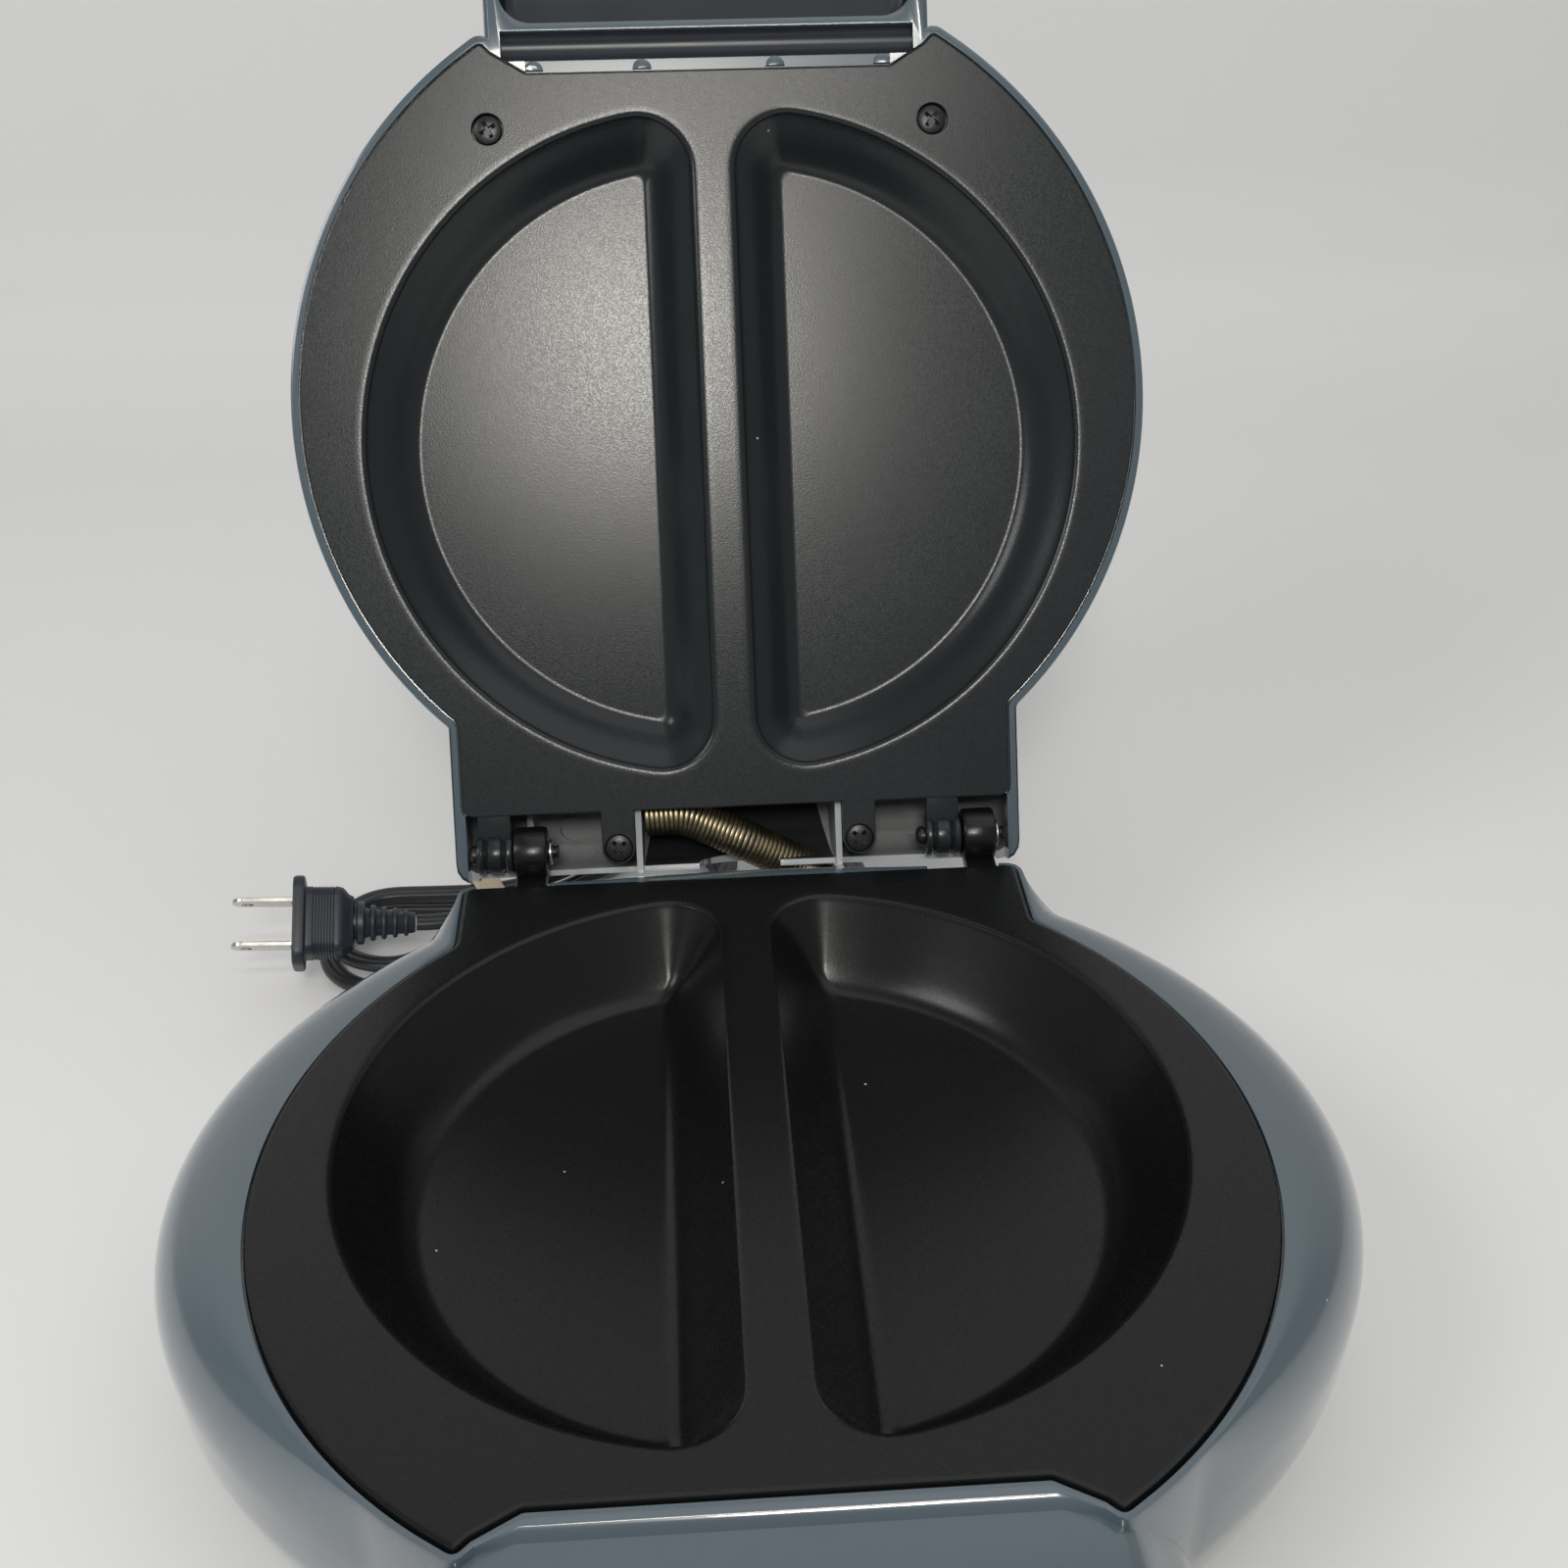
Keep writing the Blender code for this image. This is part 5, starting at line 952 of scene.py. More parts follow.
@dataclass
class CookingPlate:
    """A coated cast plate with two half-moon wells, its hinge ears and its screw recesses."""

    shop: Workshop
    title: str
    node: str
    body: Body
    face: float
    sense: int
    rib_half: float
    depth: float
    inset: float
    knots: tuple[Point2, ...]
    plan: PlatePlan = PlatePlan()
    seat: ScrewSeat = ScrewSeat()
    thickness: float = 0.0025
    wall: float = 0.0022
    edge: float = 0.0011
    screw_spots: tuple[Point2, ...] = ()
    finish: Finish = NONSTICK

    def height(self, drop: float) -> float:
        """Return the height of a point so far behind the cooking face."""
        return self.face + self.sense * drop

    def well_profile(self) -> list[Point2]:
        """Return each ring's inset and drop, from the flat rim to the flat floor."""
        rim = [(-0.0034, 0.0), (-0.0022, 0.0), (-0.0013, 0.00012), (-0.0005, 0.0006),
               (0.0001, 0.0016)]
        slope = [(self.inset * inset, self.depth * drop) for inset, drop in self.knots]
        run = smooth_knots([*rim[1:], *slope], 4)
        run = [(inset, min(drop, self.depth)) for inset, drop in run]
        return [rim[0], *run, (run[-1][0] + 0.0014, self.depth)]

    def build(self) -> bpy.types.Object:
        """Build the plate and return its piece."""
        shell = Shell()
        outline = self.plan.outline()
        drops = [(-self.edge * 1.12, 0.0), (-self.edge, 0.0), (-self.edge * 0.35, self.edge * 0.2),
                 (0.0, self.edge), (0.0, self.thickness - 0.0004),
                 (-0.0004, self.thickness), (-self.edge, self.thickness)]
        skin = shell.loft([lift(offset(outline, margin), self.height(drop))
                           for margin, drop in drops], caps=False)
        front, back = [skin[0]], [skin[-1]]
        profile = self.well_profile()
        outer = [(-self.wall - 0.0033, self.thickness)]
        outer += [(inset - self.wall, max(self.thickness, drop + self.wall))
                  for inset, drop in profile[4:]]
        for side, _ in SIDES:
            front.append(self.well(shell, side, profile))
            back.append(self.well(shell, side, outer))
        for spot in self.screw_spots:
            front.append(self.recess(shell, spot, self.seat.play))
        shell.cap(*front)
        shell.cap(*back)
        self.add_ears(shell)
        return self.shop.make(self.title, shell, self.shop.place(self.body), self.finish,
                              self.body, self.node)

    def well(self, shell: Shell, side: int, levels: list[Point2]) -> list:
        """Run one side of a well's skin from rim to floor and return its rim's corners."""
        loops = shell.loft([lift(self.plan.half_moon(self.rib_half, inset, side),
                                 self.height(drop)) for inset, drop in levels], caps=False)
        shell.cap(loops[-1])
        return loops[0]

    def recess(self, shell: Shell, spot: Point2, play: float) -> list:
        """Sink a round screw recess with some play and return its rim's corners."""
        radius = self.seat.head_radius + play * 0.5
        floor = self.seat.head_height + self.seat.sink + 0.0003
        rings = [(radius + play * 0.5, 0.0), (radius + play * 0.2, 0.0001), (radius, 0.0004),
                 (radius, floor)]
        loops = shell.loft([lift(circle(spot, reach, 40), self.height(drop))
                            for reach, drop in rings], caps=False)
        shell.cap(loops[-1])
        return loops[0]

    def add_ears(self, shell: Shell) -> None:
        """Add the hinge ears, which each plate makes in its own way."""

    def add_neck(self, shell: Shell, low: float, width: float, foot: float, top: float) -> None:
        """Add the neck that joins an ear to the plate.

        Args:
            shell: The plate's shell.
            low: The ear's lower end along the hinge line.
            width: The ear's width.
            foot: The neck's lower face.
            top: The neck's upper face.
        """
        ease = 0.0004
        root, tip = self.plan.tab_reach - HINGE.neck_root, HINGE.y - HINGE.bore - 0.0002
        left, right = low + ease, low + width - ease
        shell.slab([(left, root), (right, root), (right, tip), (left, tip)], foot, top, ease)


class LowerPlate(CookingPlate):
    """The base's plate, whose ears are discs with rounded edges."""

    def add_ears(self, shell: Shell) -> None:
        """Add both ears with their necks."""
        for lid_ear in HINGE.lid_ears:
            low = HINGE.base_ear(lid_ear) - HINGE.base_width / 2
            width, radius, ease = HINGE.base_width, HINGE.base_radius, 0.0009
            profile = [(HINGE.bore, 0.0), (radius - ease, 0.0), (radius - ease * 0.3, ease * 0.3),
                       (radius, ease), (radius, width - ease),
                       (radius - ease * 0.3, width - ease * 0.3), (radius - ease, width),
                       (HINGE.bore, width), (HINGE.bore, 0.0)]
            shell.spin(profile, HINGE.axle(low), 48)
            self.add_neck(shell, low, width, -0.0040, -0.0004)


class UpperPlate(CookingPlate):
    """The lid's plate, with ears grooved like spools and two tongues for screws."""

    groove: float = 0.0010
    finger_radius: float = 0.0043
    finger_play: float = 0.0002

    def add_finger(self, shell: Shell, side: int) -> None:
        """Add one round tongue with its screw recess."""
        spot = (side * HINGE_SCREW[0], HINGE_SCREW[1])
        radius = self.finger_radius
        root = self.plan.tab_reach - radius
        plan = arc(spot, radius, 0, math.pi, 24)
        plan += [(spot[0] - radius, root + radius * part) for part in (1.4, 0.7, 0.0)]
        plan += [(spot[0] + radius, root + radius * part) for part in (0.0, 0.7, 1.4)]
        ease = 0.00015
        skin = shell.loft([lift(offset(plan, margin), self.height(drop)) for margin, drop in
                           ((-ease, 0.00002), (0.0, ease + 0.00002), (0.0, self.thickness),
                            (-ease, self.thickness + ease))], caps=False)
        shell.cap(skin[0], self.recess(shell, spot, self.finger_play))
        shell.cap(skin[-1])

    def add_ears(self, shell: Shell) -> None:
        """Add both grooved ears with their necks, and both tongues."""
        for side, _ in SIDES:
            self.add_finger(shell, side)
        shares = ((0.0, -0.7), (0.03, -0.15), (0.07, 0.0), (0.15, 0.0), (0.20, -0.35),
                  (0.24, -1.0), (0.29, -0.7), (0.34, -0.1), (0.40, 0.0), (0.60, 0.0),
                  (0.66, -0.1), (0.71, -0.7), (0.76, -1.0), (0.80, -0.35), (0.85, 0.0),
                  (0.93, 0.0), (0.97, -0.15), (1.0, -0.7))
        for lid_ear in HINGE.lid_ears:
            low = lid_ear - HINGE.lid_width / 2
            profile = [(HINGE.bore, 0.0)]
            profile += [(HINGE.lid_radius + rise * self.groove, share * HINGE.lid_width)
                        for share, rise in shares]
            profile += [(HINGE.bore, HINGE.lid_width), (HINGE.bore, 0.0)]
            shell.spin(profile, HINGE.axle(low), 48)
            self.add_neck(shell, low, HINGE.lid_width, self.face + 0.0003,
                          self.face + self.thickness + 0.0003)


# Housings


def front_outline(half: float, reach: float, root: float, corner: float,
                  steps: int = 14) -> list[Point2]:
    """Return a plan with a straight back and two round front corners, counter-clockwise."""
    right = [(half * share, -reach) for share in (0.0, 0.25, 0.5)]
    right += arc((half - corner, corner - reach), corner, -math.pi / 2, 0, steps)
    right.append((half, -root))
    return right[1:] + [(-x, y) for x, y in right[:0:-1]] + [(0.0, -reach)]


@dataclass(frozen=True)
class FrontForm:
    """A straight-backed form at the front of a housing, its plan given level by level.

    Each knot holds a level's share of the height and its shares of the half width and reach.
    """

    half: float
    reach: float
    root: float
    corner: float
    knots: tuple[Point3, ...]

    def rings(self, inwards: float, start: float, end: float) -> list[list[Point3]]:
        """Return the form's rings between two heights, drawn inwards."""
        rings = []
        for share, width, reach in smooth_knots(self.knots, 4):
            outline = front_outline(self.half * width - inwards, self.reach * reach - inwards,
                                    self.root, self.corner - inwards)
            rings.append(lift(outline, start + (end - start) * share))
        return rings


NOSE = FrontForm(0.0750, 0.1260, 0.060, 0.020,
                 ((0.0, 0.755, 0.925), (0.05, 0.80, 0.965), (0.16, 0.86, 0.99),
                  (0.36, 0.95, 1.0), (0.65, 1.0, 0.98), (1.0, 0.97, 0.90)))
HANDLE = FrontForm(0.0560, 0.1300, 0.0600, 0.0150,
                   ((0.0, 0.975, 0.975), (0.03, 0.99, 0.988), (0.10, 1.0, 1.0),
                    (0.55, 0.99, 0.99), (0.88, 0.93, 0.94), (1.0, 0.84, 0.86)))


@dataclass
class BaseHousing:
    """The glossy bulging lower casing with its front nose and the seat of the lower plate."""

    shop: Workshop
    plan: PlatePlan = PlatePlan()
    foot_height: float = 0.005
    rim_drop: float = 0.0008
    rim_margin: float = 0.0016
    wall: float = 0.0024
    ledge: float = 0.0055
    ledge_width: float = 0.0030
    centre_y: float = 0.0084
    bulge_half_width: float = 0.1300
    bulge_half_depth: float = 0.1079
    bulge_drop: float = 0.0190
    foot_half_width: float = 0.118
    foot_half_depth: float = 0.100
    nose_drop: float = 0.0030
    sleeve_hole: float = 0.0060
    cord_hole: float = 0.0051
    cord_pad: float = 0.0085

    @property
    def bottom(self) -> float:
        """Height of the casing's lower edge."""
        return self.foot_height + FLOOR

    @staticmethod
    def ellipse(turn: float, half_width: float, half_depth: float) -> float:
        """Return an ellipse's reach from its centre at an angle."""
        return 1 / math.hypot(math.cos(turn) / half_width, math.sin(turn) / half_depth)

    def body_rings(self, inwards: float, top: float) -> list[list[Point3]]:
        """Return the casing's rings from rim to foot.

        Args:
            inwards: How far they are drawn in.
            top: How far the first one lies below the plate's top.

        Returns:
            The rings.
        """
        centre = Vector((0, self.centre_y))
        rays = fan(offset(self.plan.outline(junction_radius=0.006), self.rim_margin), centre)
        reaches = []
        for ray in rays:
            turn = math.atan2(ray.y, ray.x)
            bulge = max(self.ellipse(turn, self.bulge_half_width, self.bulge_half_depth),
                        ray.length + 0.0008)
            foot = min(self.ellipse(turn, self.foot_half_width, self.foot_half_depth), bulge)
            reaches.append((ray.length, bulge, foot))
        levels: list[tuple[int, float, float]] = []
        for step in range(CURVE_STEPS + 1):
            turn = math.pi / 2 * step / CURVE_STEPS
            drop = top + (self.bulge_drop - top) * (1 - math.cos(turn))
            levels.append((0, math.sin(turn), -drop))
        lower = -self.bottom - self.bulge_drop
        draws = smooth_knots([(0.0, 0.0), (0.25, 0.03), (0.45, 0.12), (0.80, 0.48), (1.0, 1.0)], 4)
        for height, draw in draws[1:]:
            levels.append((1, draw, -self.bulge_drop - lower * height))
        rings = []
        for start, part, height in levels:
            ring = []
            for ray, reach in zip(rays, reaches):
                length = reach[start] + (reach[start + 1] - reach[start]) * part
                spot = centre + ray.normalized() * (length - inwards)
                ring.append((spot.x, spot.y, height))
            rings.append(ring)
        return rings

    @staticmethod
    def lofted(rings: list[list[Point3]], further: float) -> Shell:
        """Return a closed skin through rings, the last one carried straight down."""
        return Shell.through(rings + [[(x, y, z - further) for x, y, z in rings[-1]]])

    def build(self) -> bpy.types.Object:
        """Build the casing and return its piece."""
        body = self.lofted(self.body_rings(0, self.rim_drop), OVERCUT).solid("base_casing")
        nose = NOSE.rings(0, -self.nose_drop, self.bottom)
        inner_nose = NOSE.rings(self.wall, -self.ledge - 0.0003, self.bottom)
        steps = [(Shape.JOIN, self.lofted(nose, 0.002)),
                 (Shape.CUT, self.lofted(self.body_rings(self.wall, self.ledge), 0.004)),
                 (Shape.CUT, self.lofted(inner_nose, 0.005))]
        outline = self.plan.outline()
        for edge, low, high in ((offset(outline, SEAT_PLAY), -0.0028, OVERCUT),
                                (drawn_in(outline, self.ledge_width), -0.0065, 0.002)):
            steps.append((Shape.CUT, Shell.upright(edge, low, high)))
        steps.append((Shape.CUT, Shell.block((-0.14, -0.14, self.bottom - 0.008),
                                             (0.14, 0.13, self.bottom))))
        for lid_ear in HINGE.lid_ears:
            low, high = HINGE.span(lid_ear)
            room = Shell.block((low, self.plan.tab_reach - 0.004, -0.0043),
                               (high, HINGE.y, OVERCUT))
            steps.append((Shape.CUT, room))
        x, z = CORD_HOLE
        pad = Shell.rod((x, 0.105, z), (x, 0.1130, z), self.cord_pad, 48)
        steps.insert(1, (Shape.JOIN, pad))
        for (x, z), radius, high in ((SLEEVE_HOLE, self.sleeve_hole, 0.1211),
                                     (CORD_HOLE, self.cord_hole, 0.1140)):
            steps.append((Shape.CUT, Shell.rod((x, 0.101, z), (x, high, z), radius, 40)))
        mesh = shaped(body, steps, self.shop.base)
        return self.shop.piece("base_shell", mesh, SLATE, Body.BASE, "base_housing")


@dataclass
class LidHousing:
    """The domed lid casing with its handle, cut-outs and ribs."""

    shop: Workshop
    plan: PlatePlan = PlatePlan()
    margin: float = 0.0026
    reach: float = 0.1244
    rim: float = 0.0014
    back: float = 0.0038
    ledge: float = 0.0060
    ledge_width: float = 0.0030
    wall: float = 0.0024
    centre_y: float = 0.0084
    shoulder: float = 0.0160
    rise: float = 0.0220
    inset: float = 0.0260
    handle_top: float = 0.0230
    strip_half: float = 0.0460
    strip_front: float = 0.0863
    strip_rear: float = 0.0830
    strip_depth: float = 0.0010
    pocket_y: float = -0.1100
    pocket_half: Point2 = (0.0520, 0.0145)
    pocket_depth: float = 0.0130
    cove_radius: float = 0.0039
    bead_radius: float = 0.0024
    bead_spots: tuple[float, ...] = (-0.0440, -0.0168, 0.0168, 0.0440)
    channel_x: float = 0.0264
    channel_wall: float = 0.0016
    mark_radius: float = 0.0036
    boss_radius: float = 0.0042
    lens_hole: float = 0.0037
    lead_hole: float = 0.0028
    rear_half: float = 0.0690
    gate_half: float = 0.0108
    gate_shoulder: float = 0.0082
    mark_spots: tuple[Point2, ...] = ((-0.0485, 0.0082), (0.0561, 0.0117))

    @property
    def top(self) -> float:
        """Height of the dome's flat top."""
        return self.shoulder + self.rise

    def lid_rings(self, inwards: float, low: float, top: float, eased: bool) -> list[list[Point3]]:
        """Return the casing's rings from its rim to the dome's flat.

        Args:
            inwards: How far they are drawn in.
            low: The first ring's height.
            top: The last ring's height.
            eased: Whether the rim's outer edge is rounded.

        Returns:
            The rings.
        """
        centre = Vector((0, self.centre_y))
        rays = fan(offset(self.plan.outline(self.reach - self.margin * 2), self.margin), centre)
        levels = [(low, 0.0)]
        if eased:
            levels = [(low, 0.0009), (low + 0.0002, 0.0003), (low + 0.0009, 0.0)]
        levels.append((self.shoulder, 0.0))
        for step in range(1, CURVE_STEPS + 1):
            turn = math.pi / 2 * step / CURVE_STEPS
            levels.append((self.shoulder + (top - self.shoulder) * math.sin(turn),
                           self.inset * (1 - math.cos(turn))))
        return [[(*(centre + ray.normalized() * (ray.length - inwards - draw)), height)
                 for ray in rays] for height, draw in levels]

    def hollow(self) -> Shell:
        """Return the room inside the dome."""
        return Shell.through(self.lid_rings(self.wall, self.ledge, self.top - self.wall, False))

    def under_dome(self, inset: float) -> float:
        """Return a height inside the dome's wall at a distance in from the lid's edge."""
        share = max(0.0, 1 - inset / self.inset)
        return self.shoulder + self.rise * math.sqrt(1 - share * share) - self.wall / 2

    def build(self) -> bpy.types.Object:
        """Build the casing and return its piece."""
        first = Shell.through(self.lid_rings(0, self.rim, self.top, True))
        rings = HANDLE.rings(0, self.rim, self.handle_top)
        handle = Shell.through([[(x, y, z - OVERCUT) for x, y, z in rings[0]], *rings])
        rear, behind = self.reach - self.wall, self.reach + OVERCUT
        outline = self.plan.outline()
        steps: list[Step] = [(Shape.JOIN, handle)]
        steps += [(Shape.CUT, tool) for tool in (
            Shell.block((-0.107, -0.131, self.rim - 0.002), (0.107, -0.060, self.rim)),
            self.hollow(),
            Shell.upright(offset(outline, SEAT_PLAY), 0.0, self.back),
            Shell.upright(drawn_in(outline, self.ledge_width), 0.0, self.ledge + OVERCUT),
            Shell.block((-0.0712, 0.0970, 0.0), (0.0712, rear, self.ledge + OVERCUT)),
            Shell.block((-self.rear_half, rear - OVERCUT, 0.0), (self.rear_half, behind, 0.0230)))]
        self.shape_handle(steps)
        arch = [(self.gate_half, 0.0),
                *arc((0, self.gate_shoulder), self.gate_half, 0, math.pi, 24),
                (-self.gate_half, 0.0)]
        gate = Shell.through([[(x, y, z) for x, z in arch]
                              for y in (rear - 0.0045, behind)])
        steps.append((Shape.CUT, gate))
        self.add_ribs(steps, rear - OVERCUT)
        for side, _ in SIDES:
            for x, y in (FRONT_SCREW, HINGE_SCREW):
                inset = (self.reach - self.margin - y if y > 0
                         else self.plan.radius - math.hypot(x, y))
                boss = Shell.rod((side * x, y, self.back + 0.0003),
                                 (side * x, y, self.under_dome(inset - self.boss_radius)),
                                 self.boss_radius)
                steps.append((Shape.JOIN, boss))
            x, y = side * LAMP[0], LAMP[1]
            lens = Shell.rod((x, y, self.top - self.wall - OVERCUT), (x, y, self.top + OVERCUT),
                             self.lens_hole)
            steps.append((Shape.CUT, lens))
        lead = Shell.rod((-0.0280, 0.1085, 0.01105), (-0.0248, 0.1085, 0.01105), self.lead_hole)
        steps.append((Shape.CUT, lead))
        self.add_marks(steps)
        mesh = shaped(first.solid("lid_casing"), steps, self.shop.lid)
        piece = self.shop.piece("lid_shell", mesh, SLATE, Body.LID, "lid_housing")
        self.dress_inside(piece)
        return piece

    def dress_inside(self, piece: bpy.types.Object) -> None:
        """Paint light and shade on the casing: the hollow lighter grey, its middle channel, the
        pocket and the rear rim's sides dark as painted shade, and the rear rim's middle as a
        painted highlight.
        """
        grained, channel, painted_shade_faces, painted_rim_highlight = range(1, 5)
        for finish in (PAINTED_LIGHT_INNER_PLASTIC, DARK_PLASTIC_AND_PAINTED_SHADE, PAINTED_SHADE_PLASTIC, RIM_PAINTED_HIGHLIGHT):
            piece.data.materials.append(finish.material())
        hollow = self.hollow()
        bmesh.ops.recalc_face_normals(hollow.grid, faces=hollow.grid.faces)
        tree = BVHTree.FromBMesh(hollow.grid)
        hollow.grid.free()
        back = self.shop.lid.inverted()
        turned = back.to_3x3()
        for face in piece.data.polygons:
            spot = back @ (face.center + face.normal * (self.wall / 6))
            near, normal, _, _ = tree.find_nearest(spot)
            if (spot - near).dot(normal) < 0:
                # Inside the dome: the middle channel is painted dark as shade, and the rest is
                # painted lighter grey as light.
                middle = abs(spot.x) < self.channel_x - self.wall
                face.material_index = channel if middle else grained
            # The finger pocket and the cove: painted shade.
            elif (abs(spot.x) < self.pocket_half[0] + 0.0001
                  and self.pocket_y - 0.0152 < spot.y < -self.strip_front
                  and 0.0003 < spot.z - self.rim < self.pocket_depth + 0.0005):
                face.material_index = painted_shade_faces
            # Downward faces of the rear rim: a painted highlight in the middle and painted shade at
            # the sides.
            elif spot.y > self.plan.tab_reach - 0.012 and (turned @ face.normal).z < -0.7:
                face.material_index = painted_rim_highlight if abs(spot.x) < self.rear_half else painted_shade_faces

    def shape_handle(self, steps: list[Step]) -> None:
        """Cut the stepped strip, the finger pocket and the cove, and add the strip's beads."""
        floor = self.rim + self.strip_depth
        strip = Shell.through([[(x, -self.strip_front, 0.0), (x, -self.strip_rear, 0.0),
                                (x, -self.strip_rear, floor),
                                (x, -self.strip_front, floor - 0.00012)]
                               for x in (-self.strip_half, self.strip_half)])
        plan = [(x, y + self.pocket_y) for x, y in rounded_box(*self.pocket_half, 0.008, 10)]
        deep = self.rim + self.pocket_depth
        pocket = Shell.through([lift(offset(plan, margin), height) for margin, height in
                                ((0.0007, 0.0), (0.0007, self.rim), (0.0002, self.rim + 0.0002),
                                 (0.0, self.rim + 0.0007), (0.0, deep - 0.0030),
                                 (-0.0009, deep - 0.0009), (-0.0030, deep))])
        middle = (-0.0898, self.rim + 0.0027 - self.cove_radius)
        cove = Shell.rod((-self.pocket_half[0], *middle), (self.pocket_half[0], *middle),
                         self.cove_radius, 64)
        steps += [(Shape.CUT, strip), (Shape.CUT, pocket), (Shape.CUT, cove)]
        start = floor - 0.0007
        for x in self.bead_spots:
            bead = Shell()
            bead.slab(arc((x, -0.0838), self.bead_radius, math.pi, FULL_TURN, 24), start,
                      start + self.wall, 0.0002)
            steps.append((Shape.JOIN, bead))

    def add_marks(self, steps: list[Step]) -> None:
        """Add the low discs that the mould's ejector pins leave inside the dome."""
        high = self.rise - self.wall
        for x, draw in self.mark_spots:
            ray = Vector((x, self.reach - self.margin - self.wall - self.centre_y))
            flat = ray.normalized() * (ray.length - draw)
            share = 1 - draw / self.inset
            climb = math.sqrt(1 - share * share)
            spot = Vector((flat.x, self.centre_y + flat.y, self.shoulder + high * climb))
            out = Vector((*(ray.normalized() * (share / self.inset)), climb / high)).normalized()
            mark = Shell.rod(tuple(spot + out * 0.0013), tuple(spot - out * 0.0008),
                             self.mark_radius, 40)
            steps.append((Shape.JOIN, mark))

    def add_ribs(self, steps: list[Step], rear: float) -> None:
        """Add the channel's two side ribs and the low gussets beside the cut-out."""
        front = self.plan.tab_reach - 0.003
        for side, _ in SIDES:
            for x, low in ((self.channel_x, self.back + 0.0002), (0.0560, 0.0180)):
                half = self.channel_wall / 2
                profile = [(front, low), (rear, low)]
                for step in range(9):
                    y = rear + (front - rear) * step / 8
                    profile.append((y, self.under_dome(self.reach - self.margin - y)))
                rib = Shell.through([[(side * x + shift, y, z) for y, z in profile]
                                     for shift in (-half, half)])
                steps.append((Shape.JOIN, rib))


# Repeated pieces, made by geometry nodes


@cache
def copies_tree() -> bpy.types.NodeTree:
    """Return the tree that sets a pattern on every point of a mesh, facing its own way."""
    nodes, entry, leave = new_group(
        "set_copies", "GeometryNodeTree",
        (("Geometry", "Geometry"), ("Pattern", "Object"), ("Scale", "Float"), ("Turn", "Float"),
         ("Seed", "Int"), ("Material", "Material")), (("Geometry", "Geometry"),))
    nodes.tree.is_modifier = True
    pattern = nodes.add("GeometryNodeObjectInfo", transform_space="ORIGINAL")
    pattern.inputs["As Instance"].default_value = True
    facing = nodes.add("GeometryNodeInputNamedAttribute", data_type="FLOAT_VECTOR")
    facing.inputs["Name"].default_value = "facing"
    aim = nodes.add("FunctionNodeAlignRotationToVector", axis="Z")
    spin = nodes.add("FunctionNodeRandomValue", data_type="FLOAT")
    turned = nodes.add("FunctionNodeRotateRotation", rotation_space="LOCAL")
    euler = nodes.add("FunctionNodeEulerToRotation")
    angles = nodes.add("ShaderNodeCombineXYZ")
    copies = nodes.add("GeometryNodeInstanceOnPoints")
    plain = nodes.add("GeometryNodeRealizeInstances")
    dressed = nodes.add("GeometryNodeSetMaterial")
    nodes.link(nodes.math("MULTIPLY", entry.outputs["Turn"], -1.0), spin.inputs["Min"])
    nodes.wire(
        (entry, "Pattern", pattern, "Object"), (facing, "Attribute", aim, "Vector"),
        (entry, "Turn", spin, "Max"), (entry, "Seed", spin, "Seed"), (spin, "Value", angles, "Z"),
        (angles, 0, euler, 0), (aim, "Rotation", turned, "Rotation"),
        (euler, 0, turned, "Rotate By"), (entry, "Geometry", copies, "Points"),
        (pattern, "Geometry", copies, "Instance"), (turned, "Rotation", copies, "Rotation"),
        (entry, "Scale", copies, "Scale"), (copies, "Instances", plain, "Geometry"),
        (plain, "Geometry", dressed, "Geometry"), (entry, "Material", dressed, "Material"),
        (dressed, "Geometry", leave, "Geometry"))
    return nodes.tree


@cache
def ribs_tree() -> bpy.types.NodeTree:
    """Return the tree that sets round ribs along a taper on the Z axis."""
    nodes, entry, leave = new_group(
        "taper_ribs", "GeometryNodeTree",
        (("Geometry", "Geometry"), ("Count", "Int"), ("Start", "Float"), ("Pitch", "Float"),
         ("Root Radius", "Float"), ("Tip Radius", "Float"), ("Rib Radius", "Float"),
         ("Material", "Material")), (("Geometry", "Geometry"),))
    nodes.tree.is_modifier = True
    line = nodes.add("GeometryNodeMeshLine", mode="OFFSET")
    first = nodes.add("ShaderNodeCombineXYZ")
    step = nodes.add("ShaderNodeCombineXYZ")
    loop = nodes.add("GeometryNodeCurvePrimitiveCircle")
    loop.inputs["Resolution"].default_value = 40
    section = nodes.add("GeometryNodeCurvePrimitiveCircle")
    section.inputs["Resolution"].default_value = 12
    ring = nodes.add("GeometryNodeCurveToMesh")
    index = nodes.add("GeometryNodeInputIndex")
    copies = nodes.add("GeometryNodeInstanceOnPoints")
    plain = nodes.add("GeometryNodeRealizeInstances")
    smooth = nodes.add("GeometryNodeSetShadeSmooth")
    dressed = nodes.add("GeometryNodeSetMaterial")
    last = nodes.math("SUBTRACT", entry.outputs["Count"], 1.0)
    share = nodes.math("DIVIDE", index.outputs[0], last)
    taper = nodes.math("DIVIDE", entry.outputs["Tip Radius"], entry.outputs["Root Radius"])
    fall = nodes.math("MULTIPLY", share, nodes.math("SUBTRACT", taper, 1.0))
    nodes.link(nodes.math("ADD", fall, 1.0), copies.inputs["Scale"])
    nodes.wire(
        (entry, "Start", first, "Z"), (entry, "Pitch", step, "Z"), (entry, "Count", line, "Count"),
        (first, 0, line, "Start Location"), (step, 0, line, "Offset"),
        (entry, "Root Radius", loop, "Radius"), (entry, "Rib Radius", section, "Radius"),
        (loop, "Curve", ring, "Curve"), (section, "Curve", ring, "Profile Curve"),
        (line, "Mesh", copies, "Points"), (ring, "Mesh", copies, "Instance"),
        (copies, "Instances", plain, "Geometry"), (plain, "Geometry", smooth, "Geometry"),
        (smooth, "Geometry", dressed, "Geometry"), (entry, "Material", dressed, "Material"),
        (dressed, "Geometry", leave, "Geometry"))
    return nodes.tree


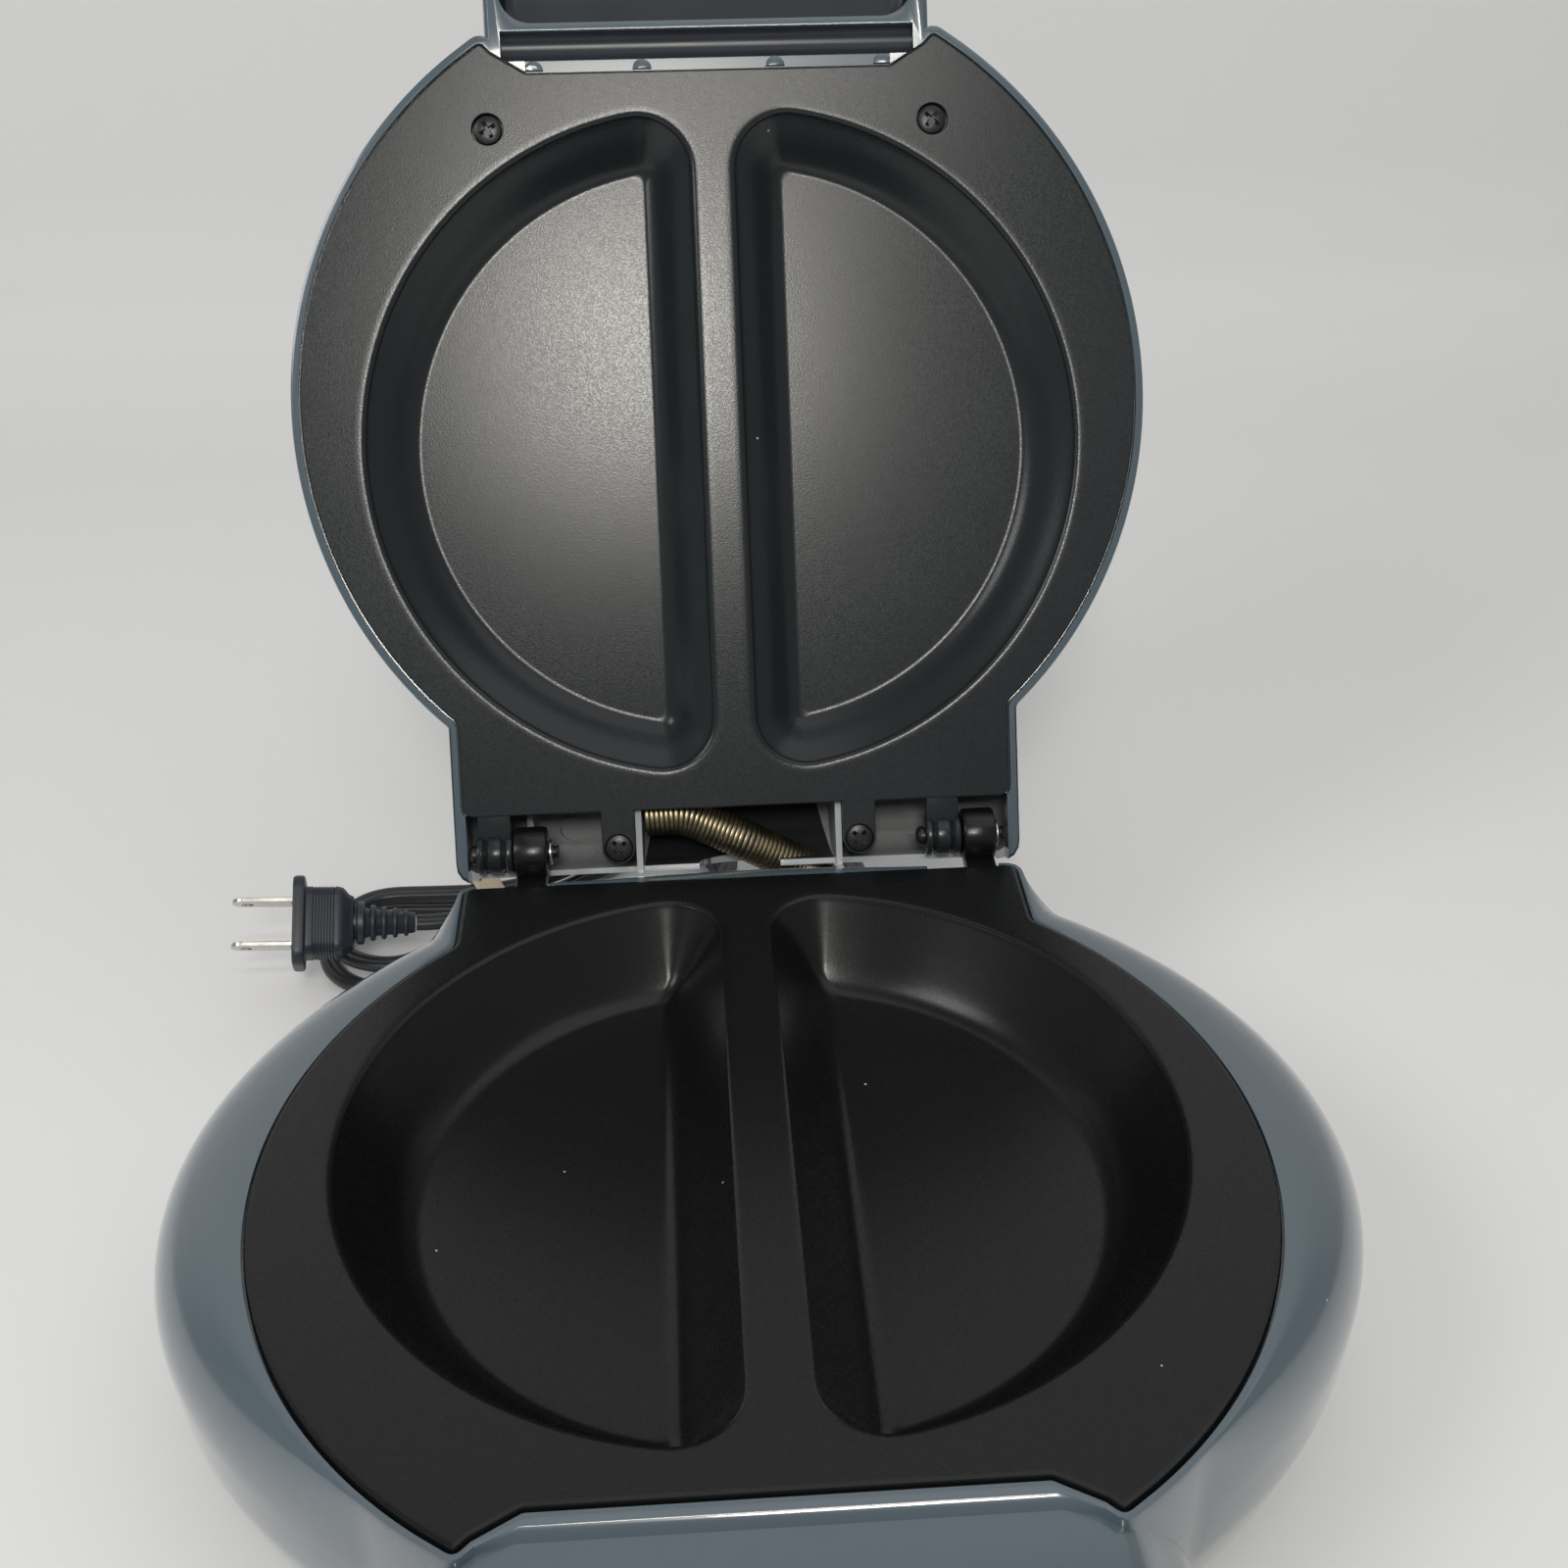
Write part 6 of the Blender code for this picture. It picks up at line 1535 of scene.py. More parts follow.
def run_tree(title: str, source: bpy.types.Mesh, tree: bpy.types.NodeTree,
             values: dict[str, object]) -> bpy.types.Mesh:
    """Run a geometry node tree once and return a plain mesh.

    Args:
        title: The new mesh's name.
        source: The mesh that the tree starts from.
        tree: The tree.
        values: Its inputs by name.

    Returns:
        The mesh.
    """
    carrier = placed(title + "_source", source)
    modifier = carrier.modifiers.new("made", "NODES")
    modifier.node_group = tree
    for item in tree.interface.items_tree:
        if item.item_type == "SOCKET" and item.in_out == "INPUT" and item.name in values:
            modifier[item.identifier] = values[item.name]
    mesh = evaluated_mesh(carrier)
    mesh.name = title
    carrier.modifiers.remove(modifier)
    bpy.data.objects.remove(carrier, do_unlink=True)
    return mesh


@dataclass
class Copies:
    """Sets copies of a small pattern on points of one body."""

    shop: Workshop
    body: Body
    finish: Finish
    turn: float = 0.0
    seed: int = 0

    def make(self, title: str, pattern: Shell, spots: list[tuple[Point3, Point3]],
             nodes: tuple[str, ...] = ()) -> bpy.types.Object:
        """Make the copies as one piece.

        Args:
            title: The piece's name.
            pattern: What is copied, its outer side towards +Z.
            spots: Each copy's place and the way it faces, in the body's own frame.
            nodes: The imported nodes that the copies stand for.

        Returns:
            The piece.
        """
        place = self.shop.place(self.body)
        points = bpy.data.meshes.new(title + "_points")
        points.from_pydata([place @ Vector(spot) for spot, _ in spots], [], [])
        facing = points.attributes.new("facing", "FLOAT_VECTOR", "POINT")
        for item, (_, way) in zip(facing.data, spots):
            item.vector = place.to_3x3() @ Vector(way)
        shape = pattern.solid(title + "_pattern")
        mesh = run_tree(title, points, copies_tree(),
                        {"Pattern": shape, "Scale": 1.0, "Turn": self.turn, "Seed": self.seed,
                         "Material": self.finish.material()})
        bpy.data.objects.remove(shape, do_unlink=True)
        if "facing" in mesh.attributes:
            mesh.attributes.remove(mesh.attributes["facing"])
        smooth_by_angle(mesh)
        return self.shop.piece(title, mesh, self.finish, self.body, *nodes)


def cross_head_screw(seat: ScrewSeat) -> Shell:
    """Return a pan-head screw with a cross recess, its head's face at zero towards +Z."""
    head, shank = seat.head_radius, seat.shank_radius
    body = Shell.turned(
        [(0, 0.0), (head * 0.45, -0.00003), (head * 0.75, -0.00016), (head * 0.93, -0.00038),
         (head, -0.0007), (head, -seat.head_height), (shank, -seat.head_height),
         (shank, -seat.length + 0.001), (0, -seat.length)], Matrix.Identity(4), 40)
    half, wide, deep = 0.0026, 0.00055, 0.0011
    plan = [(half, wide), (wide, wide), (wide, half), (-wide, half), (-wide, wide),
            (-half, wide), (-half, -wide), (-wide, -wide), (-wide, -half), (wide, -half),
            (wide, -wide), (half, -wide)]
    small = [(x * (0.45 if abs(x) == half else 0.8), y * (0.45 if abs(y) == half else 0.8))
             for x, y in plan]
    recess = Shell.through([lift(small, -deep), lift(plan, 0.0001)])
    mesh = shaped(body.solid("screw_body"), [(Shape.CUT, recess)], Matrix.Identity(4))
    made = Shell()
    made.grid.from_mesh(mesh)
    return made


def on_both_sides(*places: Point3) -> list[tuple[Point3, Point3]]:
    """Return places on either side, each with its downward facing."""
    return [((side * x, y, z), DOWN) for side, _ in SIDES for x, y, z in places]


def on_both_names(stem: str, *places: str) -> tuple[str, ...]:
    """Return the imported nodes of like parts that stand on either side."""
    return tuple(f"{stem}_{place}_{word}" for place in places for _, word in SIDES)


@dataclass
class Fastenings:
    """Screws, feet, pins and lamp covers."""

    shop: Workshop
    seat: ScrewSeat = ScrewSeat()
    plate_gap: float = 0.0010
    cover_x: float = 0.097
    cover_y: float = 0.0084
    cover_reach: float = 0.0424
    cover_face: float = -0.0548

    def build(self) -> None:
        """Build every set of copies and the single small parts."""
        face = self.plate_gap + self.seat.sink
        Copies(self.shop, Body.LID, BLACK_SCREW, 1.2, 4).make(
            "plate_screws", cross_head_screw(self.seat),
            on_both_sides((*FRONT_SCREW, face), (*HINGE_SCREW, face)),
            on_both_names("plate_screw", "front", "hinge"))
        ends = [(self.cover_x, self.cover_y + reach, self.cover_face)
                for reach in (-self.cover_reach, self.cover_reach)]
        Copies(self.shop, Body.BASE, BLACK_SCREW, 1.5, 9).make(
            "cover_screws", cross_head_screw(self.seat), on_both_sides(*ends),
            on_both_names("cover_screw", "front", "rear"))
        self.build_feet()
        self.build_pins()
        self.build_lenses()

    def build_feet(self) -> None:
        """Build the four rubber feet as copies with a ringed sole."""
        foot = Shell.turned(
            [(0, -0.0074), (0.0025, -0.0074), (0.0025, -0.0047), (0.0064, -0.0047),
             (0.0069, -0.0044), (0.0070, -0.0039), (0.0066, -0.0012), (0.0061, -0.0003),
             (0.0055, 0.0), (0.0043, 0.0), (0.0041, -0.0004), (0.0028, -0.0004), (0.0026, 0.0),
             (0, 0.0)], Matrix.Identity(4), 40)
        Copies(self.shop, Body.BASE, RUBBER).make(
            "rubber_feet", foot, on_both_sides((0.052, -0.090, FLOOR), (0.060, 0.076, FLOOR)),
            on_both_names("rubber_foot", "front", "rear"))

    def build_pins(self) -> None:
        """Build the hinge pins with domed heads and grooved tails, and their spring clips."""
        for ear, (_, word) in zip(HINGE.lid_ears, SIDES):
            low, high = HINGE.span(ear)
            length = high - low + 0.0026
            pin = Shell.turned(
                [(0, -0.0020), (0.0012, -0.00195), (0.0021, -0.0016), (0.0026, -0.0009),
                 (0.0026, 0.0), (0.0019, 0.0), (0.0019, length - 0.0014),
                 (0.0016, length - 0.0012), (0.0016, length - 0.0008), (0.0019, length - 0.0006),
                 (0.0017, length - 0.0001), (0, length)], HINGE.axle(low), 32)
            self.shop.make(f"hinge_pin_{word}_turned", pin, self.shop.base, BLACK_SCREW,
                           Body.BASE, f"hinge_pin_{word}")
            clip = Shell.turned(
                [(0.0021, 0.0), (0.0031, 0.0), (0.0034, 0.0003), (0.0034, 0.0006),
                 (0.0031, 0.0008), (0.0021, 0.0008), (0.0021, 0.0)], HINGE.axle(high), 32)
            self.shop.make(f"pin_clip_{word}_ring", clip, self.shop.base, STEEL, Body.BASE,
                           f"pin_clip_{word}")

    def build_lenses(self) -> None:
        """Build the two domed lamp covers in the lid's top."""
        for (side, _), word, finish in zip(SIDES, ("power", "ready"), (RED_LENS, GREEN_LENS)):
            lens = Shell.turned(
                [(0, 0.0008), (0.0012, 0.00072), (0.0023, 0.0005), (0.0031, 0.0001),
                 (0.0034, -0.0006), (0.0034, -0.0027), (0.0046, -0.0027), (0.0046, -0.0038),
                 (0, -0.0038)], Matrix.Translation((side * LAMP[0], LAMP[1], LID_TOP)), 40)
            self.shop.make(f"{word}_lamp_cover", lens, self.shop.lid, finish, Body.LID,
                           f"{word}_lens")


# Wound sleeve and cord


def even_points(dense: list[Vector], spacing: float) -> list[Vector]:
    """Return points at an even spacing along a dense line, both ends included."""
    lengths = [0.0]
    for first, second in zip(dense, dense[1:]):
        lengths.append(lengths[-1] + (second - first).length)
    count = max(2, round(lengths[-1] / spacing))
    points, place = [], 0
    for index in range(count + 1):
        goal = lengths[-1] * index / count
        while place < len(dense) - 2 and lengths[place + 1] < goal:
            place += 1
        part = (goal - lengths[place]) / (lengths[place + 1] - lengths[place])
        points.append(dense[place].lerp(dense[place + 1], min(1.0, part)))
    return points


def route_through(knots: list[Vector], spacing: float) -> list[Vector]:
    """Return evenly spaced points on a smooth curve through knots."""
    ends = [2 * knots[0] - knots[1], *knots, 2 * knots[-1] - knots[-2]]
    return even_points([Vector(point) for point in spline(ends, 24)], spacing)


@dataclass
class WoundSleeve:
    """The wound metal sleeve that carries the lid's leads across the hinge."""

    shop: Workshop
    base_x: float = SLEEVE_HOLE[0]
    base_z: float = SLEEVE_HOLE[1]
    lid_x: float = -0.0140
    lid_z: float = 0.01105
    pitch: float = 0.00128
    points_per_curl: int = 18
    mean_radius: float = 0.00510
    strip_half_width: float = 0.00060
    strip_half_height: float = 0.00045
    lining_radius: float = 0.0046
    lid_depth: float = 0.0077
    bends: Point3 = (0.0125, 0.0250, 0.0140)

    def axis(self, spacing: float) -> list[Vector]:
        """Return the sleeve's middle line in the plate frame."""
        hinge = HINGE.spot
        turn = Matrix.Rotation(-math.radians(self.shop.open_angle), 3, "X")
        lid_y = hinge.y - self.lid_depth

        def opened(x: float) -> Vector:
            """Return a point of the closed lid's line with the lid open."""
            return hinge + turn @ (Vector((x, lid_y, self.lid_z)) - hinge)

        start = Vector((self.base_x, TAB_REACH - 0.0019, self.base_z))
        corners = [start, Vector((self.base_x, hinge.y + 0.0088, self.base_z)),
                   hinge + Vector((0.0016, 0.0085, -0.0043)), opened(self.lid_x),
                   opened(-0.0248)]
        dense = [corners[0]]
        for before, corner, after, radius in zip(corners, corners[1:], corners[2:], self.bends):
            back, ahead = (before - corner).normalized(), (after - corner).normalized()
            half = back.angle(ahead) / 2
            middle = corner + (back + ahead).normalized() * radius / math.sin(half)
            first = corner + back * radius / math.tan(half) - middle
            last = corner + ahead * radius / math.tan(half) - middle
            sweep = first.angle(last)
            for step in range(25):
                part = sweep * step / 24
                reach = first * math.sin(sweep - part) + last * math.sin(part)
                dense.append(middle + reach / math.sin(sweep))
        return even_points([*dense, corners[-1]], spacing)

    def frames(self, axis: list[Vector]) -> list[tuple[Vector, Vector, Vector]]:
        """Return each point's tangent and two directions across it, without twist."""
        side = Vector((1, 0, 0))
        result = []
        for index in range(len(axis)):
            ahead = axis[min(index + 1, len(axis) - 1)] - axis[max(index - 1, 0)]
            ahead.normalize()
            side = (side - side.dot(ahead) * ahead).normalized()
            result.append((ahead, side.copy(), ahead.cross(side)))
        return result

    def build(self) -> None:
        """Build the strip wound into curls and its dark lining."""
        axis = self.axis(self.pitch / self.points_per_curl)
        frames = self.frames(axis)
        centres, ways = [], []
        for index, (spot, (ahead, side, other)) in enumerate(zip(axis, frames)):
            turn = FULL_TURN * index / self.points_per_curl
            outwards = side * math.cos(turn) + other * math.sin(turn)
            centres.append(spot + outwards * self.mean_radius)
            ways.append((ahead, outwards))
        section = [(self.strip_half_width * math.cos(turn), self.strip_half_height
                    * math.copysign(abs(math.sin(turn)) ** 0.7, math.sin(turn)))
                   for turn in (FULL_TURN * step / 8 for step in range(8))]
        strip = Shell.swept(centres, ways, section)
        outer = self.shop.make("wound_sleeve", strip, self.shop.base, BRASS, None, "wire_conduit")
        sparse = axis[::9] + [axis[-1]]
        lining = Shell.swept(sparse, [frame[1:] for frame in self.frames(sparse)],
                             circle((0, 0), self.lining_radius, 16))
        inner = self.shop.make("sleeve_lining", lining, self.shop.base, DARK_PLASTIC_AND_PAINTED_SHADE, None)
        for item in (outer, inner):
            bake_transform(item)


@dataclass
class Hank:
    """The route of the cord's folded and tied part, in the plate frame."""

    x: float = -0.0619
    y: float = 0.1721
    angle: float = math.radians(20.0)
    run: float = 0.084
    end_radius: float = 0.0225
    step: float = 0.0061
    layer: float = 0.0060
    draw_in: float = 0.0128
    turns: int = 2
    per_turn: int = 24
    end_points: int = 6
    tail_points: int = 2
    climb: float = 0.125
    waist: float = 1.5
    low: float = FLOOR + 0.0027 + 0.0008 + 0.0008

    def place(self, x: float, y: float, z: float) -> Vector:
        """Return a point of the hank's own plan in the plate frame."""
        cos, sin = math.cos(self.angle), math.sin(self.angle)
        return Vector((self.x + x * cos - y * sin, self.y + x * sin + y * cos, z))

    def loop(self, turn: float, radius: float) -> Point2:
        """Return a point of the plan at a turn count, for ends of a given radius."""
        half = self.run / 2
        share = turn % 1.0
        end = self.end_points / self.per_turn
        run = (1 - 2 * end) / 4
        if share < run:
            x, y = -half * share / run, -radius
        elif share < run + end:
            angle = math.pi * (share - run) / end
            x, y = -half - radius * math.sin(angle), -radius * math.cos(angle)
        elif share < 3 * run + end:
            x, y = half * ((share - run - end) / run - 1), radius
        elif share < 3 * run + 2 * end:
            angle = math.pi * (share - 3 * run - end) / end
            x, y = half + radius * math.sin(angle), radius * math.cos(angle)
        else:
            x, y = half * (1 - share) / run, -radius
        if abs(x) < half:
            y -= math.copysign(self.draw_in, y) * (1 - (x / half) ** 2) ** self.waist
        return x, y

    def points(self, cord_width: float, gap: float) -> list[Vector]:
        """Return the hank's middle line."""
        points = [self.place(cord_width, self.draw_in - self.end_radius - gap * 2, self.low)]
        for index in range(self.turns * self.per_turn - self.tail_points + 1):
            turn = index / self.per_turn
            radius = self.end_radius - self.step * (1 - abs(turn - 1))
            rise = min(1.0, max(0.0, (turn - 1 + self.climb) / (2 * self.climb)))
            rise = rise * rise * (3 - 2 * rise)
            x, y = self.loop(turn, radius)
            points.append(self.place(x, y, self.low + self.layer * rise))
        return points


@dataclass
class PlugSizes:
    """Sizes and placing of the moulded plug, whose own Z runs from its face along its cord."""

    place_at: Point3 = (-0.1269, 0.1419, -0.0360)
    angle: float = 6.0
    dip: float = 6.8
    roll: float = 42.0
    half_width: float = 0.0130
    half_depth: float = 0.0085
    flange: float = 0.0032
    body: float = 0.0125
    body_share: float = 0.77
    collar: float = 0.0072
    relief: float = 0.0183
    relief_root: float = 0.0052
    relief_tip: float = 0.0038
    blade_spacing: float = 0.0127
    blade_width: float = 0.0063
    blade_thickness: float = 0.0015
    blade_length: float = 0.0170

    @property
    def length(self) -> float:
        """The plug's length from its face to the end of its relief."""
        return self.flange + self.body + self.relief

    @property
    def matrix(self) -> Matrix:
        """Where the plug lies in the plate frame."""
        aim = Euler((0, math.pi / 2 + math.radians(self.dip), math.radians(self.angle)))
        roll = Matrix.Rotation(math.radians(self.roll), 4, "Z")
        return Matrix.Translation(self.place_at) @ aim.to_matrix().to_4x4() @ roll


@dataclass
class Cord:
    """The flat twin cord with its gland, its tied hank and its plug."""

    shop: Workshop
    plug: PlugSizes = field(default_factory=PlugSizes)
    hank: Hank = field(default_factory=Hank)
    width: float = 0.0054
    thickness: float = 0.0036
    gap: float = 0.0003
    gland_x: float = CORD_HOLE[0]
    gland_z: float = CORD_HOLE[1]
    gland_y: float = 0.1130
    gland_flange: float = 0.0020
    boot: float = 0.025
    lowered: float = 0.0012
    tie_shift: float = -0.0120
    tie_width: float = 0.0080
    tie_thickness: float = 0.0008
    spacing: float = 0.0018
    easings: int = 4

    def boot_end(self) -> Vector:
        """Return where the cord leaves its gland, in the plate frame."""
        return Vector((self.gland_x, self.gland_y + self.gland_flange + self.boot + self.gap * 2,
                       self.gland_z))

    def line(self) -> list[Vector]:
        """Return the cord's whole middle line in the row's frame, at an even spacing."""
        hank = self.hank.points(self.width, self.gap)
        first = (hank[0] - hank[1]).normalized()
        last = (hank[-1] - hank[-2]).normalized()
        tab = Vector((0, TAB_REACH, 0))
        lead_knots = [(0.0332, 0.0584, -0.0353), (0.0252, 0.0664, -0.0405),
                      (0.0140, 0.0694, -0.0465), (0.0040, 0.0676, -0.0510),
                      (-0.0082, 0.0616, -0.0548), (-0.0253, 0.0605, -0.0557),
                      (-0.0408, 0.0612, -0.0557)]
        tail_knots = [(0.0100, -0.0130, -0.0464), (-0.0060, -0.0138, -0.0424),
                      (-0.0200, -0.0164, -0.0414)]
        exit_at = self.boot_end()
        plug = self.plug.matrix
        lead = route_through([exit_at + Vector((0, self.width, 0)),
                              *[tab + Vector(knot) for knot in lead_knots],
                              hank[0] + first * self.width], self.width)
        tail = route_through([hank[-1] + last * self.width,
                              *[self.hank.place(*knot) for knot in tail_knots],
                              plug @ Vector((0, 0, self.plug.length + self.width))], self.width)
        ends_at = plug @ Vector((0, 0, self.plug.length + self.gap))
        line = route_through([exit_at, *lead, *hank[1:], *tail, ends_at], self.spacing)
        for _ in range(self.easings):
            line[1:-1] = [(a + b * 2 + c) / 4 for a, b, c in zip(line, line[1:], line[2:])]
        line = even_points(line, self.spacing)
        return [self.shop.base @ self.settled(spot) for spot in line]

    def settled(self, spot: Vector) -> Vector:
        """Return a point of the line let down by what the flat cord is thinner than a round one."""
        above = spot.z - FLOOR
        share = min(1.0, max(0.0, (0.018 - above) / 0.0075))
        return spot - Vector((0, 0, self.lowered * share * share * (3 - 2 * share)))

    def section(self) -> list[Point2]:
        """Return the outline of two cores side by side with a shallow groove between them."""
        outline = []
        for step in range(24):
            turn = FULL_TURN * step / 24
            across = math.cos(turn)
            swell = 1 - 0.34 * math.exp(-(across / 0.22) ** 2)
            rise = math.copysign(abs(math.sin(turn)) ** 0.62, math.sin(turn)) * swell
            outline.append((across * self.width / 2, rise * self.thickness / 2))
        return outline

    def build(self) -> None:
        line = self.line()
        frames = []
        for index in range(len(line)):
            ahead = (line[min(index + 1, len(line) - 1)] - line[max(index - 1, 0)]).normalized()
            side = ahead.cross(Vector((0, 0, 1))).normalized()
            frames.append((side, side.cross(ahead)))
        shell = Shell.swept(line, frames, self.section())
        lead = self.shop.make("flat_cord", shell, None, VINYL, Body.BASE, "cord_lead",
                              "cord_hank", "cord_tail")
        self.build_gland()
        pieces = [self.build_tie(), self.build_plug(), self.build_relief()]
        pieces += self.build_blades()

    def ribs(self, title: str, count: int, start: float, pitch: float,
             radii: tuple[float, float, float], place: Matrix) -> bpy.types.Mesh:
        """Return a row of round ribs on a taper.

        Args:
            title: The mesh's name.
            count: How many ribs.
            start: The first one's height.
            pitch: From one to the next.
            radii: The first one's, the last one's and the rib's own radius.
            place: Where the taper's axis stands in the row's frame.

        Returns:
            The mesh.
        """
        mesh = run_tree(title, bpy.data.meshes.new(title + "_start"), ribs_tree(),
                        {"Count": count, "Start": start, "Pitch": pitch,
                         "Root Radius": radii[0], "Tip Radius": radii[1],
                         "Rib Radius": radii[2], "Material": RUBBER.material()})
        mesh.transform(place)
        return mesh

    def build_gland(self) -> None:
        """Build the gland's flange, neck and tapered boot, and the ribs round the boot."""
        place = (self.shop.base @ Matrix.Translation((self.gland_x, 0, self.gland_z))
                 @ Matrix.Rotation(-math.pi / 2, 4, "X"))
        outer = self.gland_y + self.gap
        face = outer + self.gland_flange
        tip = face + self.boot
        shell = Shell.turned(
            [(0, 0.1010), (0.0048, 0.1010), (0.0048, outer), (0.0073, outer),
             (0.0075, outer + 0.0003), (0.0075, face - 0.0006), (0.0071, face),
             (0.0060, face + 0.0002), (0.0053, face + 0.0010), (0.0048, face + 0.006),
             (0.0033, tip - 0.0015), (0.0033, tip - 0.0004), (0.0030, tip), (0, tip)], place, 48)
        self.shop.make("gland_boot", shell, None, RUBBER, Body.BASE, "cord_gland")
        mesh = self.ribs("gland_ribs", 7, face + 0.0035, 0.0030, (0.0047, 0.0032, 0.0007), place)
        self.shop.piece("gland_ribs", mesh, RUBBER, Body.BASE)

    def build_tie(self) -> bpy.types.Object:
        """Build the cream band round the hank's waist."""
        hank = self.hank
        reach = abs(self.tie_shift) + self.tie_width / 2
        drawn = hank.draw_in * (1 - (reach / (hank.run / 2)) ** 2) ** hank.waist
        half = hank.end_radius - hank.step / 4 - drawn + self.width / 2 + self.tie_thickness
        rise = (hank.layer + self.width) / 2 + self.tie_thickness - self.lowered / 2
        middle = hank.place(self.tie_shift, -hank.step / 4, FLOOR + self.tie_thickness + rise)
        turn = Matrix.Rotation(hank.angle, 4, "Z") @ Euler(
            (math.pi / 2, 0, math.pi / 2)).to_matrix().to_4x4()
        place = self.shop.base @ Matrix.Translation(middle) @ turn
        half_width = self.tie_width / 2
        thick = self.tie_thickness
        outside = [(0.0, half_width), (0.0005, half_width), (thick, half_width - 0.0004),
                   (thick, half_width - 0.0015), (0.00055, half_width - 0.0020)]
        band = [*outside, *((extra, -along) for extra, along in reversed(outside)), outside[0]]
        shell = Shell()
        shell.loft([lift(rounded_box(half + extra, rise + extra, self.width / 2 + extra), along)
                    for extra, along in band], caps=False)
        return self.shop.make("hank_band", shell, place, CREAM, Body.BASE, "cord_tie")

    def build_plug(self) -> bpy.types.Object:
        """Build the plug's face slab and its grooved grip."""
        plug = self.plug
        place = self.shop.base @ plug.matrix
        levels = [(0.0, 0.965), (0.0004, 0.99), (0.0010, 1.0), (plug.flange - 0.0008, 1.0),
                  (plug.flange - 0.0002, 0.985), (plug.flange, 0.96), (plug.flange, 0.80),
                  (plug.flange + 0.0004, plug.body_share)]
        grip = plug.body * 0.8
        start = plug.flange + 0.0012
        for step in range(65):
            share = step / 64
            wave = 0.5 - 0.5 * math.cos(share * 8 * FULL_TURN)
            levels.append((start + (grip - 0.0026) * (0.12 + 0.88 * share),
                           plug.body_share - 0.022 * wave))
        top = plug.flange + plug.body
        levels += [(top - 0.0020, 0.74), (top - 0.0010, 0.66), (top - 0.0004, 0.60),
                   (top + 0.0008, 0.56), (top + 0.0012, 0.50)]
        rings = []
        for along, share in levels:
            half_x, half_y = plug.half_depth * share, plug.half_width * share
            rings.append(lift(rounded_box(half_x, half_y, half_x * 0.5), along))
        return self.shop.make("plug_moulding", Shell.through(rings), place, PLUG_RUBBER,
                              Body.BASE, "plug_body")

    def build_relief(self) -> bpy.types.Object:
        """Build the plug's tapered relief with its neck, collar and ribs."""
        plug = self.plug
        place = self.shop.base @ plug.matrix
        start = plug.flange + plug.body
        mesh = self.ribs("plug_relief_ribs", 4, start + 0.0064, 0.0031,
                         (plug.relief_root - 0.0008, plug.relief_tip - 0.0005, 0.00085), place)
        core = Shell()
        core.grid.from_mesh(mesh)
        neck, collar = plug.relief_root - 0.0006, plug.collar * 0.86
        core.spin([(0, start - 0.002), (neck, start - 0.0010), (neck, start + 0.0016),
                   (collar - 0.0004, start + 0.0018), (collar, start + 0.0022),
                   (collar, start + 0.0036), (collar - 0.0004, start + 0.0040),
                   (plug.relief_root - 0.0008, start + 0.0042),
                   (plug.relief_root - 0.0012, start + 0.0052),
                   (plug.relief_tip - 0.0008, plug.length - 0.0006),
                   (plug.relief_tip - 0.0011, plug.length), (0, plug.length)], place, 40)
        return self.shop.make("plug_relief", core, None, PLUG_RUBBER, Body.BASE)

    def build_blades(self) -> list[bpy.types.Object]:
        """Build both blades with rounded tips, eased edges and a hole near the tip."""
        plug = self.plug
        blades = []
        for side, word in ((-1, "lower"), (1, "upper")):
            half, reach = plug.blade_width / 2, plug.blade_length
            bend = half * 0.98 - reach
            outline = [(half, -self.gap), (half, bend),
                       *arc((0.0, bend), half * 0.999, 0, -math.pi, 24)[1:-1], (-half, bend),
                       (-half, -self.gap)][::-1]
            hole = circle((0.0, -reach + 0.0042), 0.0016, 28)
            shell = Shell()
            thick, ease = plug.blade_thickness / 2, 0.0003
            skin = shell.loft([lift(offset(outline, -ease), -thick),
                               lift(outline, -thick + ease), lift(outline, thick - ease),
                               lift(offset(outline, -ease), thick)], caps=False)
            rim = shell.loft([lift(hole, -thick), lift(hole, thick)], caps=False)
            shell.cap(skin[0], rim[0])
            shell.cap(skin[-1], rim[-1])
            stand = (Matrix.Translation((0, side * plug.blade_spacing / 2, 0))
                     @ Matrix.Rotation(math.pi / 2, 4, "X"))
            blades.append(self.shop.make(f"blade_{word}", shell,
                                         self.shop.base @ plug.matrix @ stand, BLADE, Body.BASE,
                                         f"plug_blade_{word}"))
        return blades


# Studio


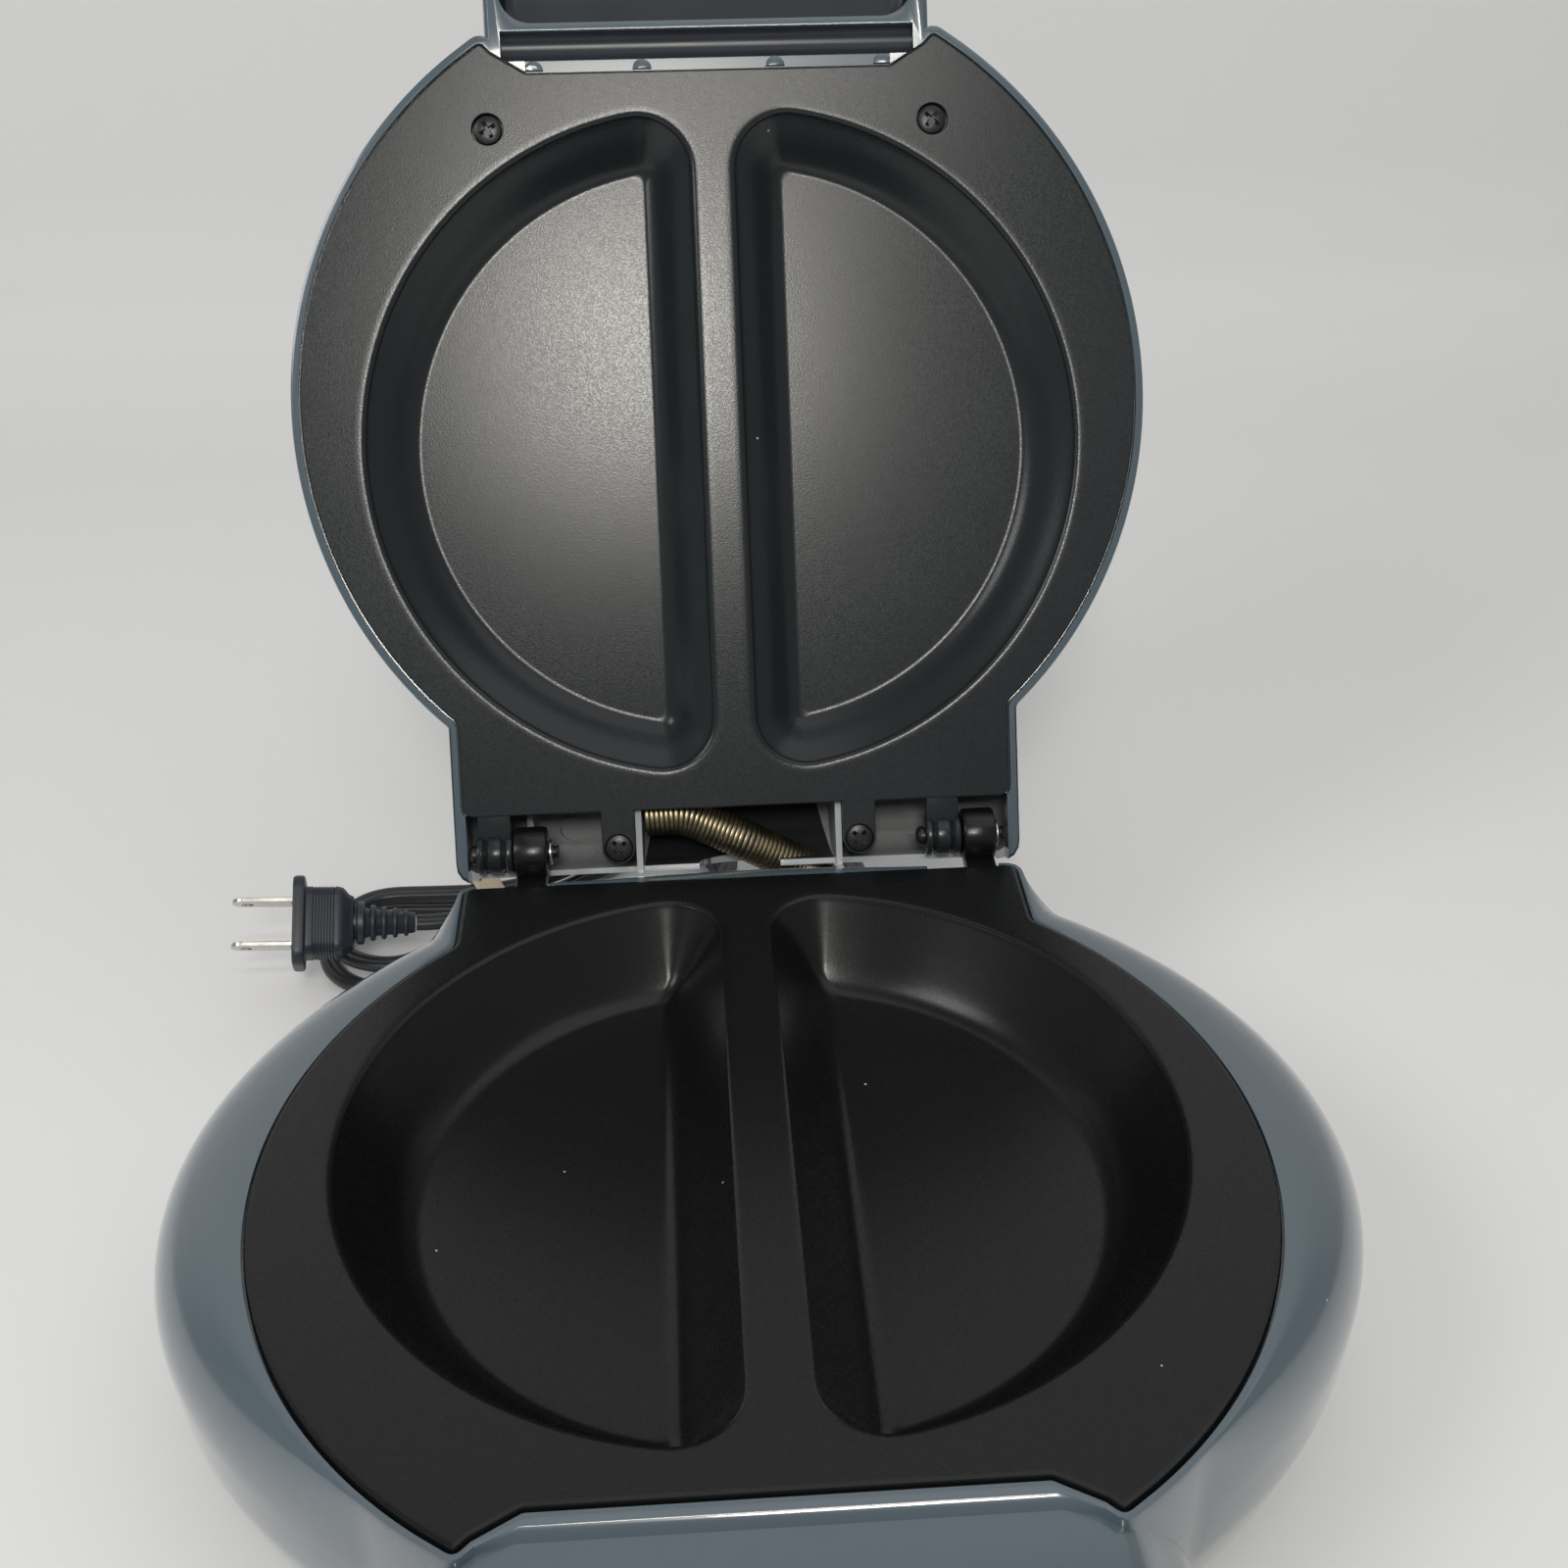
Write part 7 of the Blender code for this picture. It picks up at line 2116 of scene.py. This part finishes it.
@dataclass(frozen=True)
class Studio:
    """The photograph's view, the pale table, the lamps and the soft room light."""

    camera_at: Point3 = (-0.010934, -0.284409, 0.269274)
    camera_right: Point3 = (0.99791842, -0.06366521, -0.0102749)
    camera_up: Point3 = (0.04231741, 0.5262374, 0.84928407)
    camera_ahead: Point3 = (0.04866281, 0.84795103, -0.52783614)
    lens: float = 41.636
    key_power: float = 5.8
    upper_power: float = 2.1
    side_power: float = 4.3
    fill_power: float = 5.4
    world_strength: float = 0.29

    def place_camera(self, base: Matrix) -> None:
        """Place the camera where the photograph was taken from."""
        data = bpy.data.cameras.new("photo_view")
        data.sensor_width = 36.0
        data.sensor_fit = "HORIZONTAL"
        data.lens = self.lens
        data.clip_start = 0.01
        camera = placed("photo_view", data)
        axes = Matrix((self.camera_right, self.camera_up,
                       [-part for part in self.camera_ahead])).transposed()
        camera.matrix_world = (Matrix.Translation(base @ Vector(self.camera_at))
                               @ axes.to_4x4())
        bpy.context.scene.camera = camera

    def lamp(self, title: str, at: Point3, target: Point3, size: tuple[float, float],
             power: float, color: Color = (1.0, 1.0, 1.0)) -> None:
        """Hang a soft oblong lamp that points at a target."""
        data = bpy.data.lights.new(title, "AREA")
        data.shape = "RECTANGLE"
        data.size, data.size_y = size
        data.energy = power
        data.color = color
        item = placed(title, data)
        aim = (Vector(target) - Vector(at)).to_track_quat("-Z", "Y")
        item.matrix_world = Matrix.Translation(at) @ aim.to_matrix().to_4x4()

    @staticmethod
    def paper() -> bpy.types.Material:
        """Return the plain pale matt material of the table and its upturned back."""
        material = bpy.data.materials.new("table_paper")
        material.use_nodes = True
        shader = material.node_tree.nodes["Principled BSDF"]
        shader.inputs["Base Color"].default_value = (0.77, 0.77, 0.77, 1)
        shader.inputs["Roughness"].default_value = 0.75
        shader.inputs["Specular IOR Level"].default_value = 0.2
        return material

    def lay_table(self) -> None:
        """Lay the pale sheet that curves up behind the cooker."""
        profile = [(-3.0, 0.0), (0.50, 0.0), (0.56, 0.005), (0.60, 0.02), (0.63, 0.05),
                   (0.64, 0.10), (0.64, 2.2)]
        mesh = bpy.data.meshes.new("table_sweep")
        mesh.from_pydata([(x, y, z) for y, z in profile for x in (-3.0, 3.0)], [],
                         [(at, at + 1, at + 3, at + 2) for at in range(0, 2 * len(profile) - 2, 2)])
        mesh.shade_smooth()
        mesh.materials.append(self.paper())
        placed("table_sweep", mesh)

    def build(self) -> None:
        """Lay the table, hang the lamps and light the room."""
        self.lay_table()
        warm = (1.0, 0.965, 0.90)
        self.lamp("key_lamp", (-0.050, -0.965, 0.92), (-0.03, 0.10, 0.19), (0.22, 0.22),
                  self.key_power, warm)
        self.lamp("upper_lamp", (0.02, -0.80, 1.13), (0.0, 0.16, 0.27), (0.40, 0.07),
                  self.upper_power, warm)
        self.lamp("side_lamp", (-0.95, -0.50, 1.05), (0.0, 0.0, 0.05), (0.5, 0.5),
                  self.side_power)
        self.lamp("overhead_lamp", (0.45, 0.1, 1.6), (0.0, 0.02, 0.0), (1.6, 1.6),
                  self.fill_power)
        world = bpy.data.worlds.new("soft_room")
        world.use_nodes = True
        background = world.node_tree.nodes["Background"]
        background.inputs["Color"].default_value = (0.96, 0.98, 1.0, 1)
        background.inputs["Strength"].default_value = self.world_strength
        bpy.context.scene.world = world
        bpy.context.scene.view_settings.view_transform = "Standard"


# The whole cooker


@dataclass
class BreakfastCooker:
    """Builds the cooker's sub-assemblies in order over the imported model."""

    frame: dict

    def dress_nodes(self) -> None:
        """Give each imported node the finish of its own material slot."""
        finishes = {finish.slot: finish for finish in FINISHES}
        slots = {part["node"]: part["material_slot"]
                 for part in self.frame["record"]["subparts"]}
        for node, item in self.frame["nodes"].items():
            for slot in item.material_slots:
                slot.material = finishes[slots[node]].material()

    def build(self) -> None:
        """Build the view, the cord and then every other sub-assembly."""
        shop = Workshop(Vector(self.frame["joints"][0]["pos_m"]))
        studio = Studio()
        studio.place_camera(shop.base)
        Cord(shop).build()
        self.dress_nodes()
        LowerPlate(shop, "lower_cooking_plate", "lower_plate", Body.BASE, face=0.0, sense=-1,
                   rib_half=0.0069, depth=0.020, inset=0.0150,
                   knots=((0.37, 0.50), (0.74, 0.88), (1.0, 1.0), (1.25, 1.0))).build()
        spots = tuple((side * FRONT_SCREW[0], FRONT_SCREW[1]) for side, _ in SIDES)
        # The lid's plate uses the coating painted lighter, as painted light.
        UpperPlate(shop, "upper_cooking_plate", "upper_plate", Body.LID, face=0.0010, sense=1,
                   rib_half=0.0060, depth=0.011, inset=0.0118,
                   knots=((0.37, 0.46), (0.72, 0.84), (0.95, 0.99), (1.10, 1.0)),
                   screw_spots=spots, edge=0.0004, finish=LID_NONSTICK_PAINTED_LIGHTER).build()
        BaseHousing(shop).build()
        LidHousing(shop).build()
        Fastenings(shop).build()
        WoundSleeve(shop).build()
        studio.build()


def main() -> None:
    """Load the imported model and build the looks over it."""
    logging.basicConfig(level=logging.INFO, format="%(name)s: %(message)s")
    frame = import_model()
    BreakfastCooker(frame).build()


if __name__ == "__main__":
    main()
